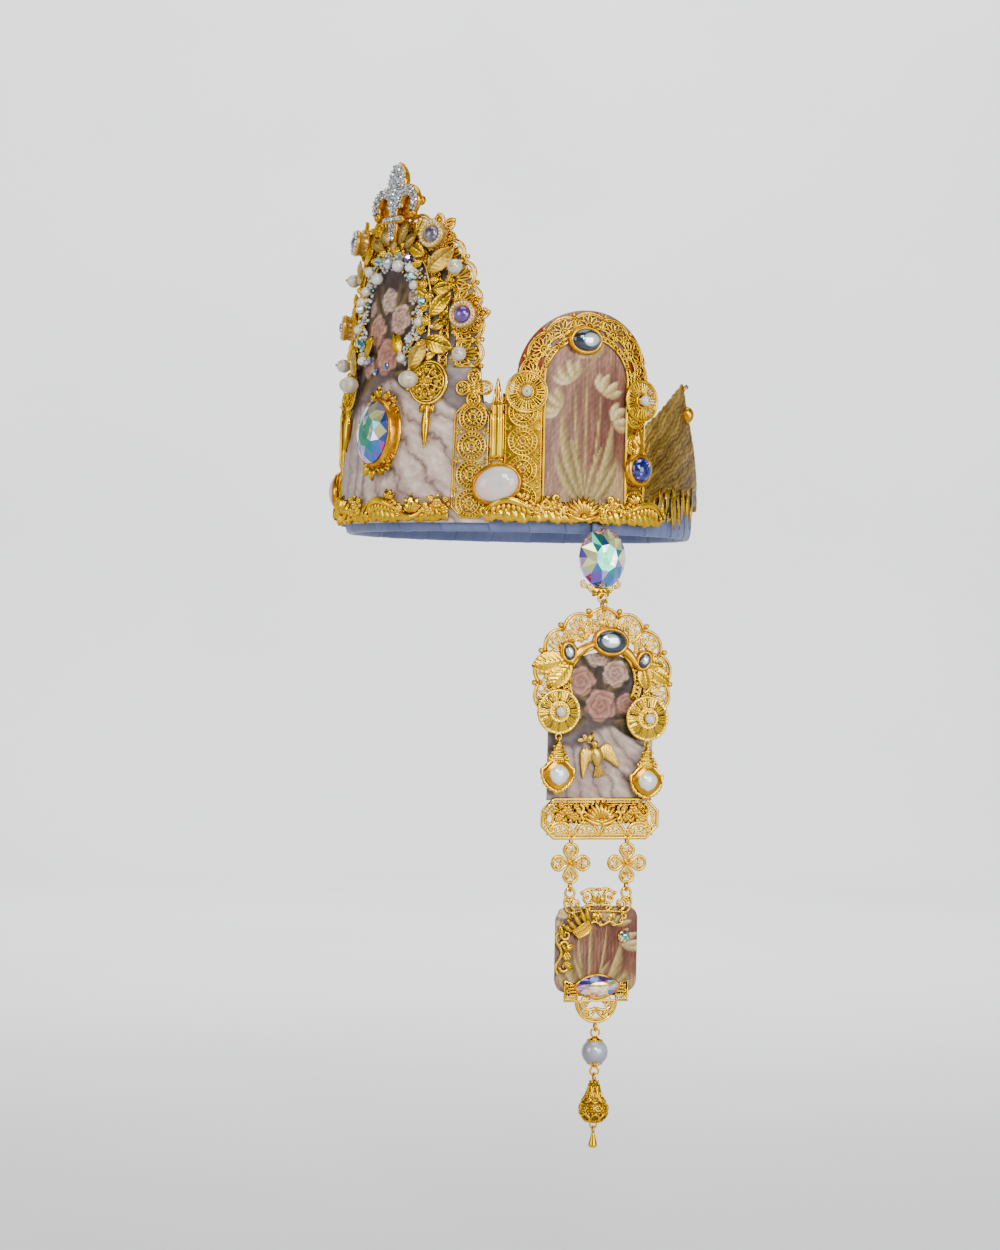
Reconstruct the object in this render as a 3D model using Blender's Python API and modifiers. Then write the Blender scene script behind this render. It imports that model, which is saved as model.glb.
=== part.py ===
"""Jeweled crown with a long temple pendant, in metres, +Z up.

The origin is the centre of the head opening at the lower rim. The tall front
panel faces -Y and the pendant hangs on the +X side. A place on the wall is
given by its turn from the front, its height and its stand-off.
"""

from math import atan2, cos, hypot, pi, radians, sin, tan

import bmesh
import bpy
from mathutils import Matrix, Vector
from mathutils.geometry import delaunay_2d_cdt

# Head band and wall
WALL_RADIUS = 0.0800
BAND_HEIGHT = 0.0220
BAND_WALL = 0.0050
FOLD_COUNT = 21
FOLD_DEPTH = 0.0006
FACETS = 48
FRONT_LEAN = 5.3

# Sheets, wires and clearances
GAP = 0.0003
PANEL_WALL = 0.0012
FILIGREE_WALL = 0.0009
WIRE = 0.0004
LOOP_CLEARANCE = 0.0004

# Front panel and its arch
FRONT_HEIGHT = 0.1420
FRONT_SHOULDER = 0.0560
FRONT_HALF_TURN = 43.8
FRONT_BOTTOM = 0.0040
ARCH_HALF_TURN = 40.5
ARCH_FOOT = 0.0720
ARCH_SPRING = 0.0800
ARCH_SQUARENESS = 2.5
ARCH_BAND_TURN = 16.0
ARCH_BAND_HEIGHT = 0.0160
STRIP_INNER_TURN = 31.6
STRIP_BOTTOM = 0.0060
FLOWER_RADIUS = 0.0082

# Side panels, their filigree and the posts
SIDE_TURN = 73.4
SIDE_BOTTOM = 0.0085
SIDE_SPRING = 0.0660
SIDE_ARCH_OUTER = 0.0300
SIDE_ARCH_INNER = 0.0188
SIDE_START_TURN = 47.0
SIDE_END_TURN = 94.2
SIDE_STRIP_TOP = 0.0580
SIDE_MARGIN = 0.0010
POST_TURN = 45.8
POST_RADIUS = 0.0022
POST_BOTTOM = 0.0306
POST_TOP = 0.0670
DISC_RADIUS = 0.0093
DISC_HEIGHT = 0.0606
FRONT_DISC_TURN = 54.4
REAR_DISC_TURN = 92.0
REAR_DISC_DROP = 0.0014

# Back leaves
LEAF_START_TURN = 94.8
LEAF_END_TURN = 138.0
LEAF_BOTTOM = 0.0140
LEAF_TIP_HEIGHT = 0.0690

# Cast trim
TRIM_BOTTOM = 0.0045
TRIM_HEIGHT = 0.0140
TRIM_WALL = 0.0010
TRIM_RELIEF = 0.0028
FRONT_TRIM_TURN = 31.0
SIDE_TRIM_START = 42.8
SIDE_TRIM_END = 101.0

# Stones of the crown, half widths, half heights and depths
OPAL_TURN = 46.2
OPAL_HEIGHT = 0.0206
OPAL_SIZE = (0.0098, 0.0076)
OPAL_TILT = 20.0
MIRROR_TURN = 72.0
MIRROR_SIZE = (0.0066, 0.0050)
COBALT_TURN = 91.2
COBALT_HEIGHT = 0.0289
COBALT_RADIUS = 0.0055
RESIN_RUN_FOOT = 0.0014
RESIN_RUN_CLEARANCE = 0.0024
RESIN_RUN_HALF_WIDTH = 0.0034
BEZEL = 0.0016
CABOCHON_DEPTH = 0.0060
CRYSTAL_TURN = 4.0
CRYSTAL_HEIGHT = 0.0430
CRYSTAL_SIZE = (0.0104, 0.0140)
CRYSTAL_DEPTH = 0.0105
RING_STONE_RADIUS = 0.0042
RESIN_RING = 0.0020
RING_STONE_DEPTH = 0.0080
MEDALLION_TURN = 22.0
MEDALLION_HEIGHT = FRONT_HEIGHT * 0.4577
MEDALLION_RADIUS = 0.0098
PEARL_RADIUS = 0.0034
RIBBED_PEARL_RADIUS = 0.0042
HALO_HALF_WIDTH = WALL_RADIUS * 0.2975
HALO_HALF_HEIGHT = FRONT_HEIGHT * 0.176
HALO_HEIGHT = FRONT_HEIGHT * 0.683
HALO_BEAD = 0.0022
HALO_BEADS = 15
HALO_END = 52.0
FLEUR_FOOT = FRONT_HEIGHT * 0.905
FLEUR_LENGTH = 0.0360
FLEUR_HALF_WIDTH = 0.0160
FLEUR_DEPTH = 0.0048

# Pendant, hung from the stud below the band
PENDANT_TURN = 78.6
PENDANT_FACING = 71.0
PENDANT_OUT = 0.0065
PIVOT_DROP = 0.0292
STUD_SIZE = (0.0105, 0.0130)
STUD_DEPTH = 0.0095
RING_RADIUS = 0.0026
LINK_RING_RADIUS = 0.0019
CRESCENT_OUTER = 0.0320
CRESCENT_INNER = 0.0145
PICTURE_HALF_WIDTH = 0.0240
PICTURE_WALL = 0.0018
PICTURE_LENGTH = 0.0640
RAY_DISC_RADIUS = 0.0098
BAR_WIDTH = 0.0536
BAR_HEIGHT = 0.0177
LINK_SPREAD = 0.0129
LINK_RADIUS = 0.0088
PLAQUE_SIZE = (0.0376, 0.0372)
PLAQUE_CORNER = 0.0060
CONNECTOR_SIZE = (0.0284, 0.0150)
HALF_ROUND_RADIUS = 0.0098
HALF_ROUND_DROP = 0.0074
DROP_PEARL_RADIUS = 0.00585
PEAR_LENGTH = 0.0180
PEAR_RADIUS = 0.0068
TEAR_LENGTH = 0.0070

# Stand-off of each layer of the wall
PANEL_LAYER = GAP
FILIGREE_LAYER = PANEL_LAYER + PANEL_WALL + GAP
STONE_LAYER = FILIGREE_LAYER + FILIGREE_WALL + GAP

# Colour, roughness and metallic value of each material
FINISHES = {
    "gilt": ((0.83, 0.58, 0.16), 0.28, 1.0),
    "bronze": ((0.42, 0.29, 0.12), 0.55, 1.0),
    "cotton": ((0.42, 0.53, 0.78), 0.85, 0.0),
    "picture": ((0.62, 0.47, 0.44), 0.45, 0.0),
    "rose_wood": ((0.48, 0.28, 0.24), 0.50, 0.0),
    "amber_resin": ((0.80, 0.42, 0.06), 0.20, 0.0),
    "crystal": ((0.80, 0.78, 0.90), 0.05, 0.0),
    "mirror_stone": ((0.35, 0.40, 0.45), 0.08, 1.0),
    "cobalt": ((0.05, 0.10, 0.55), 0.10, 0.0),
    "opal": ((0.90, 0.88, 0.88), 0.15, 0.0),
    "pearl": ((0.88, 0.84, 0.78), 0.25, 0.0),
}

SMOOTH_ANGLE = radians(40)
FUSE_WELD = 0.0000004
LINE_SNAP = 0.00006


def clear_scene():
    """Remove what the scene holds and make the two collections."""
    for old in list(bpy.data.objects):
        bpy.data.objects.remove(old, do_unlink=True)
    parts = bpy.data.collections.new("jeweled_crown")
    guides = bpy.data.collections.new("cutters")
    bpy.context.scene.collection.children.link(parts)
    bpy.context.scene.collection.children.link(guides)
    return parts, guides


PARTS, GUIDES = clear_scene()


def finish_material(slot):
    """Return the Principled material of a finish, made once."""
    found = bpy.data.materials.get(slot)
    if found:
        return found
    colour, roughness, metallic = FINISHES[slot]
    made = bpy.data.materials.new(slot)
    made.use_nodes = True
    shader = made.node_tree.nodes["Principled BSDF"]
    shader.inputs["Base Color"].default_value = (*colour, 1.0)
    shader.inputs["Roughness"].default_value = roughness
    shader.inputs["Metallic"].default_value = metallic
    return made


def as_mesh(shape, weld=0.000005):
    """Bake a shape's modifiers or curve into a welded mesh object and remove the source."""
    bpy.context.view_layer.update()
    graph = bpy.context.evaluated_depsgraph_get()
    mesh = bpy.data.meshes.new_from_object(shape.evaluated_get(graph), depsgraph=graph)
    made = bpy.data.objects.new("piece", mesh)
    GUIDES.objects.link(made)
    made.matrix_world = shape.matrix_world.copy()
    bpy.data.objects.remove(shape, do_unlink=True)
    work = bmesh.new()
    work.from_mesh(mesh)
    bmesh.ops.remove_doubles(work, verts=work.verts, dist=weld)
    bmesh.ops.dissolve_degenerate(work, edges=work.edges, dist=weld * 0.5)
    bmesh.ops.recalc_face_normals(work, faces=work.faces)
    work.to_mesh(mesh)
    work.free()
    return made


def moved(piece, place):
    """Carry a piece's mesh by a matrix, and turn it back outwards if the matrix mirrors."""
    piece.data.transform(place)
    if place.determinant() < 0:
        piece.data.flip_normals()
    return piece


def shifted(piece, x=0.0, y=0.0, z=0.0):
    return moved(piece, Matrix.Translation((x, y, z)))


def turned_flat(piece, angle):
    """Turn a piece in its own plane."""
    return moved(piece, Matrix.Rotation(radians(angle), 4, "Z"))


def plate(outlines, thickness):
    """Make a flat pierced plate: the first outline is its edge, the others its gaps."""
    curve = bpy.data.curves.new("outline", "CURVE")
    curve.dimensions = "2D"
    curve.fill_mode = "BOTH"
    curve.extrude = thickness / 2
    for outline in outlines:
        spline = curve.splines.new("POLY")
        spline.points.add(len(outline) - 1)
        for point, (x, y) in zip(spline.points, outline):
            point.co = (x, y, 0.0, 1.0)
        spline.use_cyclic_u = True
    shape = bpy.data.objects.new("outline", curve)
    GUIDES.objects.link(shape)
    return shifted(as_mesh(shape), z=thickness / 2)


def lathe(profile, sides, half_width=None, half_height=None):
    """Turn a profile of (radius, height) rows, top to bottom, into a closed solid."""
    mesh = bpy.data.meshes.new("profile")
    points = [(radius, 0.0, height) for radius, height in profile]
    mesh.from_pydata(points, [(i, i + 1) for i in range(len(points) - 1)], [])
    shape = bpy.data.objects.new("profile", mesh)
    GUIDES.objects.link(shape)
    screw = shape.modifiers.new("turn", "SCREW")
    screw.steps = sides
    screw.render_steps = sides
    screw.use_merge_vertices = True
    screw.merge_threshold = 0.00001
    made = as_mesh(shape)
    if half_width:
        widest = max(radius for radius, height in profile)
        stretch = Matrix.Diagonal((half_width / widest, half_height / widest, 1.0, 1.0))
        made.data.transform(stretch)
    return made


def beaded_wire(points, radii):
    """Make one round string along points, as thick at each point as its radius."""
    curve = bpy.data.curves.new("string", "CURVE")
    curve.dimensions = "3D"
    curve.bevel_depth = 1.0
    curve.bevel_resolution = 3
    curve.use_fill_caps = True
    spline = curve.splines.new("POLY")
    spline.points.add(len(points) - 1)
    for point, place, radius in zip(spline.points, points, radii):
        point.co = (*place, 1.0)
        point.radius = radius
    shape = bpy.data.objects.new("string", curve)
    GUIDES.objects.link(shape)
    return as_mesh(shape)


def loop_ring(radius, thickness, facing="OUT", y=0.0, x=0.0, z=0.0):
    """Make a wire ring; OUT lies in the face's plane, SIDE is seen edge on from the front."""
    bpy.ops.mesh.primitive_torus_add(
        major_radius=radius, minor_radius=thickness, major_segments=10, minor_segments=5)
    shape = bpy.context.object
    if facing == "SIDE":
        shape.data.transform(Matrix.Rotation(pi / 2, 4, "Y"))
    return shifted(as_mesh(shape), x=x, y=y, z=z)


def ball(radius, sides=10, rings=4, x=0.0, y=0.0, z=0.0, stretch=(1.0, 1.0, 1.0)):
    bpy.ops.mesh.primitive_uv_sphere_add(segments=sides, ring_count=rings, radius=radius)
    shape = bpy.context.object
    shape.data.transform(Matrix.Diagonal((*stretch, 1.0)))
    return shifted(as_mesh(shape), x=x, y=y, z=z)


def block(width, height, depth, x=0.0, y=0.0, z=0.0):
    bpy.ops.mesh.primitive_cube_add(size=1.0)
    shape = bpy.context.object
    shape.data.transform(Matrix.Diagonal((width, height, depth, 1.0)))
    return shifted(as_mesh(shape), x=x, y=y, z=z)


def fuse(pieces):
    """Join pieces that cross each other into one body."""
    made = pieces[0]
    for other in pieces[1:]:
        union = made.modifiers.new("join", "BOOLEAN")
        union.operation = "UNION"
        union.solver = "EXACT"
        union.object = other
        made = as_mesh(made, FUSE_WELD)
        bpy.data.objects.remove(other, do_unlink=True)
    return made


def keep(name, piece, slot, place=None, smooth=True):
    """Name a finished piece, give it its finish and place, and put it with the parts."""
    piece.name = name
    piece.data.name = name
    piece.data.materials.clear()
    piece.data.materials.append(finish_material(slot))
    if smooth:
        piece.data.shade_smooth()
        piece.data.set_sharp_from_angle(angle=SMOOTH_ANGLE)
    GUIDES.objects.unlink(piece)
    PARTS.objects.link(piece)
    if place is not None:
        piece.matrix_world = place
    return piece


def mirrored(piece, name):
    """Make the same piece for the other side of the crown."""
    flip = Matrix.Diagonal((-1.0, 1.0, 1.0, 1.0))
    mesh = piece.data.copy()
    mesh.transform(flip)
    mesh.flip_normals()
    mesh.name = name
    twin = bpy.data.objects.new(name, mesh)
    PARTS.objects.link(twin)
    bpy.context.view_layer.update()
    twin.matrix_world = flip @ piece.matrix_world @ flip
    return twin


def wall_reach(height, lean):
    """Radius of the wall's outer face at a height; a leaning wall starts above the band."""
    return WALL_RADIUS - max(0.0, height - BAND_HEIGHT) * tan(radians(lean))


def wall_place(turn, height, out, lean=0.0, roll=0.0):
    """Frame of a piece on the wall: X along it, Y up it, Z away from it."""
    angle = radians(turn)
    tilt = radians(lean) if height > BAND_HEIGHT else 0.0
    radial = Vector((sin(angle), -cos(angle), 0.0))
    along = Vector((cos(angle), sin(angle), 0.0))
    upward = Vector((0.0, 0.0, 1.0)) * cos(tilt) - radial * sin(tilt)
    outward = along.cross(upward)
    origin = radial * (wall_reach(height, lean) + out) + Vector((0.0, 0.0, height))
    frame = Matrix((along, upward, outward)).transposed().to_4x4()
    return Matrix.Translation(origin) @ frame @ Matrix.Rotation(radians(roll), 4, "Z")


def arc_length(turn):
    """Distance along the wall for a turn in degrees."""
    return radians(turn) * WALL_RADIUS


def facet_point(distance, radius):
    """Point at a distance along the wall, on the chord of the facet that it lies in."""
    step = 2 * pi / FACETS
    index = distance / WALL_RADIUS // step
    share = distance / WALL_RADIUS / step - index
    start = index * step
    end = start + step
    return (radius * (sin(start) * (1 - share) + sin(end) * share),
            -radius * (cos(start) * (1 - share) + cos(end) * share))


def on_line(value, lines):
    """Move a value onto a fold line that it nearly touches."""
    nearest = min(lines, key=lambda line: abs(line - value), default=value)
    return nearest if abs(nearest - value) < LINE_SNAP else value


def anticlockwise(outline):
    """Order an outline's points anticlockwise."""
    area = sum(one[0] * two[1] - two[0] * one[1] for one, two in zip(outline, outline[1:] + outline[:1]))
    return outline if area > 0 else outline[::-1]


def folded(outlines, thickness, turn, out, lean=0.0):
    """Cut a pierced outline in (arc length, height) at the wall's folds and fold it round."""
    step = arc_length(360.0 / FACETS)
    shift = arc_length(turn)
    across = [x + shift for outline in outlines for x, y in outline]
    level = [y for outline in outlines for x, y in outline]
    folds = [index * step for index in range(int(min(across) // step) + 1, int(max(across) // step) + 1)]
    bends = [BAND_HEIGHT] if lean and min(level) < BAND_HEIGHT < max(level) else []
    points = []
    loops = []
    for outline in outlines:
        loops.append(list(range(len(points), len(points) + len(outline))))
        points += [Vector((on_line(x + shift, folds), on_line(y, bends)))
                   for x, y in anticlockwise(outline)]
    lines = []
    for fold in folds:
        lines.append((len(points), len(points) + 1))
        points += [Vector((fold, min(level) - step)), Vector((fold, max(level) + step))]
    for bend in bends:
        lines.append((len(points), len(points) + 1))
        points += [Vector((min(across) - step, bend)), Vector((max(across) + step, bend))]
    flat, edges, every_face, _, _, sources = delaunay_2d_cdt(points, lines, loops, 0, FUSE_WELD)
    faces = [face for face, source in zip(every_face, sources) if source == [0]]
    used = sorted({index for face in faces for index in face})
    place = {index: number for number, index in enumerate(used)}
    mesh = bpy.data.meshes.new("folded")
    mesh.from_pydata([(flat[index].x, flat[index].y, 0.0) for index in used], [],
                     [[place[index] for index in face] for face in faces])
    work = bmesh.new()
    work.from_mesh(mesh)
    grown = bmesh.ops.extrude_face_region(work, geom=work.faces[:])
    raised = [part for part in grown["geom"] if isinstance(part, bmesh.types.BMVert)]
    bmesh.ops.translate(work, verts=raised, vec=(0.0, 0.0, thickness))
    for vertex in work.verts:
        radius = wall_reach(vertex.co.y, lean) + out + vertex.co.z
        x, y = facet_point(vertex.co.x, radius)
        vertex.co = (x, y, vertex.co.y)
    bmesh.ops.triangulate(work, faces=work.faces)
    bmesh.ops.recalc_face_normals(work, faces=work.faces)
    work.to_mesh(mesh)
    work.free()
    made = bpy.data.objects.new("folded", mesh)
    GUIDES.objects.link(made)
    return made


def oval(x, y, half_width, half_height, count, turn=0.0):
    """Points of an oval outline, turned in degrees."""
    points = []
    for index in range(count):
        angle = 2 * pi * index / count
        across = half_width * cos(angle)
        along = half_height * sin(angle)
        swing = radians(turn)
        points.append((x + across * cos(swing) - along * sin(swing),
                       y + across * sin(swing) + along * cos(swing)))
    return points


def polar(x, y, radius, degrees):
    return (x + radius * cos(radians(degrees)), y + radius * sin(radians(degrees)))


def crescent(x, y, inner, outer, start, end, lobes, swell, rows, gap, per_lobe):
    """Outline and gaps of a scalloped crescent between two radii, angles in degrees."""
    outline = []
    count = lobes * per_lobe
    for index in range(count + 1):
        angle = start + (end - start) * index / count
        bulge = swell * abs(sin(pi * index / per_lobe))
        outline.append(polar(x, y, outer + bulge, angle))
    steps = max(6, count // 2)
    for index in range(steps + 1):
        angle = end - (end - start) * index / steps
        outline.append(polar(x, y, inner, angle))
    gaps = []
    middle = inner + (outer - inner) * rows
    half_depth = (outer - inner) * gap
    for index in range(lobes):
        angle = start + (end - start) * (index + 0.5) / lobes
        half_span = radians((end - start) / lobes) * middle * 0.34
        centre = polar(x, y, middle, angle)
        gaps.append(oval(*centre, half_depth, half_span, 6, angle))
    return outline, gaps


def quatrefoil(x, y, radius, waist=0.62, count=24):
    """Outline of a four-lobed flower and a gap in each lobe."""
    outline = []
    for index in range(count):
        angle = 360.0 * index / count
        lobe = abs(cos(radians(2 * angle))) ** 0.8
        outline.append(polar(x, y, radius * (waist + (1 - waist) * lobe), angle))
    gaps = []
    for index in range(4):
        centre = polar(x, y, radius * 0.60, 90.0 * index)
        gaps.append(oval(*centre, radius * 0.24, radius * 0.15, 6, 90.0 * index))
    return outline, gaps


def leaf_outline(length, width, count=5):
    """Outline of a pointed leaf that grows along +X from the origin."""
    upper = []
    for index in range(1, count):
        share = index / count
        upper.append((length * share, width / 2 * sin(pi * share) ** 0.8))
    lower = [(x, -y) for x, y in reversed(upper)]
    return [(0.0, 0.0)] + lower[::-1] + [(length, 0.0)] + upper[::-1]


def cabochon(half_width, half_height, depth, sides=14, bezel=BEZEL):
    """Domed oval stone in a resin bezel, standing on its back."""
    rim = half_width + bezel
    shoulder = depth * 0.45
    profile = [(0.0, depth), (half_width * 0.55, depth * 0.92), (half_width * 0.92, depth * 0.66),
               (half_width, shoulder), (rim, shoulder * 0.85), (rim, 0.0), (0.0, 0.0)]
    return lathe(profile, sides, rim, half_height + bezel)


def cut_stone(half_width, half_height, depth, sides=12, bezel=BEZEL, seat=0.45):
    """Faceted stone with a table and a ring of facets, in a plain setting."""
    rim = half_width + bezel
    girdle = depth * seat
    profile = [(0.0, depth), (half_width * 0.52, depth), (half_width * 0.84, depth * 0.84),
               (half_width, girdle * 1.15), (half_width, girdle), (rim, girdle * 0.9),
               (rim, 0.0), (0.0, 0.0)]
    return lathe(profile, sides, rim, half_height + bezel)


def head_band():
    """Padded ring; the folds of the winding are pressed into its outer face."""
    outer = WALL_RADIUS
    inner = WALL_RADIUS - BAND_WALL
    profile = [(inner, BAND_HEIGHT * 0.90), (inner + BAND_WALL * 0.5, BAND_HEIGHT),
               (outer, BAND_HEIGHT * 0.86), (outer, BAND_HEIGHT * 0.12),
               (inner + BAND_WALL * 0.5, 0.0), (inner, BAND_HEIGHT * 0.08),
               (inner, BAND_HEIGHT * 0.90)]
    ring = lathe(profile, FACETS)
    for vertex in ring.data.vertices:
        radius = hypot(vertex.co.x, vertex.co.y)
        angle = atan2(vertex.co.y, vertex.co.x)
        fold = abs(sin(FOLD_COUNT * angle / 2)) ** 6
        side = (radius - inner) / BAND_WALL
        shrink = 1 - FOLD_DEPTH * fold * side / radius
        vertex.co.x *= shrink
        vertex.co.y *= shrink
    keep("head_band", ring, "cotton")


def arch_point(angle, top, half_turn):
    """Point of the squared arch at an angle from its right-hand spring."""
    power = 2 / ARCH_SQUARENESS
    across = abs(cos(radians(angle))) ** power * (1 if angle <= 90 else -1)
    return (arc_length(half_turn) * across,
            ARCH_SPRING + (top - ARCH_SPRING) * sin(radians(angle)) ** power)


def front_panel():
    """Backing of the front: wide foot behind the strips, squared arch above them."""
    top = FRONT_HEIGHT - 0.0040
    neck = ARCH_HALF_TURN - 2.5
    outline = [(arc_length(-FRONT_HALF_TURN), FRONT_BOTTOM), (arc_length(FRONT_HALF_TURN), FRONT_BOTTOM),
               (arc_length(FRONT_HALF_TURN), FRONT_SHOULDER), (arc_length(neck), FRONT_SHOULDER)]
    outline += [arch_point(angle, top, neck) for angle in range(0, 181, 12)]
    outline += [(arc_length(-neck), FRONT_SHOULDER), (arc_length(-FRONT_HALF_TURN), FRONT_SHOULDER)]
    panel = folded([outline], PANEL_WALL, 0.0, PANEL_LAYER, FRONT_LEAN)
    keep("front_panel", panel, "picture")


def front_arch():
    """Pierced arch with a scalloped edge round the front panel."""
    inner_top = FRONT_HEIGHT - ARCH_BAND_HEIGHT
    inner_turn = ARCH_HALF_TURN - ARCH_BAND_TURN
    lobes = 16
    outline = [(arc_length(ARCH_HALF_TURN), ARCH_FOOT)]
    for index in range(lobes * 2 + 1):
        angle = 180.0 * index / (lobes * 2)
        x, y = arch_point(angle, FRONT_HEIGHT, ARCH_HALF_TURN)
        bulge = 0.0012 * (index % 2)
        outline.append((x + bulge * cos(radians(angle)), y + bulge * sin(radians(angle))))
    outline += [(arc_length(-ARCH_HALF_TURN), ARCH_FOOT), (arc_length(-inner_turn), ARCH_FOOT)]
    outline += [arch_point(angle, inner_top, inner_turn) for angle in range(180, -1, -15)]
    outline.append((arc_length(inner_turn), ARCH_FOOT))
    gaps = []
    for index in range(lobes):
        angle = 180.0 * (index + 0.5) / lobes
        ox, oy = arch_point(angle, FRONT_HEIGHT, ARCH_HALF_TURN)
        ix, iy = arch_point(angle, inner_top, inner_turn)
        across = hypot(ox - ix, oy - iy)
        lie = atan2(oy - iy, ox - ix) * 180 / pi
        centre = (ix + (ox - ix) * 0.62, iy + (oy - iy) * 0.62)
        gaps.append(oval(*centre, across * 0.24, 0.0019, 6, lie))
    sheet = folded([outline] + gaps, FILIGREE_WALL, 0.0, FILIGREE_LAYER, FRONT_LEAN)
    keep("front_arch", sheet, "gilt")


def front_strips():
    """Octagonal strip beside the front picture, with the quatrefoil soldered above it."""
    inner = arc_length(STRIP_INNER_TURN)
    outer = arc_length(FRONT_HALF_TURN)
    bottom = STRIP_BOTTOM
    top = FRONT_SHOULDER
    cut = (outer - inner) * 0.26
    outline = [(inner + cut, bottom), (outer - cut, bottom), (outer, bottom + cut), (outer, top - cut),
               (outer - cut, top), (inner + cut, top), (inner, top - cut), (inner, bottom + cut)]
    middle = (inner + outer) / 2
    pitch = (top - bottom) / 4
    gaps = []
    for index in range(4):
        height = bottom + pitch * (index + 0.5)
        gaps.append(oval(middle, height, (outer - inner) * 0.27, pitch * 0.27, 8))
    flower_edge, flower_gaps = quatrefoil(middle, top + FLOWER_RADIUS * 0.80, FLOWER_RADIUS)
    strip = folded([outline] + gaps, FILIGREE_WALL, 0.0, FILIGREE_LAYER, FRONT_LEAN)
    flower = folded([flower_edge] + flower_gaps, FILIGREE_WALL * 1.5, 0.0,
                    FILIGREE_LAYER + FILIGREE_WALL * 0.3, FRONT_LEAN)
    left = keep("front_strip_l", fuse([strip, flower]), "gilt")
    mirrored(left, "front_strip_r")


def side_edge(outer, clear):
    """Outline of a side sheet: straight foot, then a round arch, drawn about SIDE_TURN."""
    start = arc_length(SIDE_START_TURN - SIDE_TURN) + clear
    end = arc_length(SIDE_END_TURN - SIDE_TURN) - clear * 0.2
    outline = [(start, SIDE_BOTTOM), (end, SIDE_BOTTOM), (end, SIDE_STRIP_TOP)]
    for angle in range(-12, 193, 12):
        outline.append(polar(0.0, SIDE_SPRING, outer, angle))
    outline.append((start, SIDE_STRIP_TOP))
    return outline


def side_panels():
    outline = side_edge(SIDE_ARCH_OUTER + SIDE_MARGIN, SIDE_MARGIN)
    panel = folded([outline], PANEL_WALL, SIDE_TURN, PANEL_LAYER)
    left = keep("side_panel_l", panel, "picture")
    mirrored(left, "side_panel_r")


def side_filigrees():
    """Horseshoe of pierced work: scalloped arch, two strips and the arrow-headed post."""
    start = arc_length(SIDE_START_TURN - SIDE_TURN)
    end = arc_length(SIDE_END_TURN - SIDE_TURN)
    inner = SIDE_ARCH_INNER
    outline = [(start, SIDE_BOTTOM), (-inner, SIDE_BOTTOM), (-inner, SIDE_SPRING)]
    outline += [polar(0.0, SIDE_SPRING, inner, angle) for angle in range(165, 14, -15)]
    outline += [(inner, SIDE_SPRING), (inner, SIDE_BOTTOM), (end, SIDE_BOTTOM), (end, SIDE_STRIP_TOP)]
    arch, arch_gaps = crescent(
        0.0, SIDE_SPRING, inner, SIDE_ARCH_OUTER, -8.0, 188.0, 10, 0.0009, rows=0.48, gap=0.25, per_lobe=3)
    outline += arch[:31]
    outline.append((start, SIDE_STRIP_TOP))
    gaps = arch_gaps[1:9]
    front_middle = (start - inner) / 2
    rear_middle = (end + inner) / 2
    front_half = (-inner - start) * 0.27
    rear_half = (end - inner) * 0.24
    pitch = (SIDE_STRIP_TOP - SIDE_BOTTOM) / 4
    for index in range(1, 4):
        height = SIDE_BOTTOM + pitch * (index + 0.5)
        gaps.append(oval(front_middle, height, front_half, pitch * 0.27, 8))
        gaps.append(oval(rear_middle, height, rear_half, pitch * 0.22, 6))
    sheet = folded([outline] + gaps, FILIGREE_WALL, SIDE_TURN, FILIGREE_LAYER)
    point = POST_RADIUS * 2.4
    sleeve = POST_TOP - POST_BOTTOM
    profile = [(0.0, sleeve), (POST_RADIUS * 0.35, sleeve - point * 0.3), (POST_RADIUS * 0.9, sleeve - point),
               (POST_RADIUS * 0.5, sleeve - point * 1.3), (POST_RADIUS * 0.5, sleeve * 0.66),
               (POST_RADIUS, sleeve * 0.63), (POST_RADIUS, 0.0), (0.0, 0.0)]
    angle = radians(POST_TURN)
    reach = WALL_RADIUS + PANEL_LAYER + POST_RADIUS + GAP
    post = shifted(lathe(profile, 12), x=reach * sin(angle), y=-reach * cos(angle), z=POST_BOTTOM)
    left = keep("side_filigree_l", fuse([sheet, post]), "gilt")
    mirrored(left, "side_filigree_r")


def spoked_disc(radius):
    """Flat pierced disc of spokes with a pearl at its hub."""
    spokes = 7
    gaps = []
    for index in range(spokes):
        angle = 360.0 * (index + 0.5) / spokes
        centre = polar(0.0, 0.0, radius * 0.66, angle)
        gaps.append(oval(*centre, radius * 0.22, radius * 0.15, 4, angle))
    disc = plate([oval(0.0, 0.0, radius, radius, 20)] + gaps, FILIGREE_WALL)
    pearl = ball(radius * 0.27, z=FILIGREE_WALL + radius * 0.22)
    return fuse([disc, pearl])


def side_discs():
    front = wall_place(FRONT_DISC_TURN, DISC_HEIGHT, STONE_LAYER)
    left = keep("front_disc_l", spoked_disc(DISC_RADIUS), "gilt", front)
    mirrored(left, "front_disc_r")
    rear = wall_place(REAR_DISC_TURN, DISC_HEIGHT - REAR_DISC_DROP, STONE_LAYER)
    left = keep("rear_disc_l", spoked_disc(DISC_RADIUS), "gilt", rear)
    mirrored(left, "rear_disc_r")


# Upper edge of a back leaf: share of its turn, share of its height
LEAF_EDGE = (
    (0.00, 0.62), (0.15, 0.74), (0.30, 0.87), (0.40, 0.95), (0.47, 1.00), (0.50, 0.93),
    (0.56, 0.80), (0.68, 0.60), (0.84, 0.38), (1.00, 0.16),
)


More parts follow.
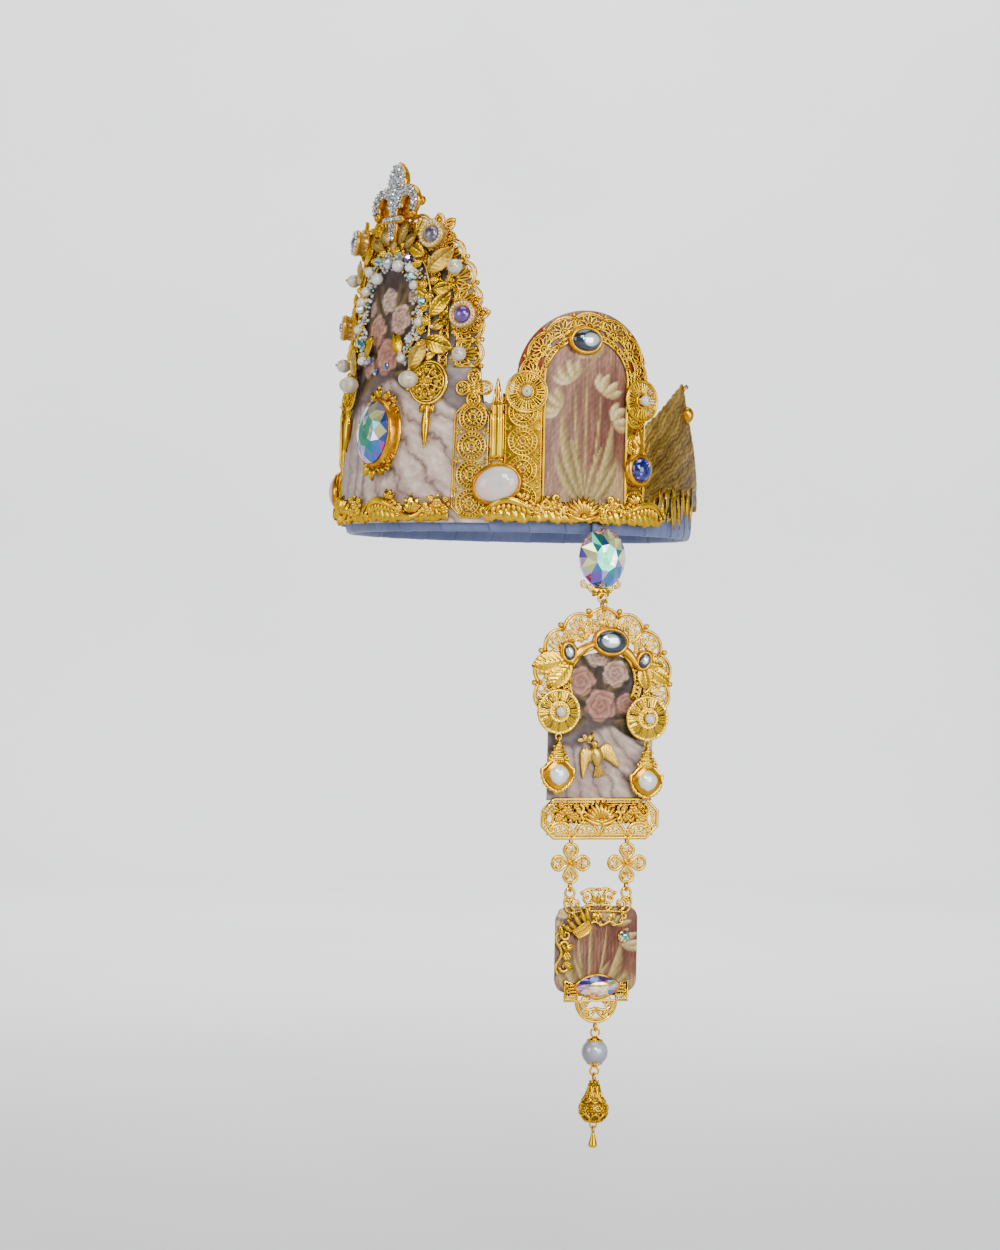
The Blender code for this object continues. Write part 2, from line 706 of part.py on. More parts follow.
def back_leaves():
    """Rough leaf that rises behind the side panel, with an amber cabochon near its tip."""
    width = arc_length(LEAF_END_TURN - LEAF_START_TURN)
    rise = LEAF_TIP_HEIGHT - LEAF_BOTTOM
    teeth = 9
    outline = []
    for index in range(teeth * 2 + 1):
        notch = 0.0015 * (index % 2)
        outline.append((width * index / (teeth * 2), LEAF_BOTTOM + notch))
    outline += [(width * across, LEAF_BOTTOM + rise * up) for across, up in reversed(LEAF_EDGE)]
    leaf = folded([outline], PANEL_WALL, LEAF_START_TURN, PANEL_LAYER)
    stone = cabochon(0.0032, 0.0044, 0.0045, 10, 0.0010)
    moved(stone, wall_place(118.6, LEAF_BOTTOM + rise * 0.76, PANEL_LAYER + PANEL_WALL * 0.4))
    left = keep("back_leaf_l", fuse([leaf, stone]), "bronze")
    mirrored(left, "back_leaf_r")


# Cast ornaments along a trim: place, half width, height and relief as shares
FRONT_ORNAMENTS = (
    (0.02, 0.05, 0.80, 0.60), (0.14, 0.06, 0.55, 0.80), (0.27, 0.07, 0.75, 0.55),
    (0.38, 0.05, 0.50, 0.70), (0.50, 0.09, 1.00, 1.00), (0.62, 0.05, 0.50, 0.70),
    (0.73, 0.07, 0.75, 0.55), (0.86, 0.06, 0.55, 0.80), (0.98, 0.05, 0.80, 0.60),
)
SIDE_ORNAMENTS = (
    (0.04, 0.06, 0.42, 0.70), (0.22, 0.05, 0.62, 0.65), (0.33, 0.04, 0.55, 0.55),
    (0.42, 0.03, 0.80, 0.50), (0.53, 0.07, 0.95, 1.00), (0.66, 0.03, 0.85, 0.50),
    (0.80, 0.07, 0.70, 0.80), (0.94, 0.05, 0.60, 0.60),
)


def trim_form(share, ornaments):
    """Height and relief of a trim at a share of its length, from its ornaments."""
    height = 0.30
    relief = 0.25
    for place, half, tall, proud in ornaments:
        near = max(0.0, 1 - abs(share - place) / half)
        bump = sin(pi / 2 * near)
        height = max(height, 0.30 + (tall - 0.30) * bump)
        relief = max(relief, 0.25 + (proud - 0.25) * bump)
    return height, relief


def trim(start, end, out, ornaments):
    """Cast strip lofted along the wall through sections that swell at each ornament."""
    steps = round((end - start) / (360.0 / FACETS) * 3)
    work = bmesh.new()
    rings = []
    for index in range(steps + 1):
        share = index / steps
        height, relief = trim_form(share, ornaments)
        angle = radians(start + (end - start) * share)
        top = TRIM_BOTTOM + TRIM_HEIGHT * height
        belly = TRIM_BOTTOM + TRIM_HEIGHT * height * 0.45
        face = out + TRIM_WALL
        section = ((out, TRIM_BOTTOM), (out, top), (face, top), (face + TRIM_RELIEF * relief, belly),
                   (face + TRIM_RELIEF * relief * 0.5, TRIM_BOTTOM))
        ring = []
        for stand, level in section:
            radius = WALL_RADIUS + stand
            ring.append(work.verts.new((radius * sin(angle), -radius * cos(angle), level)))
        rings.append(ring)
    for one, two in zip(rings, rings[1:]):
        for index in range(len(one)):
            after = (index + 1) % len(one)
            work.faces.new((one[index], one[after], two[after], two[index]))
    work.faces.new(rings[0])
    work.faces.new(list(reversed(rings[-1])))
    bmesh.ops.triangulate(work, faces=work.faces)
    bmesh.ops.recalc_face_normals(work, faces=work.faces)
    mesh = bpy.data.meshes.new("trim")
    work.to_mesh(mesh)
    work.free()
    made = bpy.data.objects.new("trim", mesh)
    GUIDES.objects.link(made)
    return made


def trims():
    front = trim(-FRONT_TRIM_TURN, FRONT_TRIM_TURN, FILIGREE_LAYER, FRONT_ORNAMENTS)
    keep("front_trim", front, "gilt")
    side = trim(SIDE_TRIM_START, SIDE_TRIM_END, STONE_LAYER, SIDE_ORNAMENTS)
    left = keep("side_trim_l", side, "gilt")
    mirrored(left, "side_trim_r")


def side_stones():
    """White, mirror-grey and blue cabochons of the two sides, in their resin."""
    opal_place = wall_place(OPAL_TURN, OPAL_HEIGHT, STONE_LAYER, roll=OPAL_TILT)
    left = keep("opal_l", cabochon(*OPAL_SIZE, CABOCHON_DEPTH, 16), "opal", opal_place)
    mirrored(left, "opal_r")
    mirror_height = SIDE_SPRING + (SIDE_ARCH_INNER + SIDE_ARCH_OUTER) / 2 - 0.0066
    mirror_place = wall_place(MIRROR_TURN, mirror_height, STONE_LAYER)
    left = keep("mirror_stone_l", cabochon(*MIRROR_SIZE, CABOCHON_DEPTH * 0.8), "mirror_stone", mirror_place)
    mirrored(left, "mirror_stone_r")
    stone = cabochon(COBALT_RADIUS, COBALT_RADIUS, CABOCHON_DEPTH, 14, BEZEL * 1.2)
    run_top = DISC_HEIGHT - REAR_DISC_DROP - DISC_RADIUS - RESIN_RUN_CLEARANCE - COBALT_HEIGHT
    run_half = (run_top - RESIN_RUN_FOOT) / 2
    run = plate([oval(0.0, run_top - run_half, RESIN_RUN_HALF_WIDTH, run_half, 12)], CABOCHON_DEPTH * 0.3)
    cobalt_place = wall_place(COBALT_TURN, COBALT_HEIGHT, STONE_LAYER)
    left = keep("cobalt_stone_l", fuse([stone, shifted(run, z=0.0001)]), "cobalt", cobalt_place)
    mirrored(left, "cobalt_stone_r")


def petal(length, width, thickness, x=0.0, y=0.0, z=0.0, angle=90.0, count=6):
    """Pointed petal of a given thickness that starts at a point and lies at an angle."""
    piece = turned_flat(plate([leaf_outline(length, width, count)], thickness), angle)
    return shifted(piece, x=x, y=y, z=z)


def bowed_outline(points, half_width):
    """Outline of a strip of one width along a bowed line of points."""
    left = []
    right = []
    for index, (x, y) in enumerate(points):
        ahead = points[min(index + 1, len(points) - 1)]
        behind = points[max(index - 1, 0)]
        size = hypot(ahead[0] - behind[0], ahead[1] - behind[1])
        nx = -(ahead[1] - behind[1]) / size * half_width
        ny = (ahead[0] - behind[0]) / size * half_width
        left.append((x + nx, y + ny))
        right.append((x - nx, y - ny))
    return left + right[::-1]


def bowed(points, half_width, thickness, z):
    """Flat strip along a bowed line of points."""
    return shifted(plate([bowed_outline(points, half_width)], thickness), z=z)


def fleur_arm(side, margin, thickness, z):
    """One curled arm of the fleur-de-lis, as a strip on an arc that ends below its top."""
    centre_x = FLEUR_HALF_WIDTH * 0.56
    centre_y = FLEUR_LENGTH * 0.46
    radius = FLEUR_HALF_WIDTH * 0.40
    points = []
    for angle in range(200, -41, -48):
        x, y = polar(centre_x, centre_y, radius, angle)
        points.append((side * x, y))
    points = [(side * FLEUR_HALF_WIDTH * 0.12, FLEUR_LENGTH * 0.20)] + points
    return bowed(points, FLEUR_HALF_WIDTH * 0.13 + margin, thickness, z)


def fleur_finial():
    """Fleur-de-lis: amber base with the stone-set face standing on it."""
    half = FLEUR_DEPTH / 2
    pieces = [petal(FLEUR_LENGTH * 0.72, FLEUR_HALF_WIDTH * 0.74, half, y=FLEUR_LENGTH * 0.28)]
    pieces.append(petal(FLEUR_LENGTH * 0.66, FLEUR_HALF_WIDTH * 0.56, half + 0.0002, y=FLEUR_LENGTH * 0.30,
                        z=half - 0.0002))
    pieces.append(block(FLEUR_HALF_WIDTH * 0.86, FLEUR_LENGTH * 0.08, FLEUR_DEPTH * 0.9,
                        y=FLEUR_LENGTH * 0.27, z=FLEUR_DEPTH * 0.46))
    pieces.append(block(FLEUR_HALF_WIDTH * 0.30, FLEUR_LENGTH * 0.32, FLEUR_DEPTH * 0.84,
                        y=FLEUR_LENGTH * 0.16, z=FLEUR_DEPTH * 0.44))
    for side in (-1, 1):
        lift = 0.00008 * (side + 1)
        pieces.append(fleur_arm(side, 0.0006, half * 0.94, 0.0001 + lift))
        pieces.append(fleur_arm(side, 0.0, half, half - 0.0005 + lift))
    place = wall_place(CRYSTAL_TURN * 0.5, FLEUR_FOOT, STONE_LAYER, FRONT_LEAN)
    keep("fleur_finial", fuse(pieces), "crystal", place)


# Ring stones: name, turn, height share of the panel, way the flower leans out
RING_STONES = (
    ("ring_stone_upper_l", 21.5, 0.913, 38.0),
    ("ring_stone_upper_r", -24.0, 0.925, 142.0),
    ("ring_stone_lower_l", 34.0, 0.660, 8.0),
    ("ring_stone_lower_r", -35.0, 0.665, 172.0),
)


def ring_stones():
    """Round stones in a resin ring, each on a beaded filigree flower."""
    for name, turn, share, lie in RING_STONES:
        rim = RING_STONE_RADIUS + RESIN_RING
        stone = cabochon(RING_STONE_RADIUS, RING_STONE_RADIUS, RING_STONE_DEPTH, 12, RESIN_RING)
        petals = []
        for index in range(16):
            angle = 360.0 * index / 16
            reach = rim * 1.30 + 0.0010 * (-1) ** index
            petals.append(polar(*polar(0.0, 0.0, rim * 0.36, lie), reach, angle))
        flower = plate([petals], FILIGREE_WALL)
        place = wall_place(turn, FRONT_HEIGHT * share, STONE_LAYER, FRONT_LEAN)
        keep(name, fuse([flower, shifted(stone, z=FILIGREE_WALL * 0.5)]), "amber_resin", place)


def medallions():
    """Domed round filigree, with a ribbed pearl at its edge and a drop pin below it."""
    radius = MEDALLION_RADIUS
    profile = [(0.0, 0.0032), (radius * 0.45, 0.0028), (radius * 0.80, 0.0018), (radius, 0.0008),
               (radius, 0.0), (0.0, 0.0)]
    for side, name in ((1, "medallion_l"), (-1, "medallion_r")):
        dome = lathe(profile, 16)
        pearl = ball(RIBBED_PEARL_RADIUS, 12, 5, x=-radius * 0.86, y=0.0010,
                     z=RIBBED_PEARL_RADIUS + 0.0006, stretch=(1.0, 1.08, 1.0))
        drop = petal(0.0200, 0.0034, 0.0016, y=-radius * 0.9, z=0.0001, angle=-90.0)
        piece = fuse([dome, pearl, drop])
        if side < 0:
            moved(piece, Matrix.Diagonal((-1.0, 1.0, 1.0, 1.0)))
        place = wall_place(side * MEDALLION_TURN, MEDALLION_HEIGHT, STONE_LAYER, FRONT_LEAN)
        keep(name, piece, "gilt", place)


def main_crystal():
    """Large oval crystal in a deep amber wall, with a leafy scroll above and below."""
    half_width, half_height = CRYSTAL_SIZE
    stone = cut_stone(half_width, half_height, CRYSTAL_DEPTH, 12, 0.0014, 0.62)
    pieces = [stone]
    for side, width in ((1, 0.0100), (-1, 0.0110)):
        edge = half_height * side
        scroll = []
        for index in range(15):
            share = index / 14
            x = width * (share * 2 - 1)
            rise = 0.0056 * cos(pi / 2 * (share * 2 - 1)) ** 0.6
            wave = 0.0009 * cos(5 * pi * share)
            scroll.append((x, edge + side * (rise + wave)))
        scroll += [(width * 0.9, edge - side * 0.0034), (-width * 0.9, edge - side * 0.0034)]
        pieces.append(shifted(plate([scroll], 0.0030), z=0.0002))
    place = wall_place(CRYSTAL_TURN, CRYSTAL_HEIGHT, FILIGREE_LAYER, FRONT_LEAN)
    keep("main_crystal", fuse(pieces), "crystal", place)


# Pearls on pins: name, turn, height share of the panel, size share
PEARLS = (
    ("pearl_upper_l", 30.2, 0.810, 1.00),
    ("pearl_upper_r", -30.5, 0.812, 0.92),
    ("pearl_lower_l", 33.2, 0.541, 0.95),
    ("pearl_lower_r", -33.2, 0.541, 0.95),
)


def pearls():
    for name, turn, share, size in PEARLS:
        radius = PEARL_RADIUS * size
        pearl = ball(radius, 12, 6, z=radius)
        cap = lathe([(0.0, 0.0008), (radius * 0.5, 0.0006), (radius * 0.6, 0.0), (0.0, 0.0)], 10)
        place = wall_place(turn, FRONT_HEIGHT * share, STONE_LAYER, FRONT_LEAN)
        keep(name, fuse([pearl, cap]), "pearl", place)


# Sections of one bead: share of its half length, share of its radius
BEAD_SECTIONS = ((-1.00, 0.24), (-0.55, 0.90), (0.55, 0.90), (1.00, 0.24))


def bead_halo():
    """String of beads round the upper part of the oval opening, on one wire."""
    span = 180.0 + 2 * HALO_END
    mean = (HALO_HALF_WIDTH + HALO_HALF_HEIGHT) / 2
    points = []
    radii = []
    for index in range(HALO_BEADS):
        bead = HALO_BEAD * (1.0, 0.8, 0.9)[index % 3]
        for along, thick in BEAD_SECTIONS:
            angle = -HALO_END + span * index / (HALO_BEADS - 1) + along * bead / mean * 180 / pi
            height = HALO_HEIGHT + HALO_HALF_HEIGHT * sin(radians(angle))
            turn = HALO_HALF_WIDTH * cos(radians(angle)) / WALL_RADIUS
            reach = wall_reach(height, FRONT_LEAN) + FILIGREE_LAYER + HALO_BEAD
            points.append((reach * sin(turn), -reach * cos(turn), height))
            radii.append(bead * thick)
    keep("bead_halo", beaded_wire(points, radii), "pearl")


# Leaves of one spray: place along the wall as a share of its radius, then height as a share
# of the panel's, both from the stem's foot; angle; length as a share of the panel's height
SPRAY_LEAVES = (
    (0.0000, 0.0070, -20.0, 0.0704),
    (0.0125, 0.0493, 20.0, 0.0669),
    (0.0175, 0.1197, 60.0, 0.0739),
    (0.0050, 0.1901, 15.0, 0.0775),
    (-0.0200, 0.2606, -4.0, 0.0704),
    (-0.0500, 0.2958, 172.0, 0.0845),
)
SPRAY_FOOT = (0.3562, 0.5634)
SPRAY_STEM = 0.0009
SPRAY_WALL = 0.0011


def leaf_sprays():
    """Spray of embossed leaves that climbs beside the halo."""
    foot_x = SPRAY_FOOT[0] * WALL_RADIUS
    foot_y = SPRAY_FOOT[1] * FRONT_HEIGHT
    stem = []
    leaves = []
    for x, y, angle, length in SPRAY_LEAVES:
        stem.append((foot_x + x * WALL_RADIUS, foot_y + y * FRONT_HEIGHT))
        leaves.append((*stem[-1], radians(angle), length * FRONT_HEIGHT))
    pieces = [folded([bowed_outline(stem, SPRAY_STEM)], SPRAY_STEM, 0.0, STONE_LAYER, FRONT_LEAN)]
    for index, (x, y, lie, length) in enumerate(leaves):
        leaf = []
        for along, aside in leaf_outline(length, length * 0.52, 5):
            leaf.append((x + along * cos(lie) - aside * sin(lie), y + along * sin(lie) + aside * cos(lie)))
        thickness = SPRAY_WALL + SPRAY_WALL * 0.11 * index
        pieces.append(folded([leaf], thickness, 0.0, STONE_LAYER + 0.00008, FRONT_LEAN))
    left = keep("leaf_spray_l", fuse(pieces), "gilt")
    mirrored(left, "leaf_spray_r")


def pendant_frame():
    """Frame of the hanging pieces: origin on the ring's axis, Z away from the head."""
    reach = WALL_RADIUS + PENDANT_OUT
    turn = radians(PENDANT_TURN)
    facing = radians(PENDANT_FACING)
    along = Vector((cos(facing), sin(facing), 0.0))
    outward = Vector((sin(facing), -cos(facing), 0.0))
    frame = Matrix((along, Vector((0.0, 0.0, 1.0)), outward)).transposed().to_4x4()
    origin = Vector((reach * sin(turn), -reach * cos(turn), -PIVOT_DROP))
    return Matrix.Translation(origin) @ frame


HANG = pendant_frame()
RING_DROP = RING_RADIUS - 2 * WIRE - LOOP_CLEARANCE
RIM = 0.0005
ARCH_RIM = RING_DROP + RING_RADIUS - WIRE - LOOP_CLEARANCE - RIM
ARCH_TOP = -ARCH_RIM + RIM
ARCH_CENTRE = ARCH_TOP - CRESCENT_OUTER
FACE = FILIGREE_WALL / 2 + GAP
PICTURE_TOP = ARCH_CENTRE + CRESCENT_INNER - 0.0020
PICTURE_BOTTOM = PICTURE_TOP - PICTURE_LENGTH
BAR_CENTRE = PICTURE_BOTTOM - BAR_HEIGHT * 0.44
BAR_RIM = BAR_CENTRE - BAR_HEIGHT / 2 + RIM
LINK_RING_DROP = LINK_RING_RADIUS - WIRE - RIM - LOOP_CLEARANCE
LINK_RING_Y = BAR_RIM - LINK_RING_DROP
LINK_CENTRE = LINK_RING_Y - LINK_RING_RADIUS - LINK_RADIUS + 0.0004
LOWER_RING_Y = LINK_CENTRE - LINK_RADIUS - LINK_RING_RADIUS + 0.0004
CONNECTOR_RIM = LOWER_RING_Y - LINK_RING_DROP
CONNECTOR_TOP = CONNECTOR_RIM + RIM
PLAQUE_TOP = CONNECTOR_TOP - CONNECTOR_SIZE[1] * 0.56
PLAQUE_BOTTOM = PLAQUE_TOP - PLAQUE_SIZE[1]
HALF_ROUND_TOP = PLAQUE_BOTTOM + 0.0036
HALF_ROUND_BOTTOM = HALF_ROUND_TOP - HALF_ROUND_RADIUS - HALF_ROUND_DROP
EYE_RADIUS = 0.0017
EYE_Y = HALF_ROUND_BOTTOM - EYE_RADIUS + 0.0004
SWING_Y = EYE_Y - EYE_RADIUS
DROP_LOOP_RADIUS = 0.0019
DROP_LOOP_Y = SWING_Y - (DROP_LOOP_RADIUS - 2 * WIRE - LOOP_CLEARANCE)
DROP_PEARL_Y = DROP_LOOP_Y - DROP_LOOP_RADIUS - DROP_PEARL_RADIUS - 0.0006
LOWER_LOOP_Y = DROP_PEARL_Y - DROP_PEARL_RADIUS - DROP_LOOP_RADIUS - 0.0006


def picture_arch(half_width, top, bottom):
    """Outline of a picture with a round head."""
    spring = top - half_width
    outline = [(-half_width, bottom), (half_width, bottom)]
    return outline + [polar(0.0, spring, half_width, angle) for angle in range(0, 181, 15)]


def stud_crystal():
    """Oval crystal on the band: hidden tab, setting, pierced finding and eye."""
    half_width, half_height = STUD_SIZE
    centre = PIVOT_DROP - 0.0101
    stone = cut_stone(half_width, half_height, STUD_DEPTH, 14, 0.0004, 0.45)
    shifted(stone, x=-0.0008, y=centre, z=-STUD_DEPTH * 0.45)
    eye_y = RING_RADIUS * 0.75
    eye = loop_ring(RING_RADIUS * 0.75, WIRE, y=eye_y)
    fan = [(-0.0072, 0.0068), (-0.0040, 0.0038), (-0.0012, 0.0026), (0.0012, 0.0026), (0.0040, 0.0038),
           (0.0072, 0.0068), (0.0030, 0.0085), (-0.0030, 0.0085)]
    finding = shifted(plate([fan], FILIGREE_WALL), z=-FILIGREE_WALL / 2)
    pieces = [stone, finding, eye]
    for piece in pieces:
        moved(piece, HANG)
    tab_turn = PENDANT_TURN - 0.6
    tab_top = SIDE_BOTTOM - 0.0010
    tab = [(-0.0030, -0.0110), (0.0030, -0.0110), (0.0030, tab_top), (-0.0030, tab_top)]
    pieces.append(folded([tab], 0.0010, tab_turn, PANEL_LAYER))
    stem = block(0.0050, 0.0070, 0.0030, y=-0.0070, z=0.0016)
    pieces.append(moved(stem, wall_place(tab_turn, 0.0, PANEL_LAYER)))
    keep("stud_crystal", fuse(pieces), "crystal")


def pendant_ring():
    """Two jump rings side by side, hung in the eye of the stud."""
    rings = []
    for side in (-1, 1):
        rings.append(loop_ring(RING_RADIUS, WIRE, "SIDE", y=-RING_DROP, x=side * WIRE * 0.78))
    keep("pendant_ring", fuse(rings), "gilt", HANG)


def pendant_picture():
    outline = picture_arch(PICTURE_HALF_WIDTH, PICTURE_TOP, PICTURE_BOTTOM)
    panel = shifted(plate([outline], PICTURE_WALL), z=-FACE - PICTURE_WALL)
    keep("pendant_panel", panel, "picture", HANG)


# Leaves of the pendant's arch: place from the arch's centre, angle, length
ARCH_LEAVES = (
    (-0.0196, 0.0086, 190.0, 0.0132),
    (-0.0172, 0.0066, 228.0, 0.0136),
    (0.0238, 0.0060, -15.0, 0.0104),
    (0.0192, 0.0034, -80.0, 0.0100),
)


def pendant_arch():
    """Pierced crescent over the picture, with a pair of leaves soldered on each side."""
    outline, gaps = crescent(
        0.0, ARCH_CENTRE, CRESCENT_INNER, CRESCENT_OUTER, -28.0, 208.0, 12, 0.0010, rows=0.60, gap=0.20,
        per_lobe=3)
    middle = 12 * 3 // 2
    peak = [(0.0034, ARCH_TOP - 0.0006), (0.0016, ARCH_TOP), (-0.0016, ARCH_TOP),
            (-0.0034, ARCH_TOP - 0.0006)]
    outline = outline[:middle] + peak + outline[middle + 1:]
    top_gap = oval(0.0, -ARCH_RIM - RIM - 0.0017, 0.0022, 0.0017, 8)
    pieces = [shifted(plate([outline] + gaps + [top_gap], FILIGREE_WALL), z=-FILIGREE_WALL / 2)]
    for index, (x, y, angle, length) in enumerate(ARCH_LEAVES):
        lift = FILIGREE_WALL * 0.3 + 0.00015 * (index % 2)
        pieces.append(petal(length, length * 0.55, 0.0011, x, ARCH_CENTRE + y, lift, angle, 4))
    keep("pendant_arch", fuse(pieces), "gilt", HANG)


# Mirror stones of the pendant: place across, drop below the arch's top, size, roll
PENDANT_STONES = (
    (0.0030, 0.0148, (0.0071, 0.0051), -4.0),
    (-0.0160, 0.0196, (0.0026, 0.0036), 10.0),
    (0.0186, 0.0228, (0.0026, 0.0036), -28.0),
)


def pendant_stones():
    """Three mirror-grey stones in one amber collar along the crescent's inner edge."""
    base = FACE
    pieces = []
    for x, drop, size, roll in PENDANT_STONES:
        stone = turned_flat(cabochon(*size, CABOCHON_DEPTH * 0.75, 12, BEZEL * 0.9), roll)
        pieces.append(shifted(stone, x=x, y=ARCH_TOP - drop, z=base))
    collar = []
    for angle in range(26, 153, 18):
        collar.append(polar(0.0, ARCH_CENTRE - 0.0005, CRESCENT_INNER + 0.0026, angle))
    pieces.append(bowed(collar, 0.0020, 0.0012, base + 0.0001))
    keep("pendant_stones", fuse(pieces), "mirror_stone", HANG)


# Ray discs: side, place across, drop below the arch's top, height of the boss behind
RAY_DISCS = (
    ("front", -0.0205, 0.0452, 0.0048),
    ("back", 0.0202, 0.0478, 0.0060),
)
RAY_DISC_STAND = 0.0014


def hanging_discs():
    """Domed ray discs with a pearl, and a small baroque drop hung below each."""
    radius = RAY_DISC_RADIUS
    profile = [(0.0, 0.0030), (radius * 0.40, 0.0028), (radius * 0.85, 0.0012), (radius, 0.0009),
               (radius, 0.0), (0.0, 0.0)]
    base = FACE + RAY_DISC_STAND
    boss_profile = [(0.0, 0.0002), (0.0020, 0.0002), (0.0020, -RAY_DISC_STAND), (0.0, -RAY_DISC_STAND)]
    for side, x, drop, boss_y in RAY_DISCS:
        disc = fuse([lathe(profile, 16), shifted(lathe(boss_profile, 8), y=boss_y)])
        pearl = ball(0.0023, z=0.0042)
        eye = loop_ring(0.0013, WIRE, y=-radius - 0.0009, z=WIRE + 0.0001)
        y = ARCH_TOP - drop
        piece = shifted(fuse([disc, pearl, eye]), x=x, y=y, z=base)
        keep("ray_disc_" + side, piece, "gilt", HANG)
        eye_wire = -radius - 0.0009 - 0.0013
        ring_y = eye_wire - (0.0013 - 2 * WIRE - LOOP_CLEARANCE * 0.5)
        ring = loop_ring(0.0013, WIRE, "SIDE", y=ring_y, z=WIRE + 0.0001)
        top = ring_y - 0.0013 + 0.0001
        head = petal(0.0100, 0.0070, 0.0016, y=top, z=-0.0003, angle=-90.0)
        frame = []
        for index in range(12):
            angle = 360.0 * index / 12
            reach = 0.0076 + 0.0006 * (-1) ** index
            frame.append(polar(0.0, top - 0.0135, reach, angle))
        back = shifted(plate([frame], 0.0012), z=-0.0004)
        stone = shifted(cabochon(0.0044, 0.0044, 0.0042, 12, BEZEL), y=top - 0.0135, z=-0.0002)
        piece = shifted(fuse([back, head, ring, stone]), x=x, y=y, z=base)
        keep("side_drop_" + side, piece, "gilt", HANG)


def dove():
    """Dove charm seen from behind, wings spread, tail down, with a sprig above it."""
    pieces = [ball(0.0030, 10, 5, stretch=(0.85, 1.7, 0.55), z=0.0015)]
    pieces.append(ball(0.0017, 8, 4, y=0.0054, z=0.0015, stretch=(1.0, 1.0, 0.8)))
    pieces.append(petal(0.0072, 0.0052, 0.0012, y=-0.0030, z=0.0002, angle=-90.0))
    for side in (-1, 1):
        wing = [(side * 0.0008, 0.0020), (side * 0.0040, 0.0052), (side * 0.0072, 0.0056),
                (side * 0.0094, -0.0020), (side * 0.0090, -0.0070), (side * 0.0060, -0.0030),
                (side * 0.0014, -0.0014)]
        pieces.append(shifted(plate([wing], 0.0012), z=0.0004))
    pieces.append(petal(0.0072, 0.0040, 0.0010, y=0.0058, z=0.0006, angle=78.0))
    centre_y = PICTURE_BOTTOM + 0.0190
    piece = shifted(fuse(pieces), x=-0.0024, y=centre_y, z=-FACE + GAP)
    keep("dove", piece, "gilt", HANG)


def pendant_bar():
    """Octagonal pierced bar with a shell and leaves in relief; its lower rim holds the links."""
    half = BAR_WIDTH / 2
    tall = BAR_HEIGHT / 2
    cut = 0.0052
    outline = [(-half + cut, -tall), (half - cut, -tall), (half, -tall + cut), (half, tall - cut),
               (half - cut, tall), (-half + cut, tall), (-half, tall - cut), (-half, -tall + cut)]
    gaps = []
    hole_y = -tall + 2 * RIM + 0.0014
    for side in (-1, 1):
        gaps.append(oval(side * LINK_SPREAD, hole_y, 0.0016, 0.0014, 6))
        gaps.append(oval(side * (half - 0.0038), 0.0, 0.0018, 0.0038, 6))
    sheet = shifted(plate([outline] + gaps, 2 * RIM), z=-RIM)
    shell = []
    for index in range(13):
        angle = 180.0 * index / 12
        shell.append(polar(0.0, -0.0010, 0.0072 + 0.0005 * (index % 2), angle))
    shell += [(-0.0050, -0.0030), (0.0, -0.0044), (0.0050, -0.0030)]
    pieces = [sheet, shifted(plate([shell], 0.0022), z=RIM * 0.5)]
    for side in (-1, 1):
        pieces.append(ball(0.0052, 10, 4, x=side * 0.0136, y=0.0012, z=RIM, stretch=(1.5, 0.9, 0.36)))
    keep("pendant_bar", shifted(fuse(pieces), y=BAR_CENTRE), "gilt", HANG)


def links():
    """Pierced quatrefoil links, each with an upper and a lower jump ring soldered to it."""
    for side, name in ((-1, "link_front"), (1, "link_back")):
        edge, gaps = quatrefoil(0.0, 0.0, LINK_RADIUS)
        body = shifted(plate([edge] + gaps, FILIGREE_WALL), z=-FILIGREE_WALL / 2)
        reach = LINK_RADIUS + LINK_RING_RADIUS - 0.0004
        upper = loop_ring(LINK_RING_RADIUS, WIRE, "SIDE", y=reach)
        lower = loop_ring(LINK_RING_RADIUS, WIRE, "SIDE", y=-reach)
        piece = shifted(fuse([body, upper, lower]), x=side * LINK_SPREAD, y=LINK_CENTRE)
        keep(name, piece, "gilt", HANG)


def connector():
    """Scroll lattice that hangs on the links and is pinned over the plaque's upper edge."""
    half = CONNECTOR_SIZE[0] / 2 + 0.0014
    tall = CONNECTOR_SIZE[1]
    outline = [(-half, 0.0), (half, 0.0), (half + 0.0008, -0.0040), (half - 0.0024, -tall * 0.52),
               (half - 0.0018, -tall * 0.80), (half - 0.0050, -tall), (-half + 0.0050, -tall),
               (-half + 0.0018, -tall * 0.80), (-half + 0.0024, -tall * 0.52), (-half - 0.0008, -0.0040)]
    hole_y = -2 * RIM - 0.0015
    gaps = [oval(side * LINK_SPREAD, hole_y, 0.0015, 0.0015, 8) for side in (-1, 1)]
    for x, y, wide, high in ((0.0, -0.0042, 0.0034, 0.0026), (-0.0072, -0.0046, 0.0024, 0.0026),
                             (0.0072, -0.0046, 0.0024, 0.0026)):
        gaps.append(oval(x, y, wide, high, 8))
    sheet = plate([outline] + gaps, 2 * RIM)
    keep("connector", shifted(sheet, y=CONNECTOR_TOP, z=-RIM), "gilt", HANG)


def rounded_plate(width, height, corner, thickness):
    outline = []
    for cx, cy, start in ((1, 1, 0), (-1, 1, 90), (-1, -1, 180), (1, -1, 270)):
        centre = (cx * (width / 2 - corner), cy * (height / 2 - corner))
        for angle in range(start, start + 91, 30):
            outline.append(polar(*centre, corner, angle))
    return plate([outline], thickness)


def plaque():
    sheet = rounded_plate(*PLAQUE_SIZE, PLAQUE_CORNER, PICTURE_WALL)
    centre = (PLAQUE_TOP + PLAQUE_BOTTOM) / 2
    keep("plaque", shifted(sheet, y=centre, z=-RIM - GAP - PICTURE_WALL), "rose_wood", HANG)


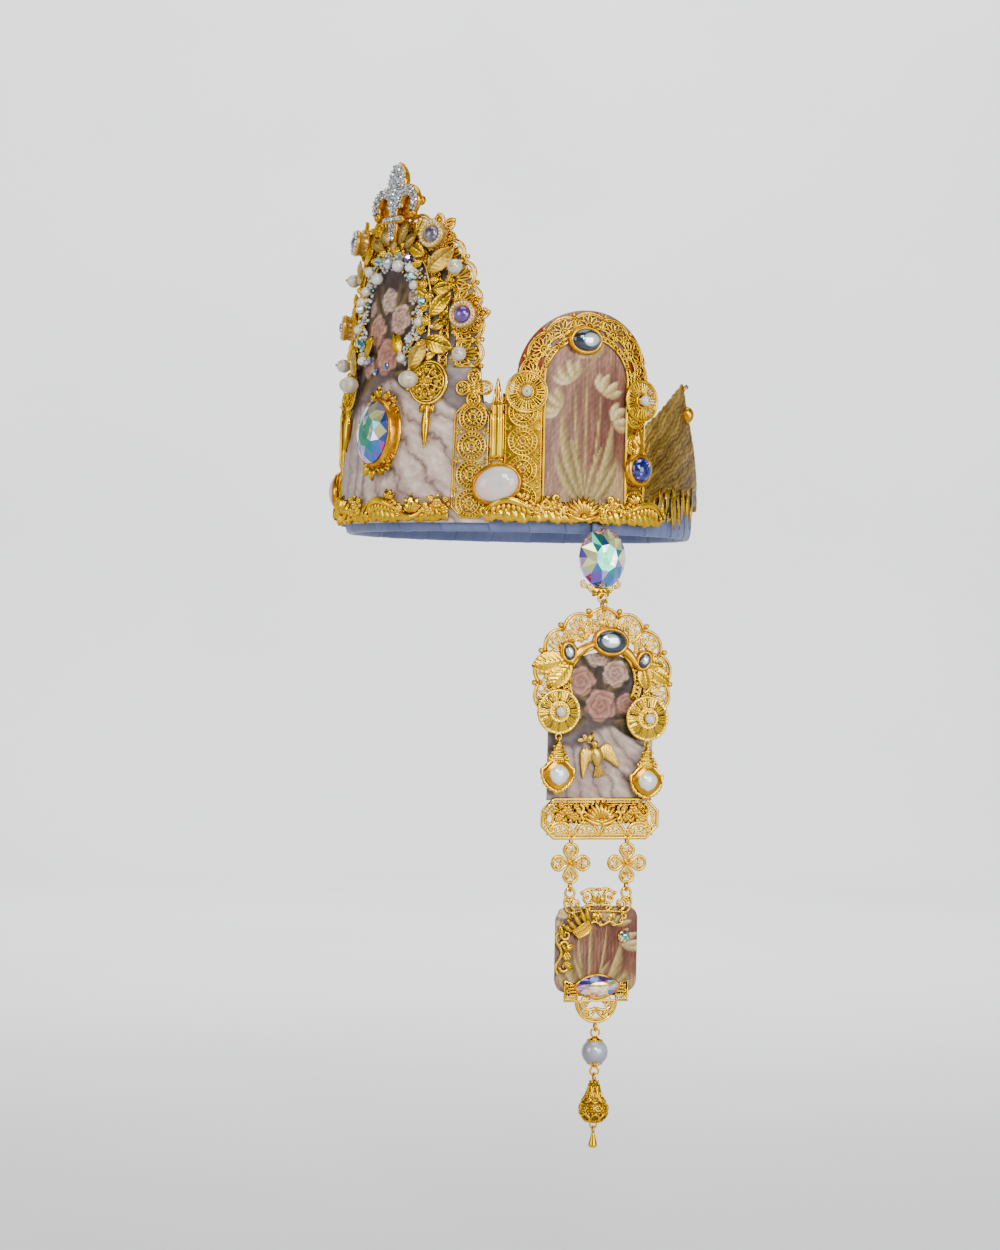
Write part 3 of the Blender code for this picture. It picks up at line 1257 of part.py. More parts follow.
def plaque_charms():
    """Small tilted crown charm and the scroll at the plaque's edge."""
    points = [(-0.0036, 0.0), (0.0036, 0.0), (0.0046, 0.0066)]
    for index in range(3):
        points += [(0.0054 - 0.0036 * index, 0.0112), (0.0028 - 0.0028 * index, 0.0068)]
    points[-1] = (-0.0054, 0.0112)
    points.append((-0.0046, 0.0066))
    charm = turned_flat(plate([points], 0.0022), 28.0)
    stand = RIM + GAP
    keep("crown_charm", shifted(charm, x=-0.0085, y=PLAQUE_TOP - 0.0080, z=stand), "gilt", HANG)
    bend = []
    for share, across in ((0.0, 0.3), (0.2, 1.0), (0.4, 0.2), (0.6, -0.6), (0.8, 0.2), (1.0, 1.2)):
        bend.append((-PLAQUE_SIZE[0] / 2 + 0.0010 + 0.0018 * across, PLAQUE_BOTTOM + 0.0080 + 0.0180 * share))
    scroll = bowed(bend, 0.0016, 0.0016, 0.0)
    boss = ball(0.0022, 8, 4, x=-PLAQUE_SIZE[0] / 2 + 0.0040, y=PLAQUE_BOTTOM + 0.0160, z=0.0014,
                stretch=(1.2, 0.9, 0.6))
    keep("plaque_scroll", shifted(fuse([scroll, boss]), z=-RIM), "gilt", HANG)


def marquise_crescent():
    """Pointed crystal over the plaque's foot, with the pierced half-round and its eye."""
    radius = HALF_ROUND_RADIUS
    foot = HALF_ROUND_DROP - 0.0003
    outline = [(0.0148, 0.0020), (0.0148, -foot - 0.0003), (radius, -foot)]
    outline += [polar(0.0, -HALF_ROUND_DROP, radius, -angle) for angle in range(10, 171, 16)]
    outline += [(-radius, -foot), (-0.0148, -foot - 0.0003), (-0.0148, 0.0020)]
    gaps = [oval(side * 0.0046, -foot - 0.0028, 0.0032, 0.0018, 8) for side in (-1, 1)]
    gaps += [oval(side * 0.0036, -foot - 0.0066, 0.0022, 0.0013, 8) for side in (-1, 1)]
    sheet = plate([outline] + gaps, FILIGREE_WALL)
    stone = lathe([(0.0, 0.0048), (0.0030, 0.0048), (0.0068, 0.0038), (0.0086, 0.0022), (0.0094, 0.0018),
                   (0.0094, 0.0003), (0.0, 0.0003)], 12)
    for vertex in stone.data.vertices:
        reach = max(0.0, 1 - (abs(vertex.co.x) / 0.0100) ** 2)
        vertex.co.y *= 0.52 * reach ** 0.35
    shifted(stone, y=-0.0004)
    eye = loop_ring(EYE_RADIUS, WIRE, "SIDE", y=EYE_Y - HALF_ROUND_TOP, z=FILIGREE_WALL / 2)
    piece = shifted(fuse([sheet, stone, eye]), y=HALF_ROUND_TOP, z=-RIM)
    keep("marquise_crescent", piece, "gilt", HANG)


def end_drop():
    """Pearl between caps, pear-shaped bead and teardrop, each hung in the loop above it."""
    level = -RIM + FILIGREE_WALL / 2
    radius = DROP_PEARL_RADIUS
    upper = loop_ring(DROP_LOOP_RADIUS, WIRE, y=DROP_LOOP_Y, z=level)
    lower = loop_ring(DROP_LOOP_RADIUS, WIRE, y=LOWER_LOOP_Y, z=level)
    profile = [(0.0, radius + 0.0010), (0.0030, radius * 0.90)]
    for angle in range(45, -46, -30):
        profile.append((radius * cos(radians(angle)), radius * sin(radians(angle))))
    profile += [(0.0030, -radius * 0.90), (0.0, -radius - 0.0010)]
    upright = Matrix.Rotation(-pi / 2, 4, "X")
    pearl = moved(lathe(profile, 12), upright)
    shifted(pearl, y=DROP_PEARL_Y, z=level)
    keep("pearl_drop", fuse([pearl, upper, lower]), "pearl", HANG)

    hook = LOWER_LOOP_Y - DROP_LOOP_RADIUS
    ring_radius = 0.0017
    ring_y = hook - (ring_radius - 2 * WIRE - LOOP_CLEARANCE)
    top = ring_y - ring_radius + 0.0001
    body = moved(lathe(pear_profile(PEAR_LENGTH, PEAR_RADIUS), 12), upright)
    shifted(body, y=top, z=level)
    ring = loop_ring(ring_radius, WIRE, "SIDE", y=ring_y, z=level)
    foot_radius = 0.0015
    foot_y = top - PEAR_LENGTH - foot_radius + 0.0003
    foot = loop_ring(foot_radius, WIRE, y=foot_y, z=level)
    keep("pear_bead", fuse([body, ring, foot]), "gilt", HANG)

    tip_ring = 0.0014
    tip_hook = foot_y - foot_radius
    tip_y = tip_hook - (tip_ring - 2 * WIRE - LOOP_CLEARANCE * 0.5)
    tear = moved(lathe(pear_profile(TEAR_LENGTH, TEAR_LENGTH * 0.27), 10), upright)
    shifted(tear, y=tip_y - tip_ring + 0.0002, z=level)
    tip = loop_ring(tip_ring, WIRE, "SIDE", y=tip_y, z=level)
    keep("tear_drop", fuse([tear, tip]), "gilt", HANG)


def pear_profile(length, radius):
    """Profile of a pear that hangs down from the origin."""
    rows = ((0.26, -0.02), (0.34, -0.18), (0.56, -0.38), (0.94, -0.58), (1.00, -0.72), (0.72, -0.93),
            (0.0, -1.0))
    return [(0.0, 0.0)] + [(radius * across, length * along) for across, along in rows]


def build():
    head_band()
    front_panel()
    front_arch()
    front_strips()
    side_panels()
    side_filigrees()
    side_discs()
    back_leaves()
    trims()
    side_stones()
    fleur_finial()
    ring_stones()
    medallions()
    main_crystal()
    pearls()
    bead_halo()
    leaf_sprays()
    stud_crystal()
    pendant_ring()
    pendant_picture()
    pendant_arch()
    pendant_stones()
    hanging_discs()
    dove()
    pendant_bar()
    links()
    connector()
    plaque()
    plaque_charms()
    marquise_crescent()
    end_drop()


build()
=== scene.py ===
"""Looks of a jeweled crown with a hung pendant, laid out as a Blender add-on and run as a script."""
import bpy
import numpy as np
from numpy import arange, arctan2, array, clip, concatenate, cos, degrees, exp, hypot
from numpy import interp, pi, radians, sin, sqrt, stack
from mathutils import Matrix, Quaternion, Vector
from bpy.props import FloatProperty, FloatVectorProperty, IntProperty, PointerProperty


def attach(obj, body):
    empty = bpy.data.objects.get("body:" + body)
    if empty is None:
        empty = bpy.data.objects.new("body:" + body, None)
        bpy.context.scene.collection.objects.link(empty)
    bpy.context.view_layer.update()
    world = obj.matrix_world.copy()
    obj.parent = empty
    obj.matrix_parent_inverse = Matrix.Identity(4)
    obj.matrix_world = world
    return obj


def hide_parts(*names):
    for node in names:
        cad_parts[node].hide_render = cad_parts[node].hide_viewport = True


bl_info = {
    "name": "Jeweled crown",
    "version": (1, 0, 0),
    "blender": (4, 5, 0),
    "location": "3D View > Sidebar > Crown",
    "description": "Dresses the packed parts of a jeweled crown and its pendant",
    "category": "Object",
}

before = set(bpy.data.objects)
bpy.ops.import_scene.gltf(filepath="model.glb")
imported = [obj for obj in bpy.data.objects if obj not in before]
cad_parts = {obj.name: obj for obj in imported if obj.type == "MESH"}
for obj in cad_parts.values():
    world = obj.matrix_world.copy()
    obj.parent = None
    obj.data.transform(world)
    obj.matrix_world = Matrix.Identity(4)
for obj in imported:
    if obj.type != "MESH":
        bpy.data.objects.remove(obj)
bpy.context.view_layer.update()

# Sizes repeated from the part's source, in millimetres and degrees
MM = 0.001
WALL = 80.0
BAND_HEIGHT, BAND_WALL = 22.0, 5.0
LEAN = float(np.tan(radians(5.3)))
PANEL, FILIGREE, STONE = 0.3, 1.8, 3.0
FRONT_HEIGHT, FRONT_SHOULDER, FRONT_TURN, FRONT_BOTTOM = 142.0, 56.0, 43.8, 4.0
ARCH_TURN, ARCH_FOOT, ARCH_SPRING, ARCH_POWER = 40.5, 72.0, 80.0, 0.8
ARCH_BAND_TURN, ARCH_BAND = 16.0, 16.0
STRIP_TURN, STRIP_BOTTOM, FLOWER = 31.6, 6.0, 8.2
SIDE_TURN, SIDE_START, SIDE_END = 73.4, 47.0, 94.2
SIDE_BOTTOM, SIDE_SPRING, SIDE_OUTER, SIDE_INNER, SIDE_TOP = 8.5, 66.0, 30.0, 18.8, 58.0
HALO_WIDTH, HALO_RISE, HALO_HEIGHT = 23.8, 25.0, 97.0
FLEUR_FOOT = 128.5
HANG_ORIGIN, HANG_TURN = (84.793, -17.097, -29.2), 71.0
ARCH_Y, CRESCENT_INNER, CRESCENT_OUTER = -34.2, 14.5, 32.0
PICTURE_TOP, PICTURE_BOTTOM, PICTURE_HALF = -21.7, -85.7, 24.0
BAR_Y, BAR_HALF, BAR_TALL = -93.488, 26.8, 8.85
LINK_Y, LINK_X = -112.738, 12.9
CONNECTOR_Y, PLAQUE_TOP, PLAQUE_BOTTOM, PLAQUE_HALF = -123.138, -131.538, -168.738, 18.8
HALF_ROUND_Y, HALF_DROP, EYE_Y, DROP_Y = -165.138, 7.1, -183.638, -186.038
TINY = 1e-9
SIDES = ((1, "l"), (-1, "r"))


# Arrays
def vec(x, y, z=0.0):
    """Points whose coordinates are broadcast together."""
    return stack(np.broadcast_arrays(np.asarray(x, float), y, z), -1)


def span(start, end, count):
    """Even steps from one number to another."""
    return np.linspace(start, end, count)


def circle(count):
    """Angles of even steps round a whole turn, in radians."""
    return arange(count) * 2 * pi / count


def around(r, a, x=0.0, y=0.0):
    """X and Y at a distance and an angle from a centre: its cosine and sine."""
    return x + r * cos(a), y + r * sin(a)


def unit(v):
    """Directions of length one."""
    return v / (np.linalg.norm(v, axis=-1, keepdims=True) + TINY)


def step(low, high, value):
    """Smooth step: 3t^2 - 2t^3 of the value's share between two limits."""
    t = clip((value - low) / (high - low), 0, 1)
    return t * t * (3 - 2 * t)


def mottle(x, y, size, seed=0, octaves=4):
    """Soft noise of 0 to 1: sines in random directions, each octave finer and weaker."""
    rng = np.random.default_rng(seed)
    total = 0.0
    for octave in range(octaves):
        for _ in range(3):
            lie, phase = rng.uniform(0, 2 * pi, 2)
            wave = 2 ** octave * rng.uniform(0.7, 1.3) * 2 * pi / size
            total = total + sin((x * cos(lie) + y * sin(lie)) * wave + phase) / 1.7 ** octave
    return 0.5 + total / 7.0


def wrap(turn=0.0, out=0.0, lean=0.0, side=1):
    """Place for flat points on the round wall: X along it, Y up it, Z out of it."""

    def place(p):
        angle = radians(turn) + p[..., 0] / WALL
        reach = WALL + out + p[..., 2] - np.maximum(p[..., 1] - BAND_HEIGHT, 0) * lean
        return vec(side * reach * sin(angle), -reach * cos(angle), p[..., 1]) * MM
    return place


def spot(turn, height, out, lean=0.0, roll=0.0, side=1):
    """Place for a stiff piece on the wall, as the part's source lays it."""
    angle = radians(turn)
    tilt = np.arctan(lean) if height > BAND_HEIGHT else 0.0
    radial = array((sin(angle), -cos(angle), 0.0))
    along = array((cos(angle), sin(angle), 0.0))
    upward = array((0.0, 0.0, cos(tilt))) - radial * sin(tilt)
    outward = np.cross(along, upward)
    reach = WALL - max(0.0, height - BAND_HEIGHT) * lean + out
    origin = radial * reach + array((0.0, 0.0, height))
    c, s = cos(radians(roll)), sin(radians(roll))

    def place(p):
        x, y = p[..., :1] * c - p[..., 1:2] * s, p[..., :1] * s + p[..., 1:2] * c
        q = origin + x * along + y * upward + p[..., 2:] * outward
        return q * array((side, 1.0, 1.0)) * MM
    return place


def hang(p):
    """Place of the hung pieces: origin on the pendant's ring, Z away from the head."""
    angle = radians(HANG_TURN)
    along = array((cos(angle), sin(angle), 0.0))
    outward = array((sin(angle), -cos(angle), 0.0))
    q = array(HANG_ORIGIN) + p[..., :1] * along + p[..., 2:] * outward
    q[..., 2] += p[..., 1]
    return q * MM


# Paths in the flat
def oval(x, y, rx, ry=None, turn=0.0, count=24, z=0.0):
    """Closed oval round a centre: cosine and sine of one turn, turned in degrees."""
    x, y, rx, turn = (np.asarray(v, float)[..., None] for v in (x, y, rx, turn))
    ry = rx if ry is None else np.asarray(ry, float)[..., None]
    a = circle(count)
    c, s = cos(radians(turn)), sin(radians(turn))
    return vec(x + rx * cos(a) * c - ry * sin(a) * s, y + rx * cos(a) * s + ry * sin(a) * c, z)


def curl(x, y, radius, start, sweep, end=0.3, count=14, z=0.0):
    """Spiral round a centre whose radius shrinks evenly to a share of itself."""
    x, y, radius, start, sweep = (np.asarray(v, float)[..., None] for v in (x, y, radius, start, sweep))
    t = span(0, 1, count)
    a = radians(start + sweep * t)
    r = radius * (1 - (1 - end) * t)
    return vec(*around(r, a, x, y), z)


def bow(x0, y0, x1, y1, bulge=0.0, count=9, z=0.0):
    """Path between two points that bows to its left as a parabola."""
    x0, y0, x1, y1, bulge = (np.asarray(v, float)[..., None] for v in (x0, y0, x1, y1, bulge))
    t = span(0, 1, count)
    size = hypot(x1 - x0, y1 - y0) + TINY
    lift = 4 * bulge * t * (1 - t) / size
    return vec(x0 + (x1 - x0) * t - (y1 - y0) * lift, y0 + (y1 - y0) * t + (x1 - x0) * lift, z)


def copies(p, x, y, turn=0.0, z=0.0, size=1.0):
    """Copies of a shape, each sized, turned in degrees about Z and shifted."""
    shape = (-1,) + (1,) * (p.ndim - 1)
    x, y, turn, z, size = (np.reshape(v, shape) for v in np.broadcast_arrays(*(np.asarray(v, float)
        for v in (x, y, turn, z, size))))
    c, s = cos(radians(turn)), sin(radians(turn))
    px, py, pz = (p[None, ..., i] * size for i in range(3))
    return vec(x + px * c - py * s, y + px * s + py * c, z + pz)


# Surfaces
def tube(path, radius, sides=6, shut=False, up=(0, 0, 1), flat=1.0):
    """Circle of a radius carried along a path; an open path ends in closed tips."""
    path = np.asarray(path, float)
    run = unit(np.roll(path, -1, -2) - np.roll(path, 1, -2) if shut else np.gradient(path, axis=-2))
    side = unit(np.cross(run, up))
    lift = np.cross(side, run)
    radius = np.broadcast_to(radius, path.shape[:-1]).astype(float)
    if not shut:
        path, side, lift = (concatenate((a[..., :1, :], a, a[..., -1:, :]), -2) for a in (path, side, lift))
        radius = concatenate((radius[..., :1] * 0, radius, radius[..., -1:] * 0), -1)
    turn = (arange(sides) + 0.5)[:, None] * 2 * pi / sides
    ring = cos(turn) * side[..., None, :] + flat * sin(turn) * lift[..., None, :]
    return path[..., None, :] + radius[..., None, None] * ring


def turned(half, rows, sides=32, start=0.0):
    """Rings of an oval: each row gives a share of its half sizes, an amount added, and a height."""
    share, extra, z = array(rows, float).T[:, :, None]
    a = circle(sides) + start
    return vec((half[0] * share + extra) * cos(a), (half[1] * share + extra) * sin(a), z)


def lathe(rows, sides=24, start=0.0):
    """Profile of (radius, height) rows turned about Z."""
    return turned((0, 0), [(0.0, radius, height) for radius, height in rows], sides, start)


def balls(x, y, z, radius, rows=7, sides=10):
    """Spheres: a half circle turned about Z, copied to each centre."""
    a = span(-pi / 2, pi / 2, rows)
    one = lathe(stack((cos(a), sin(a)), 1), sides)
    return copies(one, x, y, 0.0, z, radius)


def pad(edge, height, rows=6, base=0.0, power=0.5, relief=None):
    """Cushion over an outline: rings shrink from it to its middle and rise as a dome."""
    edge = np.asarray(edge, float)[:, :2]
    middle = edge.mean(0)
    share = span(1, 0, rows)[:, None]
    flat = middle + (edge - middle) * share[..., None]
    z = base + height * (1 - share ** 2) ** power + np.zeros(len(edge))
    if relief:
        away = edge - middle
        z = z + relief(share, arctan2(away[:, 1], away[:, 0])[None])
    top = vec(flat[..., 0], flat[..., 1], z)
    under = vec(flat[..., 0], flat[..., 1], base)[[-1, 0]]
    return concatenate((under, top))


def shell(top, thick, stride=1):
    """Closed sheet: its top grid, and a lowered and coarser copy of it that makes the back."""
    rows, cols = (np.minimum((arange(n) + stride // 2) // stride * stride, n - 1) for n in top.shape[-3:-1])
    under = top[..., rows, :, :][..., cols, :] - array((0, 0, thick))
    loop = concatenate((top, under[..., ::-1, :]), -2)
    ends = (loop + loop[..., ::-1, :]) / 2
    return concatenate((ends[..., :1, :, :], loop, ends[..., -1:, :, :]), -3)


def leaf(length, width, rise=0.6, veins=5, rows=15, cols=9, thick=0.5, ridge=0.3, bend=0.0):
    """Pointed leaf along X: sine-shaped width, slanting veins, midrib, raised rim, bowed length."""
    u, v = span(0.0, 1.0, rows)[:, None], span(-1.0, 1.0, cols)[None]
    half = width / 2 * sin(pi * clip(u, 0.02, 0.985) ** 0.85) ** 0.8
    half = half * (1 + 0.05 * cos(4 * pi * veins * u))
    x = length * (u + 0.06 * np.abs(v) * sin(pi * u))
    z = rise * (1 - np.abs(v) ** 1.5) * sin(pi * u) ** 0.6 + bend * sin(pi * u)
    z = z + ridge * 0.45 * cos(2 * pi * (veins * u - 1.4 * np.abs(v))) * clip(2.5 * (1 - np.abs(v)), 0, 1)
    z = z + ridge * exp(-(v / 0.16) ** 2) + ridge * 0.8 * exp(-((1 - np.abs(v)) / 0.12) ** 2) + thick
    return shell(vec(x, half * v, z), thick, 4)


class Pile:
    """Closed surfaces gathered into one mesh; each is laid out in millimetres and then placed."""

    def __init__(self, place=None, finish="gilt"):
        self.place, self.finish = place, finish
        self.size, self.names = 0, []
        self.points, self.corners, self.totals = [], [], []
        self.marks, self.smooth, self.tones, self.deeps, self.paints = [], [], [], [], []
        self.rng = np.random.default_rng(11)

    def mark(self, name):
        """Number of a finish in the mesh's list of materials."""
        if name not in self.names:
            self.names.append(name)
        return self.names.index(name)

    def solid(self, p, faces, finish=None, place=None, tone=0.5, smooth=True, deep=None, paint=None,
            back=None):
        """Add copies of one body: points of (copies, points, 3) and faces of four corners."""
        q = (place or self.place)(p)
        # Painted light and shade by default: each shape's colour share runs from dark at its foot to light
        # at its top
        if deep is None:
            level = p[..., 2] - p[..., 2].min(-1, keepdims=True)
            deep = level / (level.max(-1, keepdims=True) + TINY)
        a, b, c, d = (q[0][faces[:, i]] for i in range(4))
        volume = (np.cross(a, b) * c + np.cross(a, c) * d).sum()
        if volume < 0:
            faces = faces[:, ::-1]
        kept = faces != np.roll(faces, 1, 1)
        full = kept.sum(1) > 2
        faces, kept = faces[full], kept[full]
        count, number = len(q), q.shape[1]
        shift = (arange(count) * number + self.size)[:, None]
        self.corners.append((faces[kept][None] + shift).ravel())
        self.totals.append(np.tile(kept.sum(1), count))
        mark = np.full(len(faces), self.mark(finish or self.finish))
        if back:
            a, b, c, d = (p[0][faces[:, i]] for i in range(4))
            facing = np.cross(c - a, d - b)[:, 2] * hand(place or self.place)
            mark[facing <= 0] = self.mark(back)
        self.marks.append(np.tile(mark, count))
        self.smooth.append(np.full(len(faces) * count, smooth))
        if isinstance(tone, str):
            self.tones.append(self.rng.random(len(faces) * count))
        elif np.size(tone) == len(faces):
            self.tones.append(np.tile(tone, count))
        else:
            self.tones.append(np.repeat(np.broadcast_to(tone, count), len(faces)).astype(float))
        self.points.append(q.reshape(-1, 3))
        self.deeps.append(np.broadcast_to(deep, (count, number)).astype(float).ravel())
        paint = np.full(3, 0.5) if paint is None else paint
        self.paints.append(np.broadcast_to(paint, (count, number, 3)).reshape(-1, 3))
        self.size += count * number

    def add(self, p, finish=None, place=None, shut=(False, True), deep=None, paint=None, **how):
        """Add copies of a grid of points, its last two axes being rows and columns."""
        p = np.asarray(p, float)
        rows, cols = p.shape[-3:-1]
        p = p.reshape(-1, rows * cols, 3)
        index = arange(rows * cols).reshape(rows, cols)
        down = np.roll(index, -1, 0)
        faces = stack((index, np.roll(index, -1, 1), np.roll(down, -1, 1), down), -1)
        faces = faces[:rows if shut[0] else -1, :cols if shut[1] else -1].reshape(-1, 4)
        _, first, same = np.unique(np.round(p[0], 5), axis=0, return_index=True, return_inverse=True)
        if deep is not None:
            how["deep"] = np.broadcast_to(deep, (rows, cols)).reshape(-1)[first]
        if paint is not None:
            how["paint"] = np.asarray(paint).reshape(-1, 3)[first]
        self.solid(p[:, first], np.ravel(same)[faces], finish, place, **how)

    def wire(self, path, radius, finish=None, place=None, shut=False, sides=5, flat=1.0, up=(0, 0, 1)):
        """Add wires along paths; the sizes' share thickens or thins them all."""
        radius = np.multiply(radius, bpy.context.scene.crown_sizes.wire_share)
        self.add(tube(path, radius, sides, shut, up, flat), finish, place, (shut, True))

    def build_loose(self, name):
        """Write the gathered arrays into a mesh object."""
        mesh = bpy.data.meshes.new(name)
        points, corners, totals = (concatenate(a) for a in (self.points, self.corners, self.totals))
        mesh.vertices.add(len(points))
        mesh.vertices.foreach_set("co", points.ravel())
        mesh.loops.add(len(corners))
        mesh.loops.foreach_set("vertex_index", corners)
        mesh.polygons.add(len(totals))
        mesh.polygons.foreach_set("loop_start", concatenate(((0,), np.cumsum(totals)[:-1])))
        mesh.polygons.foreach_set("loop_total", totals)
        mesh.polygons.foreach_set("material_index", concatenate(self.marks))
        mesh.polygons.foreach_set("use_smooth", concatenate(self.smooth))
        layers = (("tone", "FLOAT", "FACE", "value", self.tones), ("deep", "FLOAT", "POINT", "value",
            self.deeps), ("paint", "FLOAT_COLOR", "POINT", "color", self.paints))
        for title, kind, domain, key, values in layers:
            values = concatenate(values)
            if key == "color":
                values = np.hstack((values, np.ones((len(values), 1))))
            mesh.attributes.new(title, kind, domain).data.foreach_set(key, values.ravel())
        mesh.update(calc_edges=True)
        for finish in self.names:
            mesh.materials.append(material(finish))
        made = bpy.data.objects.new(name, mesh)
        bpy.context.scene.collection.objects.link(made)
        return made

    def build(self, name, body, replaces=()):
        """Tell the frame which body the mesh rides on and which nodes it stands for."""
        made = self.build_loose(name)
        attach(made, body)
        if replaces:
            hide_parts(*replaces)
        return made


def hand(place):
    """Sign that tells whether a place keeps right-handed shapes right-handed."""
    probe = place(np.vstack((np.zeros(3), np.eye(3))) + array((0.0, 60.0, 0.0)))
    return np.sign(np.linalg.det(probe[1:] - probe[0]))


# Finishes
GOLD = ((0.0, (0.040, 0.018, 0.001)), (0.30, (0.29, 0.145, 0.002)), (0.62, (0.74, 0.42, 0.007)),
    (1.0, (0.97, 0.66, 0.040)))
GILT_EDGE = (1.0, 0.74, 0.16, 1.0)
# Iridescent coating: the near-black stop at .58 is painted shade and the yellow-white top stop a painted
# highlight; the other stops are the coating's own colours
AURORA_AND_PAINTED_LIGHT = ((0.0, (0.50, 0.08, 0.34)), (0.12, (0.20, 0.06, 0.52)), (0.24, (0.04, 0.12, 0.60)),
    (0.36, (0.01, 0.28, 0.38)), (0.48, (0.03, 0.44, 0.20)), (0.58, (0.01, 0.03, 0.06)),
    (0.68, (0.46, 0.44, 0.80)), (0.78, (0.80, 0.44, 0.66)), (0.88, (0.95, 0.52, 0.20)),
    (1.0, (0.93, 0.96, 0.42)))
# Places on the iridescent stones' ramp for each kind of facet, from the table's middle to the back; places
# of 1 and more lean to the painted highlight, and those from .64 to .72 to the painted shade
COOL_HUES = ((.42, .48), (.36, .46, 1.05), (.26, .42, .66), (.22, .34, .68, 1.05),
    (.10, .26, .42, .64, 1.08), (.02, .14, .24, .72), (.02, .12, .24, .78), (.02, .14, .22), (.14,))
WARM_HUES = ((.90, 1.0), (.78, .92, 1.0), (.74, .90, 1.02), (.72, .80, .92), (.02, .22, .78, .90, 1.04),
    (.02, .10, .22, .80), (.02, .14, .78), (.02, .16, .24), (.04,))
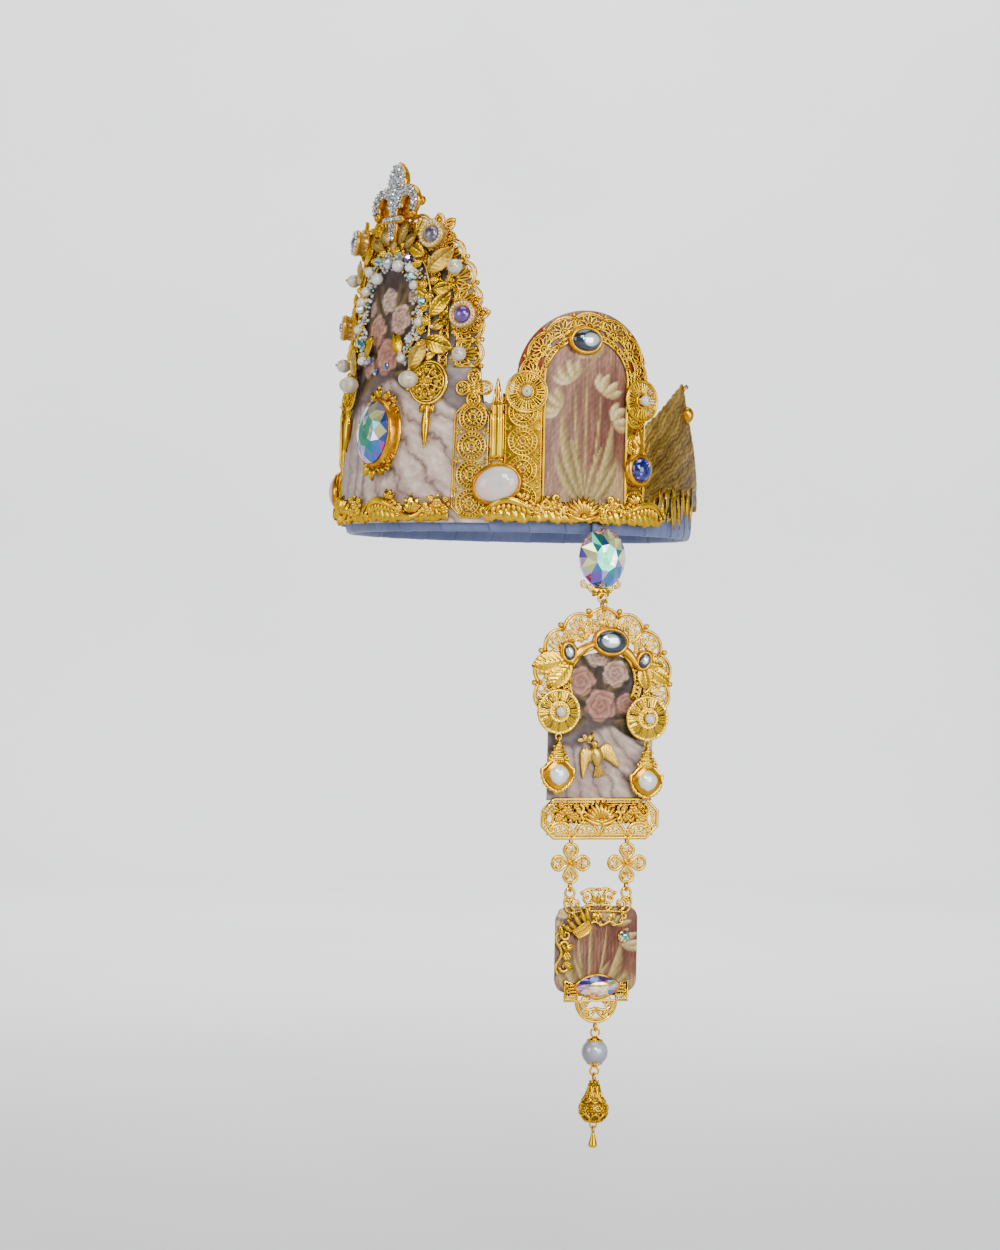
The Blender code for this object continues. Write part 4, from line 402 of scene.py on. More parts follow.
# Each finish: ramp of colours, then how it is driven and the shader's own values
# Where a finish weighs in the painted light and shade kept on the mesh, its ramp's dark end is painted
# shade and its pale end painted highlight
FINISHES = {
    "gilt": dict(ramp=GOLD, noise=260, deep=0.5, rough=(0.16, 0.34), metal=1.0, bump=0.05, grain=2600,
        fixed={"Specular Tint": GILT_EDGE}),
    "cast_gilt": dict(ramp=GOLD, noise=160, deep=0.7, rough=(0.10, 0.26), metal=1.0, bump=0.04, grain=1500,
        fixed={"Specular Tint": GILT_EDGE}),
    "polished_gilt": dict(ramp=GOLD[1:], noise=120, deep=0.5, rough=(0.07, 0.16), metal=1.0, bump=0.02,
        grain=1200, fixed={"Specular Tint": GILT_EDGE}),
    "rough_bronze": dict(ramp=((0.0, (0.045, 0.020, 0.003)), (0.5, (0.29, 0.165, 0.026)),
        (1.0, (0.76, 0.51, 0.11))), noise=900, deep=0.65, rough=(0.28, 0.46), metal=1.0, bump=0.3,
        grain=1800),
    "ribbon": dict(ramp=((0.0, (0.022, 0.034, 0.085)), (0.45, (0.075, 0.100, 0.225)),
        (1.0, (0.16, 0.195, 0.36))), noise=40, deep=0.65, rough=(0.5, 0.75), bump=0.25, grain=2400,
        stretch=(1, 1, 0.12), fixed={"Sheen Weight": 0.25, "Sheen Roughness": 0.4}),
    "lining_and_hole_shade": dict(ramp=((0.0, (0.10, 0.08, 0.07)), (1.0, (0.19, 0.155, 0.135))), noise=700, rough=(0.8,
        0.95), bump=0.4, grain=3000, fixed={"Sheen Weight": 0.2}),
    "picture": dict(ramp=((0.0, (0.80, 0.78, 0.77)), (1.0, (1.0, 1.0, 1.0))), noise=500, painted=True,
        rough=(0.5, 0.65), bump=0.10, grain=2200, stretch=(1, 1, 0.3), fixed={"Specular IOR Level": 0.25}),
    "amber": dict(ramp=((0.0, (0.26, 0.105, 0.001)), (0.5, (0.54, 0.245, 0.002)),
        (1.0, (0.80, 0.43, 0.012))), noise=260, rough=(0.16, 0.30), metal=0.80, bump=0.06, grain=700,
        fixed={"Coat Weight": 0.10, "Coat Roughness": 0.10, "Specular Tint": (1.0, 0.6, 0.15, 1.0)}),
    "peach_resin": dict(ramp=((0.0, (0.36, 0.16, 0.004)), (0.6, (0.64, 0.35, 0.03)),
        (1.0, (0.80, 0.52, 0.10))), noise=400, rough=(0.2, 0.32), metal=0.60, bump=0.05,
        fixed={"Coat Weight": 0.15}),
    "pearl": dict(ramp=((0.0, (0.42, 0.37, 0.31)), (0.5, (0.58, 0.54, 0.49)), (1.0, (0.76, 0.74, 0.70))),
        noise=160, tone=0.4, rough=(0.14, 0.22), metal=0.15, bump=0.02, fixed={"Coat Weight": 1.0,
        "Coat Roughness": 0.03, "Thin Film Thickness": 420.0, "Thin Film IOR": 1.36}),
    "white_cabochon": dict(ramp=((0.0, (0.42, 0.43, 0.45)), (0.5, (0.66, 0.66, 0.65)),
        (1.0, (0.92, 0.92, 0.90))), noise=220, deep=0.6, rough=(0.08, 0.16), metal=0.2, bump=0.02,
        fixed={"Coat Weight": 1.0, "Coat Roughness": 0.03}),
    "dull_gilt": dict(ramp=((0.0, (0.10, 0.050, 0.004)), (0.5, (0.50, 0.29, 0.028)),
        (1.0, (0.88, 0.60, 0.12))), noise=500, deep=0.6, rough=(0.24, 0.40), metal=1.0, bump=0.2,
        grain=2400),
    "cream_pearl": dict(ramp=((0.0, (0.34, 0.27, 0.16)), (1.0, (0.66, 0.58, 0.42))), noise=300, deep=0.5,
        rough=(0.16, 0.3), bump=0.02, fixed={"Coat Weight": 0.9, "Coat Roughness": 0.08}),
    # Blue pearl: its pale aqua top stop is the painted highlight's colour
    "blue_pearl": dict(ramp=((0.0, (0.19, 0.17, 0.21)), (0.5, (0.36, 0.37, 0.43)),
        (1.0, (0.46, 0.86, 0.86))), noise=60, deep=0.85, rough=(0.16, 0.24), metal=0.2, bump=0.02,
        grain=700, fixed={"Coat Weight": 1.0, "Coat Roughness": 0.06, "Thin Film Thickness": 520.0}),
    "opal": dict(ramp=((0.0, (0.52, 0.47, 0.48)), (0.35, (0.56, 0.54, 0.51)), (0.62, (0.72, 0.48, 0.43)),
        (0.8, (0.58, 0.56, 0.53)), (1.0, (0.68, 0.62, 0.52))), noise=90, rough=(0.08, 0.16), bump=0.01,
        grain=500, fixed={"Coat Weight": 1.0, "Coat Roughness": 0.05, "Thin Film Thickness": 380.0}),
    "aurora_and_painted_light": dict(ramp=AURORA_AND_PAINTED_LIGHT, noise=170, tone=0.90, deep=0.08, rough=(0.03, 0.08), metal=0.8,
        fixed={"Coat Weight": 1.0, "Coat Roughness": 0.02}),
    # Clear and aqua crystal: each facet takes one flat step of the ramp at random, dark or pale, as painted
    # reflections of a see-through stone; the aqua's teal hue is its own colour
    "clear_crystal": dict(ramp=((0.0, (0.20, 0.22, 0.24)), (0.4, (0.62, 0.66, 0.68)),
        (1.0, (0.95, 0.97, 0.98))), noise=200, tone=1.0, flat_ramp=True, rough=(0.03, 0.10), metal=0.7,
        fixed={"Coat Weight": 1.0, "Coat Roughness": 0.02}),
    "aqua_crystal": dict(ramp=((0.0, (0.02, 0.14, 0.17)), (0.4, (0.10, 0.42, 0.44)),
        (0.7, (0.45, 0.72, 0.74)), (1.0, (0.85, 0.92, 0.95))), noise=200, tone=1.0, flat_ramp=True,
        rough=(0.04, 0.1), metal=0.5, fixed={"Coat Weight": 1.0}),
    "amethyst": dict(ramp=((0.0, (0.012, 0.004, 0.03)), (0.5, (0.09, 0.03, 0.22)),
        (1.0, (0.34, 0.22, 0.72))), noise=240, tone=0.5, rough=(0.04, 0.1), metal=0.3,
        fixed={"Coat Weight": 1.0}),
    "lilac_stone": dict(ramp=((0.0, (0.015, 0.015, 0.02)), (0.5, (0.10, 0.09, 0.13)),
        (1.0, (0.48, 0.43, 0.58))), noise=330, rough=(0.04, 0.12), metal=0.35, fixed={"Coat Weight": 1.0,
        "Coat Roughness": 0.03}),
    # Mirror stone: its pale stops are a painted white reflection over the stone's dark steel-blue
    "mirror_stone": dict(ramp=((0.0, (0.010, 0.020, 0.032)), (0.44, (0.03, 0.05, 0.072)),
        (0.53, (0.50, 0.57, 0.63)), (1.0, (0.93, 0.95, 0.97))), noise=120, deep=0.9, rough=(0.03, 0.06),
        metal=0.5, fixed={"Coat Weight": 1.0}),
    "cobalt": dict(ramp=((0.0, (0.001, 0.002, 0.010)), (0.44, (0.003, 0.006, 0.08)),
        (0.60, (0.008, 0.018, 0.36)), (0.72, (0.015, 0.012, 0.18)), (0.78, (0.80, 0.58, 0.16)),
        (1.0, (0.95, 0.82, 0.45))), noise=560, rough=(0.05, 0.14), metal=0.1, fixed={"Coat Weight": 0.6,
        "Coat Roughness": 0.03}),
    "backdrop": dict(ramp=((0.0, (0.60, 0.605, 0.62)), (1.0, (0.66, 0.665, 0.675))), noise=3, rough=(0.7,
        0.85), bump=0.02, grain=200),
    "black_foil": dict(ramp=((0.0, (0.006, 0.006, 0.006)), (0.8, (0.03, 0.024, 0.012)),
        (1.0, (0.5, 0.34, 0.06))), noise=420, rough=(0.1, 0.3), metal=0.8, bump=0.05),
    "russet": dict(ramp=((0.0, (0.20, 0.045, 0.012)), (1.0, (0.42, 0.13, 0.05))), noise=400, rough=(0.3,
        0.5), bump=0.1),
}


def material(name):
    """Principled finish: noise, face tone and painted light and shade pick a colour from its ramp."""
    made = bpy.data.materials.get("crown_" + name)
    if made:
        return made
    how = FINISHES[name]
    chosen = getattr(bpy.context.scene.crown_colours, name, how["ramp"][-1][1])
    tint = array(chosen) / how["ramp"][-1][1]
    made = bpy.data.materials.new("crown_" + name)
    made.use_nodes = True
    nodes, links = made.node_tree.nodes, made.node_tree.links
    shader = nodes["Principled BSDF"]
    where = nodes.new("ShaderNodeTexCoord").outputs["Object"]

    def noise(scale, stretch=(1, 1, 1), detail=4.0):
        """Noise of one scale over the object's place."""
        mapping = nodes.new("ShaderNodeMapping")
        mapping.inputs["Scale"].default_value = stretch
        texture = nodes.new("ShaderNodeTexNoise")
        texture.inputs["Scale"].default_value = scale
        texture.inputs["Detail"].default_value = detail
        links.new(where, mapping.inputs["Vector"])
        links.new(mapping.outputs["Vector"], texture.inputs["Vector"])
        return texture.outputs["Fac"]

    def math(kind, *values):
        """One sum of numbers or sockets."""
        node = nodes.new("ShaderNodeMath")
        node.operation = kind
        for socket, value in zip(node.inputs, values):
            if isinstance(value, float):
                socket.default_value = value
            else:
                links.new(value, socket)
        return node.outputs[0]

    def attribute(title, output="Fac"):
        """Value kept on the mesh under a name."""
        node = nodes.new("ShaderNodeAttribute")
        node.attribute_name = title
        return node.outputs[output]

    tone, deep = how.get("tone", 0.0), how.get("deep", 0.0)
    spread = math("MULTIPLY_ADD", math("SUBTRACT", noise(how["noise"], detail=3.0), 0.5), 1.7, 0.5)
    pick = math("MULTIPLY", spread, 1.0 - tone - deep)
    if tone:
        pick = math("MULTIPLY_ADD", attribute("tone"), tone, pick)
    # Painted light and shade kept on the mesh moves the pick toward the ramp's pale or dark end
    if deep:
        pick = math("MULTIPLY_ADD", attribute("deep"), deep, pick)
    ramp = nodes.new("ShaderNodeValToRGB")
    ramp.color_ramp.interpolation = "CONSTANT" if how.get("flat_ramp") else "LINEAR"
    stops = how["ramp"]
    while len(ramp.color_ramp.elements) < len(stops):
        ramp.color_ramp.elements.new(0.5)
    for element, (at, colour) in zip(ramp.color_ramp.elements, stops):
        element.position = at
        element.color = (*(tint * colour), 1.0)
    links.new(pick, ramp.inputs["Fac"])
    colour = ramp.outputs["Color"]
    if how.get("painted"):
        mix = nodes.new("ShaderNodeMix")
        mix.data_type = "RGBA"
        mix.blend_type = "MULTIPLY"
        mix.inputs["Factor"].default_value = 1.0
        links.new(attribute("paint", "Color"), mix.inputs["A"])
        links.new(colour, mix.inputs["B"])
        colour = mix.outputs["Result"]
    links.new(colour, shader.inputs["Base Color"])
    low, high = how["rough"]
    spread = math("SUBTRACT", noise(how["noise"] * 2.3), 0.5)
    links.new(math("MULTIPLY_ADD", spread, 2.0 * (high - low), (low + high) / 2),
        shader.inputs["Roughness"])
    shader.inputs["Metallic"].default_value = how.get("metal", 0.0)
    for title, value in how.get("fixed", {}).items():
        shader.inputs[title].default_value = value
    if "bump" in how:
        bump = nodes.new("ShaderNodeBump")
        bump.inputs["Strength"].default_value = how["bump"]
        bump.inputs["Distance"].default_value = 0.0004
        links.new(noise(how.get("grain", 900), how.get("stretch", (1, 1, 1))), bump.inputs["Height"])
        links.new(bump.outputs["Normal"], shader.inputs["Normal"])
    return made


# Ornament shared by several pieces
def band_layout(outer, inner):
    """Lay (share along, share across) on a band between two edges, even along its middle line."""
    outer, inner = (concatenate((2 * e[:1] - e[1:2], e, 2 * e[-1:] - e[-2:-1])) for e in (outer, inner))
    middle = (outer + inner) / 2
    run = concatenate(((0.0,), np.cumsum(np.linalg.norm(np.diff(middle, axis=0), axis=1))))
    run = (run - run[1]) / (run[-2] - run[1])

    def lay(p):
        """Point between the two edges at its share along and across."""
        rows = interp(p[..., 0], run, arange(len(run)))
        near, far = (vec(*(interp(rows, arange(len(run)), e[:, i]) for i in (0, 1)), 0.0) for e in (inner,
            outer))
        return near + (far - near) * p[..., 1:2] + p[..., 2:] * array((0, 0, 1.0))
    length = np.linalg.norm(np.diff(middle[1:-1], axis=0), axis=1).sum()
    depth = np.linalg.norm(outer - inner, axis=1).mean()
    return lay, length, depth


def round_band(y, inner, outer, start, end):
    """Edges of a band between two circles about (0, y), from one angle to another."""
    a = radians(span(start, end, 121))
    ring = stack((cos(a), sin(a)), 1)
    return ring * outer + (0, y), ring * inner + (0, y)


def squared_arch(top, half_turn):
    """Half of a squared oval on two short legs, from its right foot to its left."""
    a = radians(span(0, 180, 181))
    x = radians(half_turn) * WALL * np.abs(cos(a)) ** ARCH_POWER * np.sign(cos(a))
    y = ARCH_SPRING + (top - ARCH_SPRING) * sin(a) ** ARCH_POWER
    legs = span(ARCH_FOOT, ARCH_SPRING, 9)[:-1]
    return concatenate((stack((0 * legs + x[0], legs), 1), stack((x, y), 1),
        stack((0 * legs + x[-1], legs[::-1]), 1)))


def lace_cell(w, d):
    """Wires of one scallop of lace, w wide and d in depth: path, share of the thickness, closed."""
    mid = w / 2
    made = [(bow(0, d * .83, w, d * .83, d * .155, 15), 1.15, False),
        (bow(w * .05, d * .79, w * .95, d * .79, d * .125, 13), .75, False),
        (bow(0, d * .38, 0, d * .83, 0, 4), .9, False), (bow(0, d * .40, mid, d * .30, d * .05, 7), .95,
        False), (bow(mid, d * .30, w, d * .40, d * .05, 7), .95, False), (bow(0, d * .20, w, d * .20, 0, 5),
        .8, False), (bow(0, d * .03, w, d * .03, 0, 5), 1.4, False)]
    for lie in (8, 35, 62, 90, 118, 145, 172):
        a = radians(lie)
        along, up = w * .45 * cos(a), d * .47 * sin(a)
        reach = hypot(along, up)
        aim = degrees(arctan2(up, along))
        made.append((oval(mid + along * .64, d * .43 + up * .64, reach * .34, w * .062, aim, 11), .9, True))
    for lie in (205, 238, 302, 335):
        a = radians(lie)
        made.append((oval(mid + w * .22 * cos(a), d * .43 + d * .12 * sin(a), w * .10, w * .045, lie, 8),
            .85, True))
    for x in (w * .06, w * .94):
        made.append((oval(x, d * .66, w * .05, d * .10, count=8), .8, True))
        made.append((oval(x, d * .49, w * .05, d * .06, count=7), .8, True))
    made.append((oval(mid, d * .43, w * .07, w * .07, count=8), .95, True))
    for index in range(4):
        made.append((oval(w * (index + .5) / 4, d * .115, w * .105, d * .062, count=8), .85, True))
    return made


def lace(pile, edges, cells, wire, z=0.0):
    """Lace of repeated scallops: the paths of one cell are copied along the band as wires."""
    lay, length, depth = band_layout(*edges)
    wide = length / cells
    scale = array((1 / length, 1 / depth, 1.0))
    shift = arange(cells)[:, None, None] * array((wide, 0.0, 0.0))
    for path, share, shut in lace_cell(wide, depth):
        flat = lay((path[None] + shift) * scale)
        flat[..., 2] = z
        pile.wire(flat, wire * share, shut=shut, flat=1.15)
    knots = lay(vec(arange(cells + 1) / cells, 0.95, z + wire * 0.5))
    pile.add(balls(knots[:, 0], knots[:, 1], knots[:, 2], wire * 2.2, 6, 8))
    seeds = lay(vec((arange(cells) + 0.5) / cells, 0.58, z + wire))
    pile.add(balls(seeds[:, 0], seeds[:, 1], seeds[:, 2], wire * 1.5, 5, 8))


def rosettes(pile, x, y, r, z=0.0):
    """Round stamped rosettes: milled rim, plain ring, hub ring and pairs of scrolls."""
    x, y = np.broadcast_arrays(np.asarray(x, float), y)
    pile.wire(oval(x, y, r * .97, count=32, z=z), .54, shut=True)
    pile.wire(oval(x, y, r * .68, count=28, z=z + .1), .52, shut=True)
    pile.wire(oval(x, y, r * .19, count=12, z=z + .1), .50, shut=True)
    a = circle(24)
    c, s = cos(a), sin(a)
    x, y = x[..., None], y[..., None]
    pile.wire(bow(x + r * .68 * c, y + r * .68 * s, x + r * .98 * c, y + r * .98 * s, 0, 2, z), .40,
        sides=4)
    lies = arange(4) * 90.0
    for way in (-1, 1):
        a = radians(lies + way * 23)
        pile.wire(curl(*around(r * .45, a, x, y), r * .17, lies + way * 110, way * 300, .35, 9, z), .44)
    a = radians(lies + 45)
    pile.wire(bow(*around(r * .2, a, x, y), *around(r * .66, a, x, y), 0, 3, z), .38)
    a = radians(lies)
    pile.wire(bow(*around(r * .36, a - .5, x, y), *around(r * .36, a + .5, x, y), -r * .08, 5, z), .34)


def octagon(left, right, low, high, cut, z=0.0):
    """Corners of a rectangle whose corners are cut off."""
    points = ((left + cut, low), (right - cut, low), (right, low + cut), (right, high - cut),
        (right - cut, high), (left + cut, high), (left, high - cut), (left, low + cut))
    return array([(x, y, z) for x, y in points], float)


def flower(pile, x, y, r, z=0.0, turn=0.0, wire=.42):
    """Four-lobed flower of wire: a lobe holds two scrolls and beads, with a rayed boss inside."""
    lies = turn + arange(4) * 90.0
    a = radians(lies)
    c, s = cos(a), sin(a)
    pile.wire(oval(x + r * .62 * c, y + r * .62 * s, r * .36, r * .35, lies, 22, z), wire * 1.2, shut=True)
    for way in (-1, 1):
        b = radians(lies + way * 12)
        pile.wire(curl(*around(r * .74, b, x, y), r * .12, lies + 90 * way, way * 360, .4, 14, z),
            wire * .85)
        pile.wire(bow(*around(r * .18, b, x, y), *around(r * .62, b + way * .1, x, y), -way * r * .03, 6,
            z), wire * .9)
    pile.add(balls(x + r * .52 * c, y + r * .52 * s, z + .25, r * .085, 6, 8))
    pile.add(balls(x + r * .90 * c, y + r * .90 * s, z + .2, r * .07, 6, 8))
    pile.add(copies(leaf(r * .40, r * .19, .35, 2, 7, 7, .3, .05), x + 0 * lies, y, lies, z))
    pile.add(copies(leaf(r * .40, r * .19, .3, 2, 7, 7, .3, .05), x + 0 * lies, y, lies + 45, z))
    pile.add(balls(x, y, z + .5, r * .13, 7, 12))


def stone(pile, half, depth, finish, bezel=1.5, rim="amber", seat=0.42, sides=40, glow=.20):
    """Domed oval stone in a rounded resin bezel; the bezel's lip folds over the girdle."""
    z = depth * seat
    pile.add(turned(half, ((0, 0, 0), (1, bezel, 0), (1, bezel * 1.05, z * .35), (1, bezel * .8, z * .8),
        (1, bezel * .35, z * 1.12), (1, -.25, z * 1.05), (.9, 0, z * .6), (0, 0, z * .5)), sides), rim)
    a = radians(span(0, 90, 9))
    rows = [(0, 0, z * .55), (1, -.1, z * .55)]
    rows += [(cos(t) ** .9, -.1 * (cos(t) > .1), z * .75 + (depth - z * .75) * sin(t)) for t in a]
    grid = turned(half, rows, sides)
    # Painted highlight: a bright oval a little off the middle, fading toward the girdle; the mirror stone's
    # finish turns it into a painted white reflection
    deep = 1.06 - hypot(grid[..., 0] / half[0] - glow, grid[..., 1] / half[1] - .06)
    pile.add(grid, finish, deep=clip(deep, 0, 1))


def gem(pile, half, base, top, finish="aurora_and_painted_light", table=.50, n=8, place=None, warm=False):
    """Brilliant: table, star, kite and girdle facets between rings of n and 2n points."""
    def ring(share, z, shift=0.0, count=n):
        """Oval of points at a share of the half sizes."""
        a = (arange(count) + shift) * 2 * pi / count
        return vec(half[0] * share * cos(a), half[1] * share * sin(a), z)
    rise = top - base
    rings = (vec(0, 0, top + rise * .03)[None], ring(table * .52, top + rise * .02, .5), ring(table, top),
        ring(.78, base + rise * .72, .5), ring(1.0, base + rise * .30, 0, 2 * n), ring(.97, base, 0, 2 * n),
        vec(0, 0, base)[None])
    mid, star, flat, kite, girdle, belt, foot = np.cumsum([0] + [len(r) for r in rings])[:7]
    j, edge = arange(n), arange(2 * n)
    after, before, follow = (j + 1) % n, (j - 1) % n, (edge + 1) % (2 * n)
    even, odd, later = girdle + 2 * j, girdle + 2 * j + 1, girdle + 2 * after
    corners = ((mid + 0 * j, star + j, star + after, star + after), (star + j, flat + after, star + after,
        star + after), (star + j, flat + j, flat + after, flat + after), (flat + j, kite + j, flat + after,
        flat + after), (flat + j, kite + before, even, kite + j), (kite + j, even, odd, odd),
        (kite + j, odd, later, later), (girdle + edge, belt + edge, belt + follow, girdle + follow),
        (belt + edge, foot + 0 * edge, belt + follow, belt + follow))
    faces = concatenate([stack(corner, 1) for corner in corners])
    hues = WARM_HUES if warm else COOL_HUES
    tones = concatenate([pile.rng.choice(row, len(corner[0])) for row, corner in zip(hues, corners)])
    pile.solid(concatenate(rings)[None], faces, finish, place, tone=tones, smooth=False)


# Painted sheets
def over(image, colour, mask):
    """Lay a colour over an image by a mask of 0 to 1."""
    return image + (np.asarray(colour) - image) * mask[..., None]


def bloom(image, x, y, cx, cy, r, dark, light, seed=0.0):
    """Painted rose: petals wind in as a spiral, light at each petal's lip and dark at its foot."""
    d, a = hypot(x - cx, y - cy) / r, arctan2(y - cy, x - cx)
    whorl = (a / (2 * pi) + 2.7 * d ** .8 + .16 * sin(5 * a + 7 * d + seed)) % 1
    share = (.15 + .85 * whorl ** .8) * (.62 + .38 * clip(d, 0, 1))
    colour = np.asarray(dark) + (np.asarray(light) - dark) * share[..., None]
    edge = 1 + .07 * sin(5 * a + seed) + .04 * sin(9 * a + 2 * seed)
    return over(image, colour, step(edge, edge - .10, d))


def blade(image, x, y, start, end, half, bend, dark, light):
    """Painted leaf: a lens between two points, lighter on one side of its midrib."""
    dx, dy = end[0] - start[0], end[1] - start[1]
    size = hypot(dx, dy)
    t = ((x - start[0]) * dx + (y - start[1]) * dy) / size ** 2
    inside = clip(t, 0, 1)
    aside = ((y - start[1]) * dx - (x - start[0]) * dy) / size - 4 * bend * inside * (1 - inside)
    width = half * sin(pi * inside) ** .8
    share = clip(.5 + .4 * np.tanh(2.5 * aside / half) + .10 * cos(2 * pi * (6 * t - np.abs(aside) / half)),
        0, 1)
    colour = np.asarray(dark) + (np.asarray(light) - dark) * share[..., None]
    return over(image, colour, step(0, .3 * half, width - np.abs(aside)) * (t > 0) * (t < 1))


def garden_painting(x, y, scale=1.0):
    """Roses with dark leaves on a clouded ground, over satin folds that fan from a gather."""
    x, y = x / scale, y / scale
    cloud = mottle(x, y, 46, 3)
    image = over(np.zeros(x.shape + (3,)), (.30, .25, .255), 1 + 0 * x)
    image = over(image, (.46, .40, .39), step(.35, .75, cloud))
    image = over(image, (.16, .11, .095), step(.62, .25, mottle(x, y, 30, 8)) * step(40, 90, y) * .8)
    around = step(31, 12, hypot((x - 1) * 1.15, (y - 92) * .85))
    image = over(image, (.075, .042, .034), around * .92)
    turn = arctan2(y - 88, x + 20) + .09 * mottle(x, y, 40, 5)
    phase = turn * 6.3 + .55 * mottle(x, y, 30, 5) + .16 * mottle(x, y, 9, 6)
    fold = np.abs(sin(pi * phase)) ** .75
    fine = np.abs(sin(pi * (turn * 17 + .8 * mottle(x, y, 22, 15)))) ** .8
    light = clip(.78 * fold + .22 * fine, 0, 1)
    cloth = array((.26, .17, .15)) + (array((.82, .69, .60)) - (.26, .17, .15)) * light[..., None]
    cloth = over(cloth, (.56, .40, .36), step(.45, .8, mottle(x, y, 34, 9)) * .5)
    cloth = over(cloth, (.17, .12, .115), step(.28, .02, fold) * .6)
    cloth = over(cloth, (.40, .33, .32), step(-6, -34, x) * .6)
    hem = 60 + 7 * sin(x / 15 + .4) + 6 * mottle(x, y, 25, 2) - .28 * np.maximum(x - 18, 0)
    image = over(image, cloth, step(hem, hem - 4, y))
    image = over(image, (.14, .09, .08), step(4.5, 0, np.abs(y - hem + 1)) * .45)
    for start, end, half, bend in (((0, 78), (-20, 101), 5.0, 2), ((2, 80), (19, 104), 5.0, -2),
            ((0, 76), (-25, 82), 4.6, 2), ((2, 74), (26, 78), 4.6, -2), ((0, 84), (-8, 114), 4.2, 1),
            ((3, 84), (8, 113), 4.2, -1), ((-4, 72), (-22, 60), 4.4, -2), ((6, 70), (24, 60), 4.4, 2),
            ((0, 90), (-16, 112), 3.4, 2), ((2, 90), (17, 114), 3.4, -2)):
        image = blade(image, x, y, start, end, half, bend, (.040, .030, .018), (.30, .215, .10))
    for cx, cy, r, seed, pale in ((-14, 74, 5.2, 3.1, (.74, .52, .44)), (15, 79, 5.4, 0.4, (.72, .44, .36)),
            (-1, 103, 6.0, 5.2, (.84, .70, .58)), (-9.5, 90, 7.6, 1.0, (.80, .50, .38)),
            (9, 94, 7.0, 2.4, (.84, .66, .54)), (1.5, 78, 8.4, 4.0, (.80, .47, .37)),
            (-16, 100, 3.6, 2.2, (.78, .58, .50)), (17, 104, 3.4, 1.7, (.80, .62, .54))):
        image = bloom(image, x, y, cx, cy, r, (.26, .10, .075), pale, seed)
    weave = .97 + .03 * sin(2 * pi * x / .9) * sin(2 * pi * y / .9)
    return image * ((.88 + .24 * mottle(x, y, 4, 12)) * weave)[..., None]


def lily_painting(x, y, height=62.0):
    """Pale bell flowers on tall stems, on a dusky rose ground with an upright grain."""
    x, y = x * 62 / height, y * 62 / height
    grain = mottle(x * 10, y * .45, 16, 21, 6)
    image = over(np.zeros(x.shape + (3,)), (.36, .205, .145), 1 + 0 * x)
    image = over(image, (.44, .30, .25), step(4, -16, x + 6 * mottle(x, y, 20, 4)))
    image = over(image, (.25, .105, .070), step(3, 17, x + 8 * mottle(x, y, 24, 7)) * .75)
    image = over(image, (.50, .34, .27), step(40, 62, y + 6 * mottle(x, y, 20, 9)) * .7)
    image = over(image, (.64, .50, .31), step(16, -6, y - .5 * x + 5 * mottle(x, y, 14, 2)) * .85)
    image = image * (.66 + .66 * grain)[..., None]
    dark, light = (.30, .235, .10), (.68, .56, .29)
    for start, end, half, bend in (((0, -8), (-11, 36), 2.6, 3), ((1, -8), (12, 31), 2.6, -3),
            ((0, -8), (-5.5, 47), .75, 1.5), ((0, -8), (6.2, 42), .75, -1.5), ((0, -8), (.5, 56), .8, .6),
            ((-1, -8), (-14, 17), 2.4, 2), ((2, -8), (15, 14), 2.4, -2), ((0, -8), (-8, 24), 1.6, -1),
            ((0, -8), (8, 20), 1.6, 1)):
        image = blade(image, x, y, start, end, half, bend, dark, light)
    pale, foot = (.86, .76, .50), (.44, .32, .14)
    for cx, cy, lie in ((-6.5, 46, 122), (7, 41, 54), (0.5, 56, 92), (-11.5, 34, 152), (12, 29, 26)):
        for fan in (-44, 44, -15, 15):
            a = radians(lie + fan)
            image = blade(image, x, y, (cx, cy), around(10, a, cx, cy), 2.3, .9 * np.sign(fan), foot, pale)
    image = over(image, (.40, .10, .035), step(-19.6, -20.4, x) + step(19.4, 20.2, x))
    weave = .96 + .04 * sin(2 * pi * x / .8) * sin(2 * pi * y / .8)
    speck = .85 + .55 * mottle(x, y, 1.3, 31, 2)
    return .92 * image ** 1.2 * (weave * speck)[..., None]


def painted_sheet(pile, x, low, high, thick, painting, rows):
    """Sheet between a low and a high edge over each x: even rows, coloured by a painting."""
    share = span(0, 1, rows)[:, None]
    y = low + (high - low) * share
    top = vec(x[None] + 0 * y, y, thick)
    colour = painting(top[..., 0], top[..., 1])
    pile.add(shell(top, thick, 6), "picture", paint=shell(colour ** 1.3, 0, 6), back="lining_and_hole_shade")


# The crown's wall
def plain(p):
    """Place in the crown's own frame."""
    return p * MM


